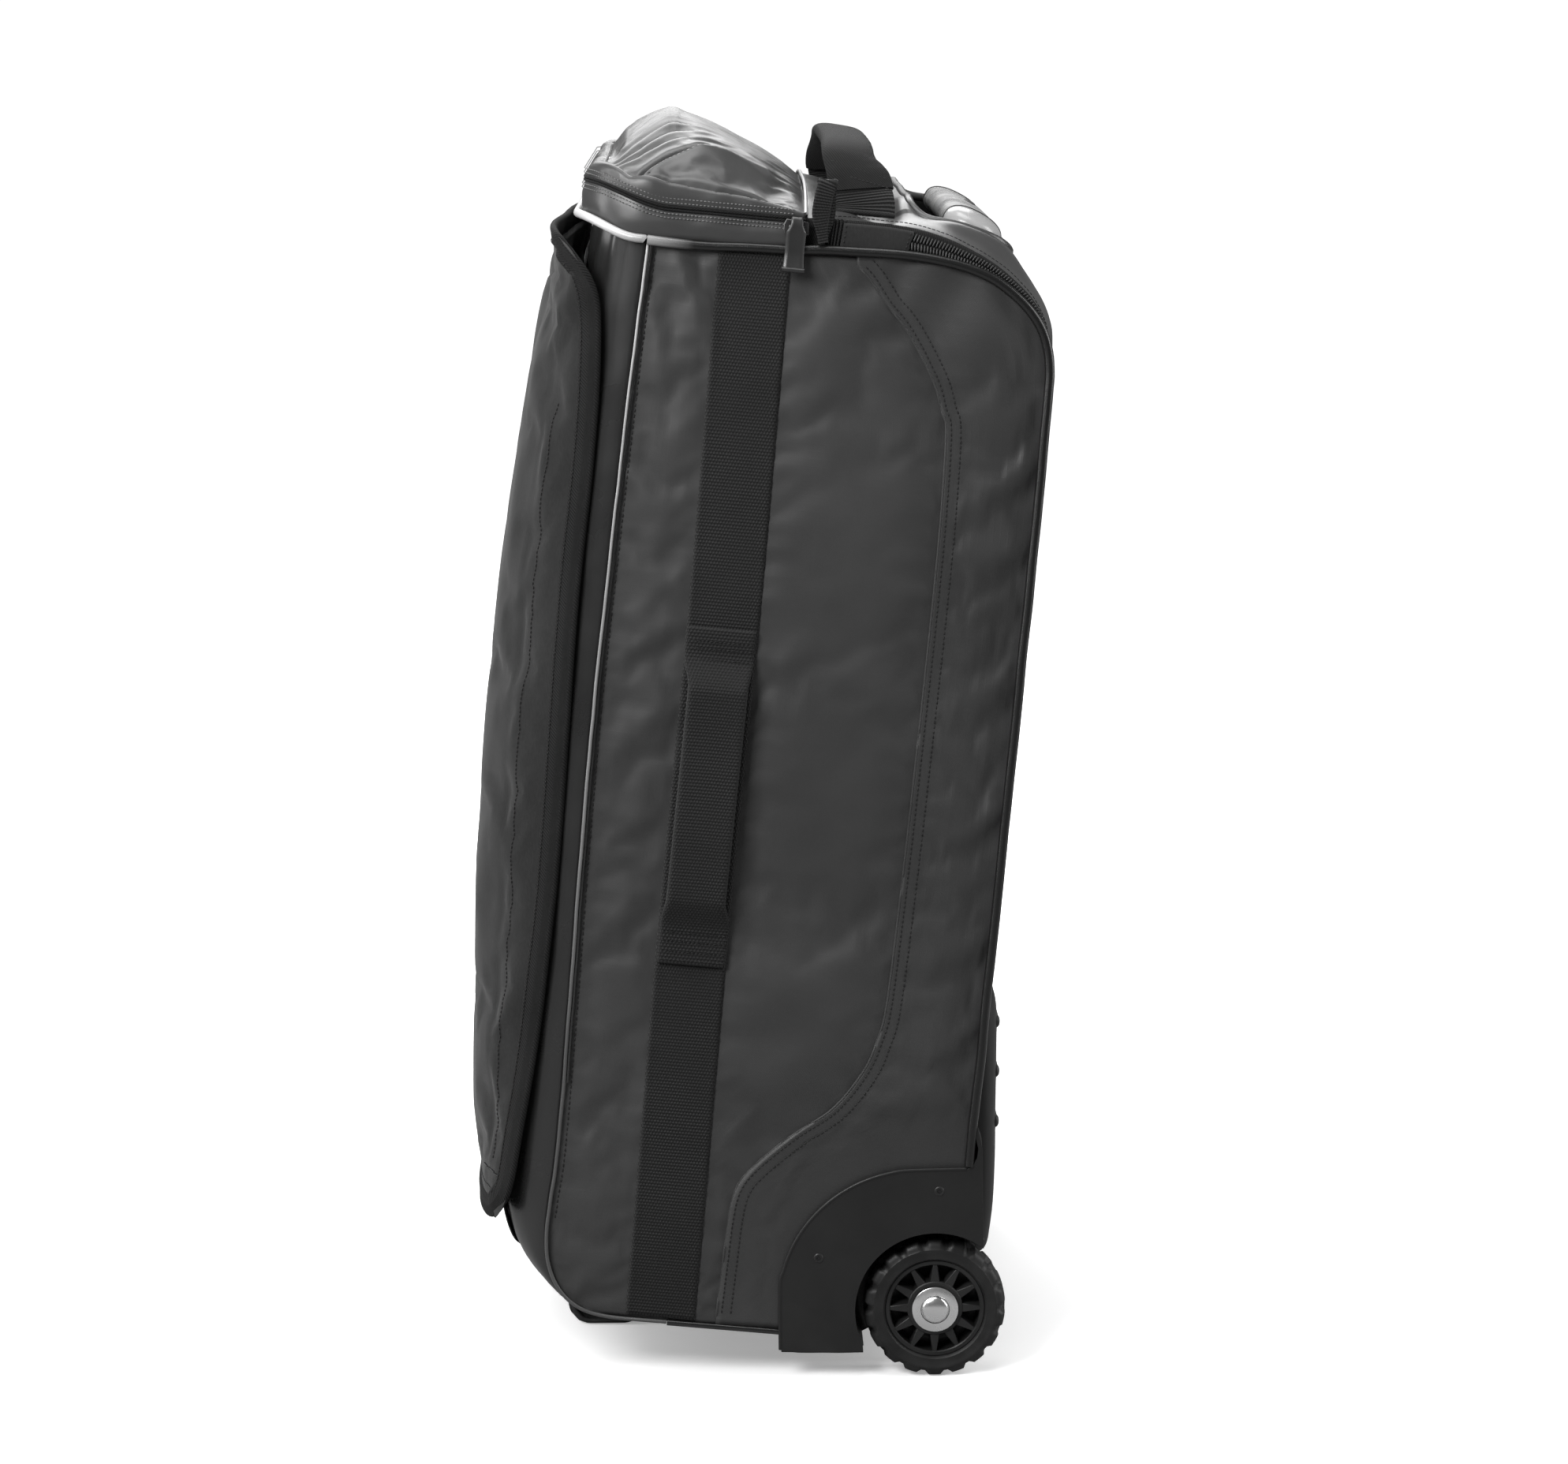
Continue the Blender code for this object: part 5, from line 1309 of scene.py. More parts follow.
def top_flap_points():
    """The stuffed lid of the top pocket: a rolled wall over the zip, a tucked corner, folds over the hump."""
    rows, columns = 110, 210
    v = np.linspace(0, 1, rows)[::-1]
    y = PLAN_FRONT + (-0.150 - PLAN_FRONT) * v**1.35
    past = np.clip(PLAN_CORNER - (y - PLAN_FRONT), 0, PLAN_CORNER)
    reach = TOP_HALF - PLAN_CORNER + np.sqrt(np.maximum(PLAN_CORNER**2 - past**2, 0))
    s = np.linspace(-1, 1, columns)
    a = np.sin(np.pi / 2 * s) * 0.75 + s * 0.25
    x = reach[:, None] * a[None]
    yy = np.broadcast_to(y[:, None], x.shape)
    rim = zip_height(yy) + 0.0012
    ax = np.abs(x)
    left = x < 0
    gap, facing = inside_plan(x, yy)
    gap = np.maximum(gap, 0)

    fold_x = curve_at(RIDGE, yy) - 0.010 * left
    fold_z = curve_at(RIDGE, yy, 2) - 0.0025 * left
    middle = curve_at(FLAP_MIDDLE, yy)
    wall_top = rim + curve_at(WALL, yy)
    # From the crease the cloth rises flat to the fold, then on over the hump to the middle.
    out_share = np.clip((ax - fold_x) / np.maximum(0.1765 - fold_x, 0.004), 0, 1)
    outer = fold_z + (wall_top - 0.0005 - fold_z) * out_share**1.15
    in_share = np.clip((fold_x - ax) / fold_x, 0, 1)
    over = fold_z + (middle - fold_z) * np.sin(np.pi / 2 * in_share) ** 0.9
    top = np.where(ax > fold_x, outer, over)
    # A dark groove lies just behind the fold, between the tuck and the peak.
    groove = smoothstep(-0.259, -0.250, yy) * (1 - smoothstep(-0.222, -0.206, yy))
    top = top - 0.0066 * groove * np.exp(-(((fold_x - ax - 0.0050) / 0.0034) ** 2))
    top = top + 0.0012 * groove * np.exp(-(((fold_x - ax) / 0.0022) ** 2))
    hollow = smoothstep(-0.250, -0.225, yy) * (1 - smoothstep(-0.175, -0.155, yy))
    top = top - 0.0030 * hollow * np.exp(-(((out_share - 0.55) / 0.30) ** 2)) * (ax > fold_x)
    # Folds fan out from the tuck, over the hump and away to the back.
    strength = np.where(left, 0.48, 0.70) * (1 - 0.72 * smoothstep(-0.232, -0.185, yy))
    strength = strength * (1 - 0.9 * smoothstep(-0.172, -0.154, yy))
    for k, (x0, x1, x2, x3, height, width) in enumerate(((0.150, 0.140, 0.120, 0.095, 0.0030, 0.0044),
                                                         (0.137, 0.120, 0.096, 0.070, 0.0035, 0.0046),
                                                         (0.120, 0.096, 0.072, 0.046, 0.0032, 0.0044),
                                                         (0.096, 0.070, 0.048, 0.026, 0.0028, 0.0044),
                                                         (0.066, 0.044, 0.026, 0.008, 0.0023, 0.0048),
                                                         (0.030, 0.016, 0.004, -0.008, 0.0018, 0.0052))):
        start, end = -0.272 + 0.002 * k, -0.158 + 0.003 * k
        line = ((x0, start), (x1, -0.246), (x2, -0.212), (x3, end))
        top = top + strength * ridge(ax, yy, line, width, height)
        shifted = [(px - 0.0064, py) for px, py in line]
        top = top - strength * 0.9 * ridge(ax, yy, shifted, width, height)
    width = 0.0030 + 0.0075 * facing**2
    climb = smoothstep(0, 1, gap / width)
    z = rim + (wall_top - rim) * climb
    on_top = smoothstep(0, 1, (gap - width) / (0.0050 + 0.006 * facing))
    z = z + (top - wall_top) * on_top
    # The wall rolls outwards and the cloth is pinched in behind it.
    side_crease = (1 - facing) * smoothstep(-0.262, -0.240, yy) * (1 - smoothstep(-0.185, -0.155, yy))
    z = z - 0.0036 * side_crease * np.exp(-(((gap - 0.0062) / 0.0022) ** 2))
    tuck = np.exp(-(((x - 0.170) / 0.007) ** 2) - ((yy + 0.2555) / 0.006) ** 2)
    tuck = tuck + np.exp(-(((x + 0.168) / 0.007) ** 2) - ((yy + 0.252) / 0.006) ** 2)
    z = z - 0.0050 * tuck
    # The front hem is a shallow step.
    hem = facing * np.exp(-(((gap - 0.0112) / 0.0011) ** 2))
    z = z - 0.0015 * hem
    points = np.stack([x, yy, z], axis=-1)
    held = smoothstep(0, 0.006, gap)
    z = z + held * 0.0010 * smooth_noise(points * (1, 1, 0.3), 26.0, 6.0, 3)
    roll = 0.0032 * np.sin(np.pi * np.clip(gap / (width + 0.001), 0, 1))
    roll = roll * (0.9 + 0.5 * smooth_noise(points, 30.0, 2.0))
    push_x = roll * (1 - facing) * np.sign(x)
    push_y = -roll * facing
    return np.stack([x + push_x, yy + push_y, z], axis=-1)


def ridge(p, q, knots, width, height):
    """A smooth ridge along a polyline on a flat panel."""
    line = spline(knots, 40)
    distance = np.full(np.shape(p), 9.0)
    for a, b in zip(line, line[1:]):
        along = b - a
        t = np.clip(((p - a[0]) * along[0] + (q - a[1]) * along[1]) / max(along @ along, 1e-12), 0, 1)
        distance = np.minimum(distance, np.hypot(p - a[0] - t * along[0], q - a[1] - t * along[1]))
    return height * np.exp(-((distance / width) ** 2))


def top_flap():
    points = top_flap_points()
    piece = panel("top_flap_cloth", points, TOP_CLOTH, 0.0012, inside=(0, -0.22, 0.60))
    relax(piece, grid_pins(*points.shape[:2], low=1, high=3, first=3, last=3, fade=6).ravel(), 0.5, 0.010,
          0.0035, 0.6)
    give(piece, "top_flap", "tarpaulin", "top_flap")
    skin = tree_of((piece,))
    # A fine dark line where the front panel is hemmed on to the top.
    line = []
    for px, py in plan_path(0.0112, back=-0.262, count=160):
        hit = skin.ray_cast(Vector((px, py, 0.85)), Vector((0, 0, -1)))[0]
        if hit is not None:
            line.append((hit.x, hit.y, hit.z + 0.0001))
    line = np.array(line)
    for _ in range(3):
        line[1:-1] = (line[:-2] + 2 * line[1:-1] + line[2:]) / 4
    give(sweep("top_front_hem", line, round_section(0.0007, 8), THREAD), "top_flap", "tarpaulin")


HUMP_MIDDLE = [(-0.1500, 0.7370), (-0.1380, 0.7350), (-0.1200, 0.7320), (-0.1040, 0.7300),
               (-0.0900, 0.7335), (-0.0780, 0.7350), (-0.0610, 0.7310), (-0.0320, 0.7180),
               (-0.0160, 0.7060), (0.0020, 0.6850), (0.0100, 0.6700), (0.0135, 0.6550), (0.0130, 0.6200),
               (0.0110, 0.5000), (0.0105, 0.3000), (0.0100, 0.1200), (0.0080, 0.0260)]
HUMP_EDGE = [(-0.1500, 0.7205), (-0.1380, 0.7215), (-0.1200, 0.7225), (-0.1040, 0.7225), (-0.0900, 0.7220),
             (-0.0780, 0.7205), (-0.0610, 0.7165), (-0.0400, 0.7080), (-0.0240, 0.6990), (-0.0080, 0.6850),
             (0.0010, 0.6710), (0.0050, 0.6560), (0.0065, 0.6200), (0.0060, 0.5000), (0.0060, 0.3000),
             (0.0060, 0.1200), (0.0060, 0.0260)]
SLOT = (-0.140, 0.140, -0.086, -0.021)


def hump_points():
    """Points and normals of the rear top panel, over the hump and down the back."""
    columns = 130
    middle = spline(HUMP_MIDDLE, 400)
    middle_s = lengths(middle)
    order = [np.argmin(np.hypot(*(middle - k).T)) for k in np.asarray(HUMP_MIDDLE)]
    edge_knots = np.asarray(HUMP_EDGE)
    edge = np.column_stack([np.interp(np.arange(400), order, edge_knots[:, k]) for k in range(2)])
    for _ in range(12):
        edge[1:-1] = (edge[:-2] + 2 * edge[1:-1] + edge[2:]) / 4
    # Crowd rows over the top, where the hump and the slot are.
    density = np.where(middle[:, 1] > 0.60, 3.0, 1.0)
    warped = np.concatenate([[0], np.cumsum(np.diff(middle_s) * (density[1:] + density[:-1]) / 2)])
    rows = 230
    at = np.interp(np.linspace(0, warped[-1], rows), warped, np.arange(400))
    middle = np.column_stack([np.interp(at, np.arange(400), middle[:, k]) for k in range(2)])
    edge = np.column_stack([np.interp(at, np.arange(400), edge[:, k]) for k in range(2)])
    s = np.linspace(-1, 1, columns)
    a = 0.7 * np.sin(np.pi / 2 * s) + 0.3 * s
    crown = (1 - np.abs(a) ** 3.4)
    x = 0.1785 * a
    points = np.zeros((rows, columns, 3))
    points[..., 0] = x
    points[..., 1:] = edge[:, None] + (middle - edge)[:, None] * crown[None, :, None]
    normal = grid_normals(points)
    normal = np.where((normal[..., 1] + normal[..., 2])[..., None] < 0, -normal, normal)
    # The cloth arches up round the slot's ends and sinks between them and the handle's feet.
    y, ax = points[..., 1], np.abs(points[..., 0])
    on_top = smoothstep(0.64, 0.69, points[..., 2])

    def swell(height, x0, x_width, y0, y_width):
        near_x = np.exp(-(((ax - x0) / x_width) ** 2))
        near_y = np.exp(-(((y - y0) / y_width) ** 2))
        return on_top * height * near_x * near_y

    rise = swell(0.0040, 0.149, 0.0085, -0.050, 0.024) + swell(0.0050, 0.136, 0.020, -0.030, 0.018)
    rise = rise - swell(0.0030, 0.140, 0.015, -0.074, 0.012)
    rise = rise + swell(0.0030, 0.120, 0.030, -0.087, 0.0060) - swell(0.0060, 0.150, 0.018, -0.104, 0.013)
    rise = rise + on_top * 0.0016 * np.exp(-(((y + 0.090) / 0.006) ** 2)) * (ax < 0.142)
    rise = rise + 0.0011 * smooth_noise(points, 12.0, 8.0, 3) * (1 - np.abs(a) ** 8)
    for x0, side in ((0.179, 1), (-0.179, -1)):
        for level, reach in ((0.60, 0.045), (0.545, 0.038), (0.47, 0.045), (0.40, 0.03), (0.33, 0.04)):
            crease = fold(points[..., 0], points[..., 2], (x0, level), (x0 - side * reach, level - 0.03),
                          0.009, 0.0018)
            rise = rise + (1 - on_top) * crease
    return points + normal * rise[..., None], normal


def in_slot(centre):
    _, right, low, high = SLOT
    if centre[2] < 0.69 or not low < centre[1] < high:
        return False
    radius = 0.020
    x = abs(centre[0])
    if x < right - radius:
        return True
    middle = min(max(centre[1], low + radius), high - radius)
    return math.hypot(x - (right - radius), centre[1] - middle) < radius


def rear_cloth():
    points, normal = hump_points()

    def clear(centre):
        return not in_slot(centre) and (abs(centre[0]) < 0.149 or clear_of_wheel(centre))

    piece = panel("rear_cloth", points, TOP_CLOTH, 0.0014, keep=clear)
    give(piece, "bag", "tarpaulin", "rear_top_panel", "back_panel")

    def on_hump(x, y):
        """Height of the hump at (x, y)."""
        flat = points[:110].reshape(-1, 3)
        near = np.argsort((flat[:, 0] - x) ** 2 + (flat[:, 1] - y) ** 2)[:4]
        weight = 1 / (np.hypot(flat[near, 0] - x, flat[near, 1] - y) + 1e-5)
        return float((flat[near, 2] * weight).sum() / weight.sum())

    left, right, low, high = SLOT
    loop = rounded_loop((left, low), (right, high), 0.020, 8)
    ring = np.array([(x, y, on_hump(x, y) - 0.0008) for x, y in loop])
    for _ in range(4):
        ring = (np.roll(ring, 1, axis=0) + 2 * ring + np.roll(ring, -1, axis=0)) / 4
    give(sweep("slot_rim", ring, round_section(0.0030, 12), TOP_CLOTH, closed=True), "bag", "tarpaulin")
    # The tray under the grip: a wall that drops from the rim and a floor.
    centre = np.array((0, (low + high) / 2, 0.6965))
    top = ring + unit((centre - ring) * (1, 1, 0)) * 0.0010
    sunk = np.column_stack([top[:, :2], np.full(len(top), centre[2])])
    wall = np.stack([top + (sunk - top) * t for t in np.linspace(0, 1, 7)], axis=0)
    tray = np.stack([sunk + (centre - sunk) * t for t in np.linspace(0.12, 0.97, 10)], axis=0)
    shape = np.concatenate([wall, tray], axis=0)
    shape = np.concatenate([shape, shape[:, :1]], axis=1)
    give(panel("handle_tray", shape, MOULDED, 0.0010, inside=(0, centre[1], 0.745), inward=True), "bag",
         "moulded_plastic", "handle_well")

    seam = np.array([(x, -0.1500, 0) for x in np.linspace(-0.176, 0.176, 90)])
    seam[:, 2] = 0.7370 - 0.0150 * np.abs(seam[:, 0] / 0.1785) ** 3.4 + 0.0012
    give(sweep("lateral_piping", seam, round_section(0.0011, 10), REFLECTIVE), "bag", "reflective_piping",
         "top_seam_piping")
    for sign in (1, -1):
        column = 1 if sign < 0 else -2
        hem = points[8:120, column] + normal[8:120, column] * 0.0003 + (-sign * 0.0030, 0, 0.0016)
        name = "right" if sign > 0 else "left"
        give(stitches(f"hump_hem_stitch_{name}", hem, normal[8:120, column] + (sign, 0, 0), pitch=2.8 * MM),
             "bag", "tarpaulin")


def rear_band():
    """The strip between the side piping and the hump: zip garage, elastic and exposed coil."""
    for end, sign in SIDES:
        low = np.array([(-0.1522, 0.7035), (-0.128, 0.7045), (-0.100, 0.7055), (-0.080, 0.7045),
                        (-0.060, 0.7015), (-0.040, 0.6970), (-0.024, 0.6895), (-0.010, 0.6790),
                        (-0.001, 0.6670), (0.004, 0.655)])
        high = np.array([(-0.1522, 0.7215), (-0.128, 0.7225), (-0.100, 0.7225), (-0.080, 0.7205),
                         (-0.060, 0.7160), (-0.040, 0.7080), (-0.024, 0.6985), (-0.008, 0.6850),
                         (0.001, 0.6710), (0.0050, 0.656)])
        count = 110
        low, high = spline(low, count), spline(high, count)
        x_low, x_high = 0.1812, 0.1788
        t = np.linspace(0, 1, 9)[:, None, None]
        yz = low[None] + (high - low)[None] * t
        x = sign * (x_low + (x_high - x_low) * t[..., 0] + 0.0006 * np.sin(np.pi * t[..., 0]))
        base = np.concatenate([np.broadcast_to(x, yz.shape[:2])[..., None], yz], axis=-1)
        give(panel(f"rear_zip_tape_{end}", base, TWILL, 0.0008), "bag", "zip_coil")
        middle = base[4]
        out = np.array((sign, 0, 0.18))
        start = int(np.argmax(middle[:, 1] > -0.086))
        width = np.linalg.norm(base[-1] - base[0], axis=1) * 0.66
        coil = coil_teeth(f"rear_zip_coil_{end}", middle[start:-4] + out * 0.0006, out, width[start:-4],
                          pitch=1.9 * MM, radius=0.62 * MM, slant=0.18)
        give(coil, "bag", "zip_coil")

        # Garage: a folded twill tape that covers the zip's end, with a hem at each side.
        first, last = int(np.argmax(middle[:, 1] > -0.128)), int(np.argmax(middle[:, 1] > -0.086))
        garage = base[:, first : last + 1] + (sign * 0.0016, 0, 0)
        garage = garage + (0, 0, 1) * np.linspace(0.0, -0.0018, 9)[:, None, None]
        give(panel(f"zip_garage_{end}", garage, NYLON, 0.0014), "bag", "nylon")
        for k, column in enumerate((1, -2)):
            line = garage[1:-1, column]
            give(stitches(f"garage_stitch_{end}_{k}", line + (sign * 0.0002, 0, 0), (sign, 0, 0),
                          pitch=2.2 * MM, length=1.5 * MM), "bag", "nylon")
        # A gathered bit of elastic between the garage and the pull loop.
        first, last = int(np.argmax(middle[:, 1] > -0.1385)), int(np.argmax(middle[:, 1] > -0.1275))
        bit = even_columns(base[:, first : last + 1], 40) + (sign * 0.0012, 0, 0)
        ripple = 0.0009 * np.sin(np.linspace(0, 5 * 2 * np.pi, bit.shape[1]))
        bit = bit + np.stack([sign * ripple, 0 * ripple, 0.4 * ripple], axis=-1)[None]
        give(panel(f"elastic_bit_{end}", bit, TWILL, 0.0012), "bag", "nylon")


def even_columns(points, count):
    at = np.linspace(0, points.shape[1] - 1, count)
    whole = np.arange(points.shape[1])
    return np.stack([np.stack([np.interp(at, whole, row[:, k]) for k in range(3)], axis=-1)
                     for row in points])


def loop_tab():
    """A looped bit of webbing, pinched where it is sewn in, standing beside the zip's end."""
    foot = np.array((0.1850, -0.1385, 0.7080))
    # Offset through the loop, height and lean to the front.
    path = spline([(0.0006, 0.000, 0.0), (0.0012, 0.008, -0.0020), (0.0026, 0.018, -0.0040),
                   (0.0030, 0.028, -0.0034), (0.0018, 0.0350, -0.0016), (0.0, 0.0368, -0.0004),
                   (-0.0018, 0.0345, 0.0006), (-0.0026, 0.026, 0.0012), (-0.0020, 0.014, 0.0018),
                   (-0.0008, 0.0, 0.0010)], 70)
    turn = np.radians(63)
    through = np.array((math.sin(turn), math.cos(turn), 0))
    points = foot + path[:, :1] * through + path[:, 1:2] * (0.03, 0, 1) + path[:, 2:] * (0, 1, 0)
    width = 0.55 + 0.45 * smoothstep(0.002, 0.020, path[:, 1])
    shape = tape_section(0.0125, 0.0014, edge=0.0002)
    section = np.array([shape * (w, 1) for w in width])
    piece = sweep("zip_loop", points, section, RIBBED, sides=(math.cos(turn), -math.sin(turn), 0.0))
    flip_if_inward(piece)
    give(piece, "bag", "webbing", "zip_loop_tab")


def piping():
    top = np.array([(0.1835, y, z) for y, z in PIPE_TOP if y > -0.246])
    x = 0.1835
    bend = 0.0430
    corner = arc((x - bend, -0.2880 + bend), bend, 0, -90, 12)
    corner3 = [(px, py, 0.7005 + 0.0095 * smoothstep(-0.250, -0.288, py)) for px, py in corner]
    front_half = [(px, -0.2880, 0.7100) for px in np.linspace(0.12, 0.0, 6)]
    for end, sign in SIDES:
        back = [(0.1828, 0.0075, 0.141), (0.1832, 0.0078, 0.300), (0.1836, 0.0076, 0.450),
                (0.1836, 0.0076, 0.560), (0.1835, 0.0066, 0.630)]
        run = np.vstack([back, top[::-1]]) * (sign, 1, 1)
        run = spline(run, 260)
        run = run + 0.00045 * np.stack([smooth_noise(run, 22.0, 1.0), smooth_noise(run, 22.0, 5.0),
                                        smooth_noise(run, 22.0, 9.0)], axis=-1)
        # The edge piping is painted pale where it nears the front: a painted reflection on the black gloss
        # cord.
        give(sweep(f"edge_piping_{end}", run, round_section(0.0030, 12), PAINTED_REFLECTION_EDGE_CORD), "bag", "piping",
             "edge_piping")
        # The cord's sewn-in welt closes the corner between the side and the back.
        welt = spline(np.array(back) * (sign, 1, 1), 120) - (sign * 0.0040, 0.0016, 0)
        give(sweep(f"edge_welt_{end}", welt, tape_section(0.0090, 0.0012), PIPING, sides=(1, 0, 0)), "bag",
             "piping")
        # The front corner's cord is painted pale: a painted reflection on the black gloss cord.
        glow = spline(np.vstack([[(x, -0.2450, 0.7000)], corner3, front_half]) * (sign, 1, 1), 120)
        give(sweep(f"front_piping_{end}", glow, round_section(0.0027, 12), PAINTED_REFLECTION_EDGE_CORD), "bag", "piping",
             "edge_piping")
        seam = FRONT_SEAM[:210]
        seam3 = np.column_stack([np.full(len(seam), sign * (SEAM_X + 0.0008)), seam])
        seam3 = seam3 + 0.0004 * np.stack([smooth_noise(seam3, 30.0, 2.0), smooth_noise(seam3, 30.0, 4.0),
                                           0 * seam3[:, 0]], axis=-1)
        thick = 0.0008 + 0.0004 * smoothstep(0.60, 0.30, seam[:, 1])
        section = np.array([round_section(r, 10) for r in thick])
        # The seam cord's paleness grows towards the top as painted light.
        give(sweep(f"front_seam_piping_{end}", seam3, section, PAINTED_LIGHT_SEAM_CORD), "bag", "reflective_piping",
             f"seam_piping_{end}")
        # A dark cord beside the upper seam piping: painted shade in the seam's gap.
        shade = seam3 + (-sign * 0.0003, 0.0021, 0)
        give(sweep(f"front_seam_painted_shade_{end}", shade[:150], round_section(0.0010, 8), PIPING), "bag",
             "piping")
        under = np.array([(sign * (SEAM_X + 0.0004), y, 0.0215)
                          for y in np.linspace(seam[-1][0], -0.075, 40)])
        give(sweep(f"bottom_piping_{end}", under, round_section(0.0019, 10), PIPING), "bag", "piping")


# ---------------------------------------------------------------- webbing and handles



def strap_grid(sign, y_low, y_high, z, lift, columns=23, seed=3.0):
    s = np.linspace(-1, 1, columns)
    y = (y_low + y_high) / 2 + (y_high - y_low) / 2 * s
    grid = np.stack(np.meshgrid(y, z), axis=-1)
    points = on_side(grid, sign, lift, seed)
    edge = 0.00035 * np.exp(-(((np.abs(s) - 0.93) / 0.05) ** 2)) - 0.0009 * smoothstep(0.965, 1.0,
            np.abs(s))
    points[..., 0] += sign * edge[None]
    return points


def side_webbing():
    middle = (STRAP[0] + STRAP[1]) / 2
    for end, sign in SIDES:
        rows = np.linspace(0.0245, 0.6995, 230)
        strap = strap_grid(sign, *STRAP, rows, 0.0017)
        sway = 0.0006 * np.sin(rows * 14 + 1.0)
        strap[..., 1] += sway[:, None]
        give(panel(f"side_strap_cloth_{end}", strap, WEBBING, 0.0015), "bag", "webbing",
             f"side_strap_{end}")

        # The carry handle: one length of webbing, sewn flat at both ends and folded narrow between.
        z = np.concatenate([np.linspace(0.256, 0.300, 26), np.linspace(0.304, 0.424, 50),
                            np.linspace(0.428, 0.468, 26)])
        up = smoothstep(0.277, 0.300, z) * (1 - smoothstep(0.430, 0.452, z))
        lift = 0.0034 + 0.0088 * up + 0.0006 * np.sin(z * 60) * up
        narrow = 0.0215 - 0.0030 * smoothstep(0.282, 0.300, z) * (1 - smoothstep(0.432, 0.450, z))
        s = np.linspace(-1, 1, 25)
        base = side_rise(np.full(len(z), middle), z, 3.0)
        roll = np.sqrt(np.clip(1 - np.abs(s) ** 14, 0, 1))
        points = np.zeros((len(z), len(s), 3))
        points[..., 1] = middle + narrow[:, None] * s[None] + 0.0012 * (up * np.sin((z - 0.36) * 12))[:,
                None]
        points[..., 2] = z[:, None]
        dish = 0.0010 * up[:, None] * (s[None] ** 2 - 0.4)
        thick = 0.0010 + 0.0022 * up[:, None]
        points[..., 0] = sign * (HALF + base[:, None] + lift[:, None] + dish + thick * roll[None])
        web = panel(f"carry_handle_{end}", points, WEBBING, 0.0)
        solid = web.modifiers.new("thickness", "SOLIDIFY")
        solid.thickness = 0.0030
        solid.offset = -1.0
        apply_modifiers(web)
        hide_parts(f"side_handle_{end}")
        bend_handle(web)
        for k, (z0, z1) in enumerate(((0.2585, 0.2640), (0.2705, 0.2760), (0.4555, 0.4600),
                                      (0.4490, 0.4515))):
            width = 0.0190 if k != 3 else 0.0175
            for j, level in enumerate((z0, z1) if k < 3 else (z0,)):
                lift_here = float(np.interp(level, z, lift)) + 0.0012
                line = np.array([(middle + t * width, level) for t in np.linspace(-1, 1, 14)])
                give(stitches(f"handle_stitch_{end}_{k}_{j}", on_side(line, sign, lift_here), (sign, 0, 0),
                              pitch=2.4 * MM, length=1.8 * MM), "bag", "webbing")


def bend_handle(web):
    """Bakes the handle's placement into its mesh."""
    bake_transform(web)


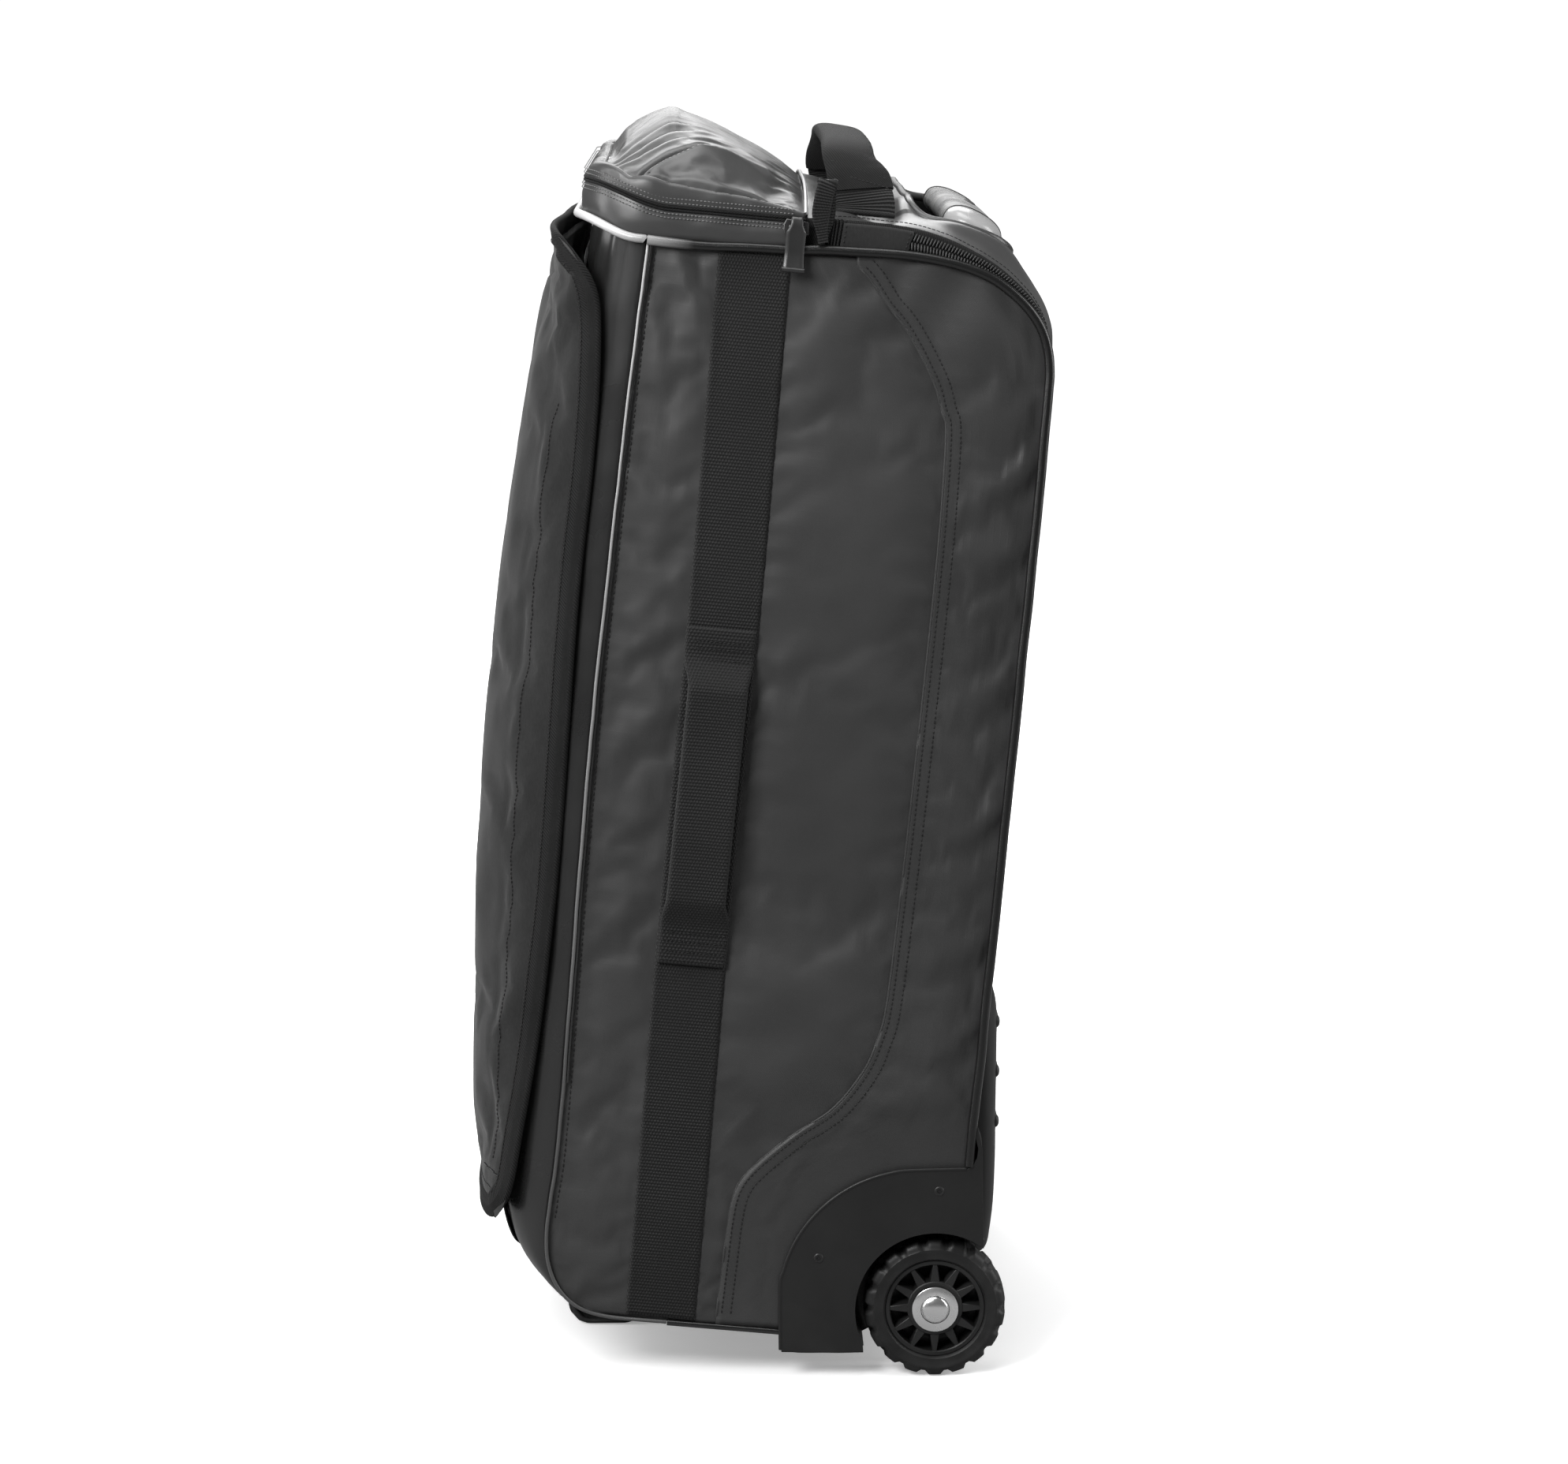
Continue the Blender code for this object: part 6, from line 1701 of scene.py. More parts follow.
def top_handle():
    """Webbing that rises from the hump's edges, with a stitched twill wrap over its middle."""
    half = np.array([(0.1560, 0.7265), (0.1545, 0.7300), (0.1525, 0.7352), (0.1485, 0.7420),
                     (0.1420, 0.7505), (0.1320, 0.7580), (0.1160, 0.7625), (0.0900, 0.7644),
                     (0.0500, 0.7650), (0.0, 0.7651)])
    whole = np.vstack([half, half[:-1][::-1] * (-1, 1)])
    line = spline(whole, 200)
    level = line[:, 1]
    middle_y = -0.1145 - 0.0035 * smoothstep(0.728, 0.746, level) - 0.0086 * smoothstep(0.742, 0.763, level)
    dip = 0.0070 * smoothstep(-0.10, -0.145, line[:, 0])
    middle_y = middle_y - dip * (1 - smoothstep(0.740, 0.760, level))
    path = np.column_stack([line[:, 0], middle_y, level])
    tilt = np.radians(13 * smoothstep(0.728, 0.748, level) * (1 - 0.75 * smoothstep(0.754, 0.766, level)))
    across = np.column_stack([np.zeros(len(path)), np.cos(tilt), -np.sin(tilt)])
    half_width = 0.0190 - 0.0042 * smoothstep(0.745, 0.766, level)
    shape = tape_section(2.0, 0.0017, edge=0.0002)
    section = np.array([shape * (w, -1) for w in half_width])
    web = sweep("top_handle_web", path, section, RIBBED, sides=across)
    flip_if_inward(web)
    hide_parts("top_handle_webbing", "top_handle_tab_right", "top_handle_tab_left")
    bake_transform(web)

    keep = level > 0.7385
    first, last = int(np.argmax(keep)), len(line) - int(np.argmax(keep[::-1]))
    wrapped = path[first:last]
    t = np.linspace(0, 1, len(wrapped))
    s = np.linspace(0, 2 * np.pi, 36, endpoint=False)
    shape = np.column_stack([np.sign(np.cos(s)) * np.abs(np.cos(s)) ** 0.6,
                             np.sign(np.sin(s)) * np.abs(np.sin(s)) ** 0.8])
    swell = 0.0034 + 0.0022 * np.sin(np.pi * t) ** 0.6
    section = np.array([shape * (w + 0.0012, k) for w, k in zip(half_width[first:last], swell)])
    around = wrapped[:, None] + section[..., :1] * (0, 1, 0) + section[..., 1:] * (0, 0, 1)
    wobble = 1 + 0.02 * smooth_noise(around, 60.0, 3.0)
    wrap = sweep("top_handle_wrap", wrapped, section * wobble[..., None], BINDING_WRAP,
                 sides=across[first:last])
    flip_if_inward(wrap)
    give(wrap, "top_handle", "nylon", "top_handle_pad")
    forward = tangents(wrapped)
    outward = np.cross(forward, across[first:last])
    outward = np.where((outward[:, 2] + outward[:, 0] * np.sign(wrapped[:, 0]))[:, None] < 0, -outward,
                       outward)
    for k, index in enumerate((3, 7, len(wrapped) - 8, len(wrapped) - 4)):
        ends = [wrapped[index] + across[first + index] * q + outward[index] * (swell[index] + 0.0002)
                for q in np.linspace(-0.0165, 0.0165, 12)]
        give(stitches(f"wrap_stitch_{k}", np.array(ends), outward[index], pitch=2.3 * MM, length=1.7 * MM),
             "top_handle", "nylon")
    for end, sign in SIDES:
        hem = np.array([(sign * 0.1565, path[0 if sign > 0 else -1, 1] + q, 0.7262)
                        for q in np.linspace(-0.019, 0.019, 10)])
        give(sweep(f"handle_foot_{end}", hem, round_section(0.0022, 10, 0.7), TWILL), "bag", "nylon")


def flip_if_inward(obj):
    shape = bmesh.new()
    shape.from_mesh(obj.data)
    bmesh.ops.recalc_face_normals(shape, faces=shape.faces)
    shape.to_mesh(obj.data)
    shape.free()


# ---------------------------------------------------------------- sliders and pullers


def zip_hardware():
    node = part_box("top_zip_slider")
    centre = Vector([(a + b) / 2 for a, b in zip(*node)])
    inside = BAG.inverted() @ centre
    facing = Matrix(((0, 0, 1, 0), (1, 0, 0, 0), (0, 1, 0, 0), (0, 0, 0, 1)))
    facing = facing @ Matrix.Rotation(math.pi / 2, 4, "Z")
    place = BAG @ Matrix.Translation((inside.x - 0.0012, inside.y, inside.z)) @ facing
    give(slider_body("top_slider", place, ENAMEL, (0.0100, 0.0155, 0.0036)), "top_zip_slider", "zip_metal",
         "top_zip_slider")
    puller_strip("top_puller", Vector((inside.x + 0.0038, inside.y, inside.z + 0.0015)), "x",
                 "top_zip_puller", "top_zip_puller", 0.0265, 0.0125)

    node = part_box("lid_zip_slider")
    inside = BAG.inverted() @ Vector([(a + b) / 2 for a, b in zip(*node)])
    facing = Matrix(((1, 0, 0, 0), (0, 0, -1, 0), (0, 1, 0, 0), (0, 0, 0, 1)))
    place = BAG @ Matrix.Translation((inside.x, inside.y + 0.0015, inside.z)) @ facing
    give(slider_body("lid_slider", place, ENAMEL, (0.0090, 0.0150, 0.0032)), "lid_zip_slider", "zip_metal",
         "lid_zip_slider")
    puller_strip("lid_puller", Vector((inside.x, inside.y - 0.0028, inside.z + 0.002)), "y",
                 "lid_zip_puller", "lid_zip_puller", 0.0105, 0.0075)


def puller_strip(name, top, facing, body, node, reach, width):
    """A flexible pull strip: it loops through the slider's bridge, hangs down and ends in a folded hem."""
    out = Vector((1, 0, 0)) if facing == "x" else Vector((0, -1, 0))
    across = (0.0, 1.0, 0.0) if facing == "x" else (1.0, 0.0, 0.0)
    path = []
    for down, lift in ((-0.0030, -0.0008), (-0.0042, 0.0002), (-0.0034, 0.0014), (0.0000, 0.0020),
                       (reach * 0.3, 0.0011), (reach * 0.6, 0.0004), (reach * 0.82, 0.0009),
                       (reach, 0.0020)):
        path.append(tuple(top + out * lift + Vector((0, 0, -down))))
    path = spline(path, 50)
    widths = np.interp(np.linspace(0, 1, 50), [0, 0.2, 0.32, 0.7, 1.0], [0.55, 0.62, 0.95, 0.92, 1.0])
    section = np.array([tape_section(width * w, 0.0011, crown=-0.0002) for w in widths])
    strip = sweep(name, path, section, PULLER, sides=across)
    flip_if_inward(strip)
    give(strip, body, "puller_rubber", node)
    tip = path[-1]
    hem = np.array([tip + np.array(across) * q for q in np.linspace(-width * 0.54, width * 0.54, 8)])
    give(sweep(name + "_hem", hem, round_section(0.0021, 12, 0.75), PULLER), body, "puller_rubber")


# ---------------------------------------------------------------- trolley grip

def trolley_looks():
    """The grip lies in its slot and follows the hump's slope; a parting line rings each end."""
    low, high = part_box("trolley_grip")
    centre = BAG.inverted() @ Vector([(a + b) / 2 for a, b in zip(low, high)])
    half, nose = 0.1345, 0.0190
    bend = np.radians(np.linspace(2, 90, 16))
    right_x = half - nose + nose * np.cos(bend)
    scale_end = np.sin(bend)
    straight = np.linspace(-(half - nose), half - nose, 60)[1:-1]
    x = np.concatenate([-right_x, straight, right_x[::-1]])
    scale = np.concatenate([scale_end, np.ones(len(straight)), scale_end[::-1]])
    base_y, base_z = centre.y - 0.0002, centre.z - 0.0080
    crown = 0.0012
    path = np.column_stack([x, np.full(len(x), base_y), base_z + crown * (1 - (x / half) ** 2)])
    t = np.linspace(0, 2 * np.pi, 40, endpoint=False)
    shape = np.column_stack([np.sign(np.cos(t)) * np.abs(np.cos(t)) ** 0.85,
                             np.sign(np.sin(t)) * np.abs(np.sin(t)) ** 0.8])
    tilt = math.radians(22)
    across = (0.0, math.cos(tilt), -math.sin(tilt))
    wide, tall = 0.0190, 0.0102
    section = np.array([shape * (wide * e, tall * e**0.75) for e in scale])
    grip = sweep("grip_shell", path, section, GRIP, sides=across)
    flip_if_inward(grip)
    give(grip, "trolley_handle", "grip_plastic", "trolley_grip")
    up = Vector((0, math.sin(tilt), math.cos(tilt)))
    for name, at in (("right", 0.1150), ("left", -0.1150)):
        ring = []
        for angle in np.linspace(0, 2 * np.pi, 60, endpoint=False):
            u = math.copysign(abs(math.cos(angle)) ** 0.85, math.cos(angle))
            w = math.copysign(abs(math.sin(angle)) ** 0.8, math.sin(angle))
            px = at - math.copysign(0.010, at) * (1 - u * u)
            lift = crown * (1 - (px / half) ** 2)
            ring.append((px, base_y + wide * u * math.cos(tilt) + tall * w * up.y,
                         base_z + lift - wide * u * math.sin(tilt) + tall * w * up.z))
        give(sweep(f"grip_parting_{name}", np.array(ring), round_section(0.0006, 6), RUBBER, closed=True),
             "trolley_handle", "grip_plastic")

    u = np.linspace(-1, 1, 25)
    v = np.linspace(-1, 1, 17)
    uu, vv = np.meshgrid(u, v)
    across_x, along_y = uu * np.sqrt(1 - vv**2 / 2) * 0.0158, vv * np.sqrt(1 - uu**2 / 2) * 0.0066
    dome = 0.0022 * (1 - (np.maximum(np.abs(uu), np.abs(vv))) ** 4)
    lift = tall - 0.0012 + dome
    points = np.stack([across_x, base_y + along_y * math.cos(tilt) + lift * up.y,
                       base_z + crown + lift * up.z - along_y * math.sin(tilt)], axis=-1)
    give(panel("press_button", points, MOULDED, 0.0030), "grip_button", "moulded_plastic", "grip_button")


# ---------------------------------------------------------------- wheels, housings, guard and foot

WHEEL_R = 0.045


def tyre_looks(end, sign):
    """A tyre with blocks that wrap over its shoulders, a rounded crown and a raised ring on its face."""
    middle = 0.169
    half = 0.0128
    lugs = 18
    steps = lugs * 12
    angle = np.linspace(0, 2 * np.pi, steps, endpoint=False)
    phase = (angle + np.pi / 2) * lugs / (2 * np.pi)
    share = np.abs((phase + 0.5) % 1.0 - 0.5) * 2
    block = 1 - smoothstep(0.58, 0.74, share)
    # From the bore's outer edge over the tread and back: (x, radius, how much of the groove it takes).
    profile = [(0.0105, 0.0316, 0), (0.0116, 0.0322, 0), (0.0124, 0.0330, 0), (0.0124, 0.0372, 0),
               (0.0128, 0.0380, 0), (0.0128, 0.0392, 0), (0.0124, 0.0398, 0.35), (0.0121, 0.0412, 0.9),
               (0.0112, 0.0430, 1.0), (0.0094, 0.0443, 1.0), (0.0066, 0.0448, 1.0), (0.0034, 0.0450, 1.0),
               (0.0010, 0.0450, 1.0)]
    profile = profile + [(-a, b, c) for a, b, c in reversed(profile)]
    points = np.zeros((len(profile), steps, 3))
    for k, (x, radius, take) in enumerate(profile):
        stagger = block if x >= 0 else 1 - smoothstep(0.58, 0.74, np.abs((phase) % 1.0 - 0.5) * 2)
        r = radius - 0.0024 * take * (1 - stagger)
        points[k, :, 0] = sign * (middle + x * half / 0.0128)
        points[k, :, 1] = r * np.cos(angle)
        points[k, :, 2] = WHEEL_R + r * np.sin(angle)
    faces = grid_faces(len(profile), steps, wrap=True)
    last = (len(profile) - 1) * steps
    faces += [(last + j, last + (j + 1) % steps, (j + 1) % steps, j) for j in range(steps)]
    piece = finish_mesh(f"tyre_tread_{end}", points.reshape(-1, 3), faces,
                        np.zeros((points[..., 0].size, 2)), RUBBER, STAND, 32)
    flip_if_inward(piece)
    give(piece, f"wheel_{end}", "tyre_rubber", f"tyre_{end}")


def rim_looks(end, sign):
    """A moulded rim: outer ring, twelve tapered spokes that stand proud of a dished web, and a hub."""
    spokes = 12
    face = 0.1795
    at = Matrix.Translation((0, 0, WHEEL_R))
    turn_out = Matrix.Rotation(sign * math.pi / 2, 4, "Y")
    ring = [(0.0316, 0.1575), (0.0316, face - 0.0005), (0.0311, face), (0.0290, face),
            (0.0284, face - 0.0006), (0.0282, face - 0.0125), (0.0282, 0.1590), (0.0290, 0.1575),
            (0.0316, 0.1575)]
    give(turned(f"rim_ring_{end}", ring, RIM, STAND @ at @ turn_out, 96), f"wheel_{end}", "rim_plastic",
         f"wheel_rim_{end}")
    hub = [(0.0054, 0.1575), (0.0054, face + 0.0002), (0.0170, face + 0.0002), (0.0176, face - 0.0004),
           (0.0178, face - 0.0130), (0.0178, 0.1590), (0.0170, 0.1575), (0.0054, 0.1575)]
    give(turned(f"rim_hub_{end}", hub, RIM, STAND @ at @ turn_out, 72), f"wheel_{end}", "rim_plastic")
    shape = bmesh.new()
    for spoke in range(spokes):
        middle = 2 * math.pi * spoke / spokes
        corners = []
        for r, width in ((0.0165, 0.0030), (0.0292, 0.0013)):
            for side in (-1, 1):
                for x, grow in ((face - 0.0100, 1.25), (face - 0.0006, 1.0)):
                    y = r * math.cos(middle) - side * width * grow * math.sin(middle)
                    z = r * math.sin(middle) + side * width * grow * math.cos(middle)
                    corners.append(shape.verts.new((sign * x, y, WHEEL_R + z)))
        for quad in ((0, 1, 3, 2), (4, 5, 7, 6), (0, 1, 5, 4), (2, 3, 7, 6), (0, 2, 6, 4), (1, 3, 7, 5)):
            shape.faces.new([corners[i] for i in quad])
    bmesh.ops.recalc_face_normals(shape, faces=shape.faces)
    mesh = bpy.data.meshes.new(f"rim_spokes_{end}")
    shape.to_mesh(mesh)
    shape.free()
    mesh.transform(STAND)
    obj = bpy.data.objects.new(f"rim_spokes_{end}", mesh)
    bpy.context.scene.collection.objects.link(obj)
    mesh.materials.append(RIM)
    soft = obj.modifiers.new("edges", "BEVEL")
    soft.width = 0.0005
    soft.segments = 2
    mesh.shade_smooth()
    mesh.set_sharp_from_angle(angle=math.radians(35))
    give(obj, f"wheel_{end}", "rim_plastic")
    web = [(0.0170, 0.1660), (0.0286, 0.1640), (0.0286, 0.1620), (0.0170, 0.1640), (0.0170, 0.1660)]
    give(turned(f"rim_web_{end}", web, RIM, STAND @ at @ turn_out, 72), f"wheel_{end}", "rim_plastic")

    washer_low = 0.1809
    washer = [(0.0056, washer_low), (0.0138, washer_low), (0.0146, washer_low + 0.0004),
              (0.0146, washer_low + 0.0010), (0.0140, washer_low + 0.0014), (0.0092, washer_low + 0.0014),
              (0.0088, washer_low + 0.0011), (0.0056, washer_low + 0.0011), (0.0056, washer_low)]
    give(turned(f"washer_face_{end}", washer, STEEL, STAND @ at @ turn_out, 72), "bag", "bright_steel",
         f"washer_{end}")
    top = washer_low + 0.0016
    dome = [(0.0084 * math.sin(a), top + 0.0006 + 0.0028 * math.cos(a))
            for a in np.radians(np.linspace(8, 90, 10))]
    rivet = [(0.0, top + 0.0034), *dome, (0.0086, top + 0.0002), (0.0050, top), (0.0050, 0.1520),
             (0.0, 0.1520)]
    give(turned(f"axle_rivet_{end}", rivet, STEEL, STAND @ at @ turn_out, 64), "bag", "bright_steel",
         f"axle_{end}")


def housing_edge():
    arch = arc((-0.011, 0.049), 0.088, 172, 94, 22)
    shoulder = np.array([(0.0150, 0.1368), (0.0190, 0.1376), (0.0228, 0.1396), (0.0256, 0.1450),
                         (0.0263, 0.1509), (0.0240, 0.1600), (0.0237, 0.1665), (0.0256, 0.1660),
                         (0.0276, 0.1580), (0.0290, 0.1504)])
    return arch, shoulder


def housings():
    """Moulded wheel guards: an outer plate round the tyre, over a shell that follows the bag's corner."""
    arch, shoulder = housing_edge()
    for end, sign in SIDES:
        notch = arc((0.0, WHEEL_R), 0.0508, 205, 53, 44)
        outer = np.vstack([[(-0.0975, 0.0180), (-0.0985, 0.0300), (-0.0985, 0.0560)], arch, shoulder,
                           [(0.0294, 0.1200), (0.0303, 0.0862)]])
        # Outer plate: down the back to the tyre, round the arch and back along the bottom.
        plate = np.vstack([outer, notch[::-1], [(-0.0455, 0.0175), (-0.0610, 0.0172)]])
        low, high = (0.1795, 0.1840)
        lows = (low, high) if sign > 0 else (-high, -low)
        obj = outline_plate(f"housing_plate_{end}", [plate], *lows, MOULDED, STAND, bevel=0.0013)
        give(obj, "bag", "moulded_plastic", f"wheel_housing_{end}")

        # A flange round the outer rim.
        rim = np.vstack([[(-0.0980, 0.0195), (-0.0985, 0.0560)], arch, shoulder[:3]])
        rim = spline(rim[::2], 120)
        path = np.column_stack([np.full(len(rim), sign * 0.1832), rim])
        give(sweep(f"housing_rim_{end}", path, round_section(0.0013, 8), MOULDED, place=STAND), "bag",
             "moulded_plastic")

        # Shell of the well round the tyre.
        ring = arc((0.0, WHEEL_R), 0.0512, 208, 55, 50)
        x = np.linspace(0.1535, 0.1800, 8)
        wall = np.zeros((len(x), len(ring), 3))
        wall[..., 0] = sign * x[:, None]
        wall[..., 1:] = ring[None]
        give(panel(f"well_wall_{end}", wall, MOULDED, 0.0030, place=STAND, inside=(sign * 0.17, 0, WHEEL_R),
                   inward=True), "bag", "moulded_plastic")
        radii = np.linspace(0.0062, 0.0515, 12)
        angles = np.radians(np.linspace(208, 55, 50))
        disc = np.zeros((len(radii), len(angles), 3))
        disc[..., 0] = sign * 0.1520
        disc[..., 1] = radii[:, None] * np.cos(angles)
        disc[..., 2] = WHEEL_R + radii[:, None] * np.sin(angles)
        give(panel(f"well_inner_{end}", disc, MOULDED, 0.0025, place=STAND,
                   inside=(sign * 0.10, 0, WHEEL_R)), "bag", "moulded_plastic")

        # Back and under faces, from the outer plate in to the bag.
        back = spline([(0.0286, 0.1500), (0.0290, 0.1380), (0.0294, 0.1100), (0.0303, 0.0862)], 20)
        x = np.linspace(0.1180, 0.1815, 16)
        skin = np.zeros((len(back), len(x), 3))
        skin[..., 0] = sign * x[None]
        skin[..., 1:] = back[:, None]
        skin[..., 1] += 0.0016 * np.sin(np.linspace(0, np.pi, len(x)))[None]
        give(panel(f"housing_back_{end}", skin, MOULDED, 0.0025, place=STAND,
                   inside=(sign * 0.15, -0.05, 0.10)), "bag", "moulded_plastic")
        under = spline([(-0.0975, 0.0185), (-0.0850, 0.0170), (-0.0610, 0.0172), (-0.0455, 0.0182)], 16)
        x = np.linspace(0.1505, 0.1825, 8)
        sole = np.zeros((len(under), len(x), 3))
        sole[..., 0] = sign * x[None]
        sole[..., 1:] = under[:, None]
        give(panel(f"housing_sole_{end}", sole, MOULDED, 0.0022, place=STAND,
                   inside=(sign * 0.15, -0.07, 0.10)), "bag", "moulded_plastic")
        # Two recessed screws.
        for k, (y, z) in enumerate(((-0.0740, 0.0800), (0.0020, 0.1235))):
            head = [(0.0, 0.0002), (0.0012, 0.0002), (0.0014, 0.0009), (0.0026, 0.0010), (0.0031, 0.0006),
                    (0.0032, -0.0006), (0.0, -0.0006)]
            facing = Matrix.Rotation(sign * math.pi / 2, 4, "Y")
            place = STAND @ Matrix.Translation((sign * 0.1836, y, z)) @ facing
            give(turned(f"housing_screw_{end}_{k}", head, RIM, place, 24), "bag", "moulded_plastic")


def kick_guard():
    """The guard up the lower back: a shell that rounds over to the bag at its sides, with ribs and studs."""
    profile = spline([(0.0320, 0.0600), (0.0372, 0.0640), (0.0395, 0.0760), (0.0415, 0.0950),
                      (0.0425, 0.1250), (0.0425, 0.1500), (0.0428, 0.2000), (0.0425, 0.2220),
                      (0.0400, 0.2350), (0.0340, 0.2430), (0.0220, 0.2470)], 110)
    turn = np.radians(np.linspace(0, 90, 18))
    corner = 0.0160
    half = 0.1195
    right_x = half - corner + corner * np.cos(turn)
    drop = 1 - np.sin(turn)
    straight = np.linspace(-(half - corner), half - corner, 60)[1:-1]
    x = np.concatenate([-right_x, straight, right_x[::-1]])
    sink = np.concatenate([drop, np.zeros(len(straight)), drop[::-1]])
    x = np.concatenate([[-half - 0.0006] * 2, x, [half + 0.0006] * 2])
    sink = np.concatenate([[2.3, 1.5], sink, [1.5, 2.3]])
    points = np.zeros((len(profile), len(x), 3))
    points[..., 0] = x[None]
    points[..., 1] = profile[:, :1] - sink[None] * 0.0105
    sag = 0.010 * smoothstep(0.222, 0.247, profile[:, 1:])
    points[..., 2] = profile[:, 1:] - sag * np.minimum(sink, 1)[None]
    ribs = (0.1465, 0.1800, 0.2130)
    for height in ribs:
        band = np.exp(-(((points[..., 2] - height) / 0.0030) ** 2))
        points[..., 1] += 0.0018 * band * (np.abs(x[None]) < 0.1045)
    hollow = smoothstep(0.082, 0.094, points[..., 2]) * (1 - smoothstep(0.128, 0.136, points[..., 2]))
    hollow = hollow * (1 - smoothstep(0.085, 0.090, np.abs(x))[None])
    points[..., 1] -= 0.0016 * hollow
    give(panel("kick_guard", points, MOULDED, 0.0030, place=STAND, inside=(0, -0.05, 0.16)), "bag",
         "moulded_plastic", "kick_plate")
    dome = [(0.0042 * math.sin(a), 0.0022 * math.cos(a)) for a in np.radians(np.linspace(12, 90, 7))]
    stud = [(0.0, 0.0022), *dome, (0.0042, -0.003), (0.0, -0.003)]
    for end, sign in SIDES:
        for k, height in enumerate(ribs):
            facing = Matrix.Rotation(-math.pi / 2, 4, "X")
            place = STAND @ Matrix.Translation((sign * 0.1040, 0.0426, height)) @ facing
            give(turned(f"kick_stud_{end}_{k}", stud, MOULDED, place, 28), "bag", "moulded_plastic")


def foot_looks():
    """The moulded skid under the front edge: a ribbed block with rounded ends."""
    profile = np.array([(-0.2365, 0.0350), (-0.2375, 0.0180), (-0.2355, 0.0085), (-0.2300, 0.0020),
                        (-0.2240, 0.0), (-0.1980, 0.0), (-0.1905, 0.0022), (-0.1840, 0.0090),
                        (-0.1760, 0.0260), (-0.1720, 0.0375)])
    line = even(profile, 60)
    s = np.linspace(-1, 1, 60)
    x = 0.0765 * (0.75 * np.sin(np.pi / 2 * s) + 0.25 * s)
    pinch = 1 - np.abs(s) ** 14
    middle = np.array([-0.204, 0.020])
    points = np.zeros((len(line), len(x), 3))
    points[..., 0] = x[None]
    points[..., 1:] = middle + (line[:, None] - middle) * (0.86 + 0.14 * pinch)[None, :, None]
    points[..., 2] = np.where(line[:, None, 1] > 0.024, line[:, None, 1], points[..., 2])
    grooves = 0.0009 * (np.sin(points[..., 0] * 2 * np.pi / 0.0090) > 0.55) * (points[..., 2] > 0.006)
    points[..., 1] += grooves * np.sign(points[..., 1] + 0.204) * -1
    give(panel("foot_skid", points, MOULDED, 0.0030, place=STAND, inside=(0, -0.204, 0.030)), "bag",
         "moulded_plastic", "front_foot")
    for end, sign in SIDES:
        screw = [(0.0, 0.0003), (0.0014, 0.0003), (0.0016, 0.0010), (0.0030, 0.0009), (0.0034, 0.0),
                 (0.0034, -0.002), (0.0, -0.002)]
        facing = Matrix.Rotation(math.pi / 2, 4, "X")
        place = STAND @ Matrix.Translation((sign * 0.045, -0.2370, 0.0190)) @ facing
        give(turned(f"foot_screw_{end}", screw, STEEL, place, 24), "bag", "bright_steel")


# ---------------------------------------------------------------- pieces kept from the CAD

def dress(node, look, soften=0.0):
    obj = frame["nodes"][node]
    obj.data.materials.clear()
    obj.data.materials.append(look)
    if soften:
        edge = obj.modifiers.new("edges", "BEVEL")
        edge.width = soften
        edge.segments = 2
        edge.limit_method = "ANGLE"
        edge.angle_limit = math.radians(40)


def dress_cad():
    for side in ("right", "left"):
        dress(f"trolley_outer_tube_{side}", TUBE)
        dress(f"trolley_inner_tube_{side}", TUBE)
        dress(f"side_foam_{side}", FOAM)
    dress("tube_foot_bracket", MOULDED, 0.0008)
    dress("base_board", BOARD, 0.0004)
    dress("back_stiffener", BOARD, 0.0003)
    dress("shoe_shelf", FOAM, 0.0008)
    dress("top_deck", NYLON, 0.0006)


# ---------------------------------------------------------------- floor, light and camera

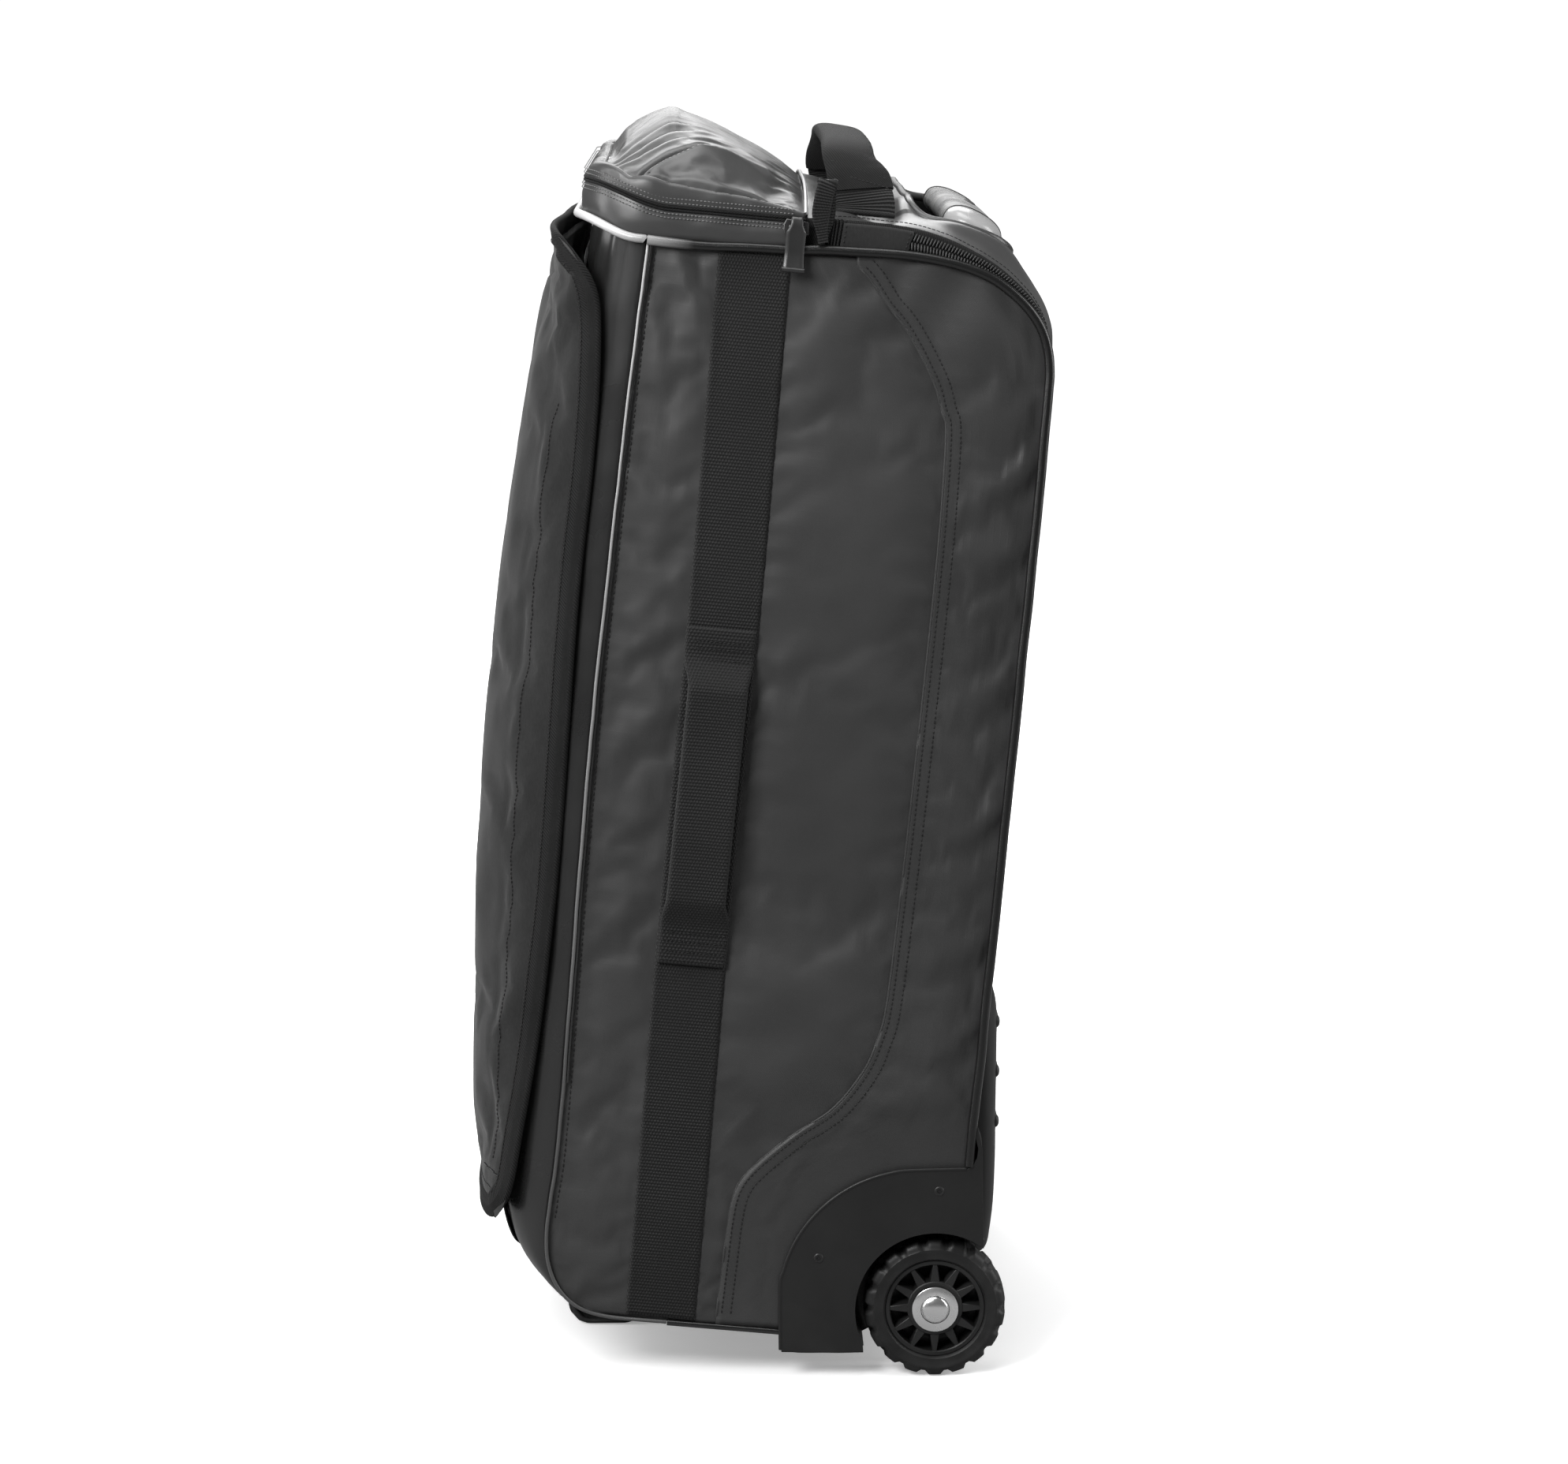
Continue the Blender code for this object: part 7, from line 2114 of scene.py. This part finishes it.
def studio():
    """A white paper floor that fades into a white room; only the camera sees them at full strength."""
    bpy.ops.mesh.primitive_plane_add(size=24, location=(0, 0, 0))
    floor = bpy.context.object
    floor.name = "floor"
    paper = bpy.data.materials.new("pale_floor")
    paper.use_nodes = True
    tree = paper.node_tree
    seen = tree.nodes["Principled BSDF"]
    seen.inputs["Base Color"].default_value = (0.94, 0.94, 0.94, 1)
    seen.inputs["Roughness"].default_value = 0.95
    seen.inputs["Specular IOR Level"].default_value = 0.05
    unseen = tree.nodes.new("ShaderNodeBsdfDiffuse")
    unseen.inputs["Color"].default_value = (0.30, 0.30, 0.30, 1)
    place = tree.nodes.new("ShaderNodeTexCoord")
    away = tree.nodes.new("ShaderNodeVectorMath")
    away.operation = "LENGTH"
    fade = tree.nodes.new("ShaderNodeMapRange")
    fade.interpolation_type = "SMOOTHSTEP"
    fade.inputs["From Min"].default_value = 0.35
    fade.inputs["From Max"].default_value = 1.30
    fade.inputs["To Min"].default_value = 0.30
    fade.inputs["To Max"].default_value = 1.05
    glow = tree.nodes.new("ShaderNodeEmission")
    both = tree.nodes.new("ShaderNodeAddShader")
    ray = tree.nodes.new("ShaderNodeLightPath")
    pick = tree.nodes.new("ShaderNodeMixShader")
    for start, finish in ((place.outputs["Object"], away.inputs[0]),
                          (away.outputs["Value"], fade.inputs["Value"]),
                          (fade.outputs[0], glow.inputs["Strength"]), (seen.outputs[0], both.inputs[0]),
                          (glow.outputs[0], both.inputs[1]), (ray.outputs["Is Camera Ray"], pick.inputs[0]),
                          (unseen.outputs[0], pick.inputs[1]), (both.outputs[0], pick.inputs[2]),
                          (pick.outputs[0], tree.nodes["Material Output"].inputs["Surface"])):
        tree.links.new(start, finish)
    floor.data.materials.append(paper)

    world = bpy.data.worlds.new("studio")
    world.use_nodes = True
    tree = world.node_tree
    room = tree.nodes["Background"]
    room.inputs[0].default_value = (1, 1, 1, 1)
    ray = tree.nodes.new("ShaderNodeLightPath")
    strength = tree.nodes.new("ShaderNodeMapRange")
    strength.inputs["To Min"].default_value = 0.18
    strength.inputs["To Max"].default_value = 1.05
    tree.links.new(ray.outputs["Is Camera Ray"], strength.inputs["Value"])
    tree.links.new(strength.outputs[0], room.inputs[1])
    bpy.context.scene.world = world
    bpy.context.scene.view_settings.view_transform = "Standard"

    target = Vector((0.0, 0.0, 0.40))
    for name, place, size, power in (
        ("key", (1.35, -0.95, 1.45), (0.8, 0.8), 37),
        ("top", (0.2, -0.2, 2.6), (1.4, 1.4), 34),
        ("back_rim", (0.3, 2.3, 1.2), (0.9, 2.0), 44),
        ("front_rim", (0.5, -2.5, 1.3), (0.8, 2.0), 36),
        ("far_top", (-2.2, -0.2, 2.2), (2.0, 1.6), 45),
    ):
        light = bpy.data.lights.new(name, "AREA")
        light.shape = "RECTANGLE"
        light.size, light.size_y = size
        light.energy = power
        lamp = bpy.data.objects.new(name, light)
        lamp.location = place
        lamp.rotation_euler = (target - Vector(place)).to_track_quat("-Z", "Y").to_euler()
        bpy.context.scene.collection.objects.link(lamp)


def camera():
    """Level with the bag's top, 2.7 m from its right side, looking slightly down."""
    data = bpy.data.cameras.new("camera")
    data.sensor_width = 36.0
    data.lens = 94.16
    view = bpy.data.objects.new("camera", data)
    view.location = (2.66635, AXLE_Y - 0.13916, 0.88254)
    azimuth, pitch = math.radians(89.0), math.radians(10.6)
    back = Vector((math.sin(azimuth) * math.cos(pitch), -math.cos(azimuth) * math.cos(pitch),
                   math.sin(pitch)))
    view.rotation_euler = back.to_track_quat("Z", "Y").to_euler()
    bpy.context.scene.collection.objects.link(view)
    bpy.context.scene.camera = view


def build():
    side_panels()
    front_cloth()
    lid_zip_looks()
    storm_flap()
    top_band()
    top_flap()
    rear_cloth()
    rear_band()
    loop_tab()
    piping()
    side_webbing()
    top_handle()
    zip_hardware()
    trolley_looks()
    for end, sign in SIDES:
        tyre_looks(end, sign)
        rim_looks(end, sign)
    housings()
    kick_guard()
    foot_looks()
    dress_cad()


build()
studio()
camera()
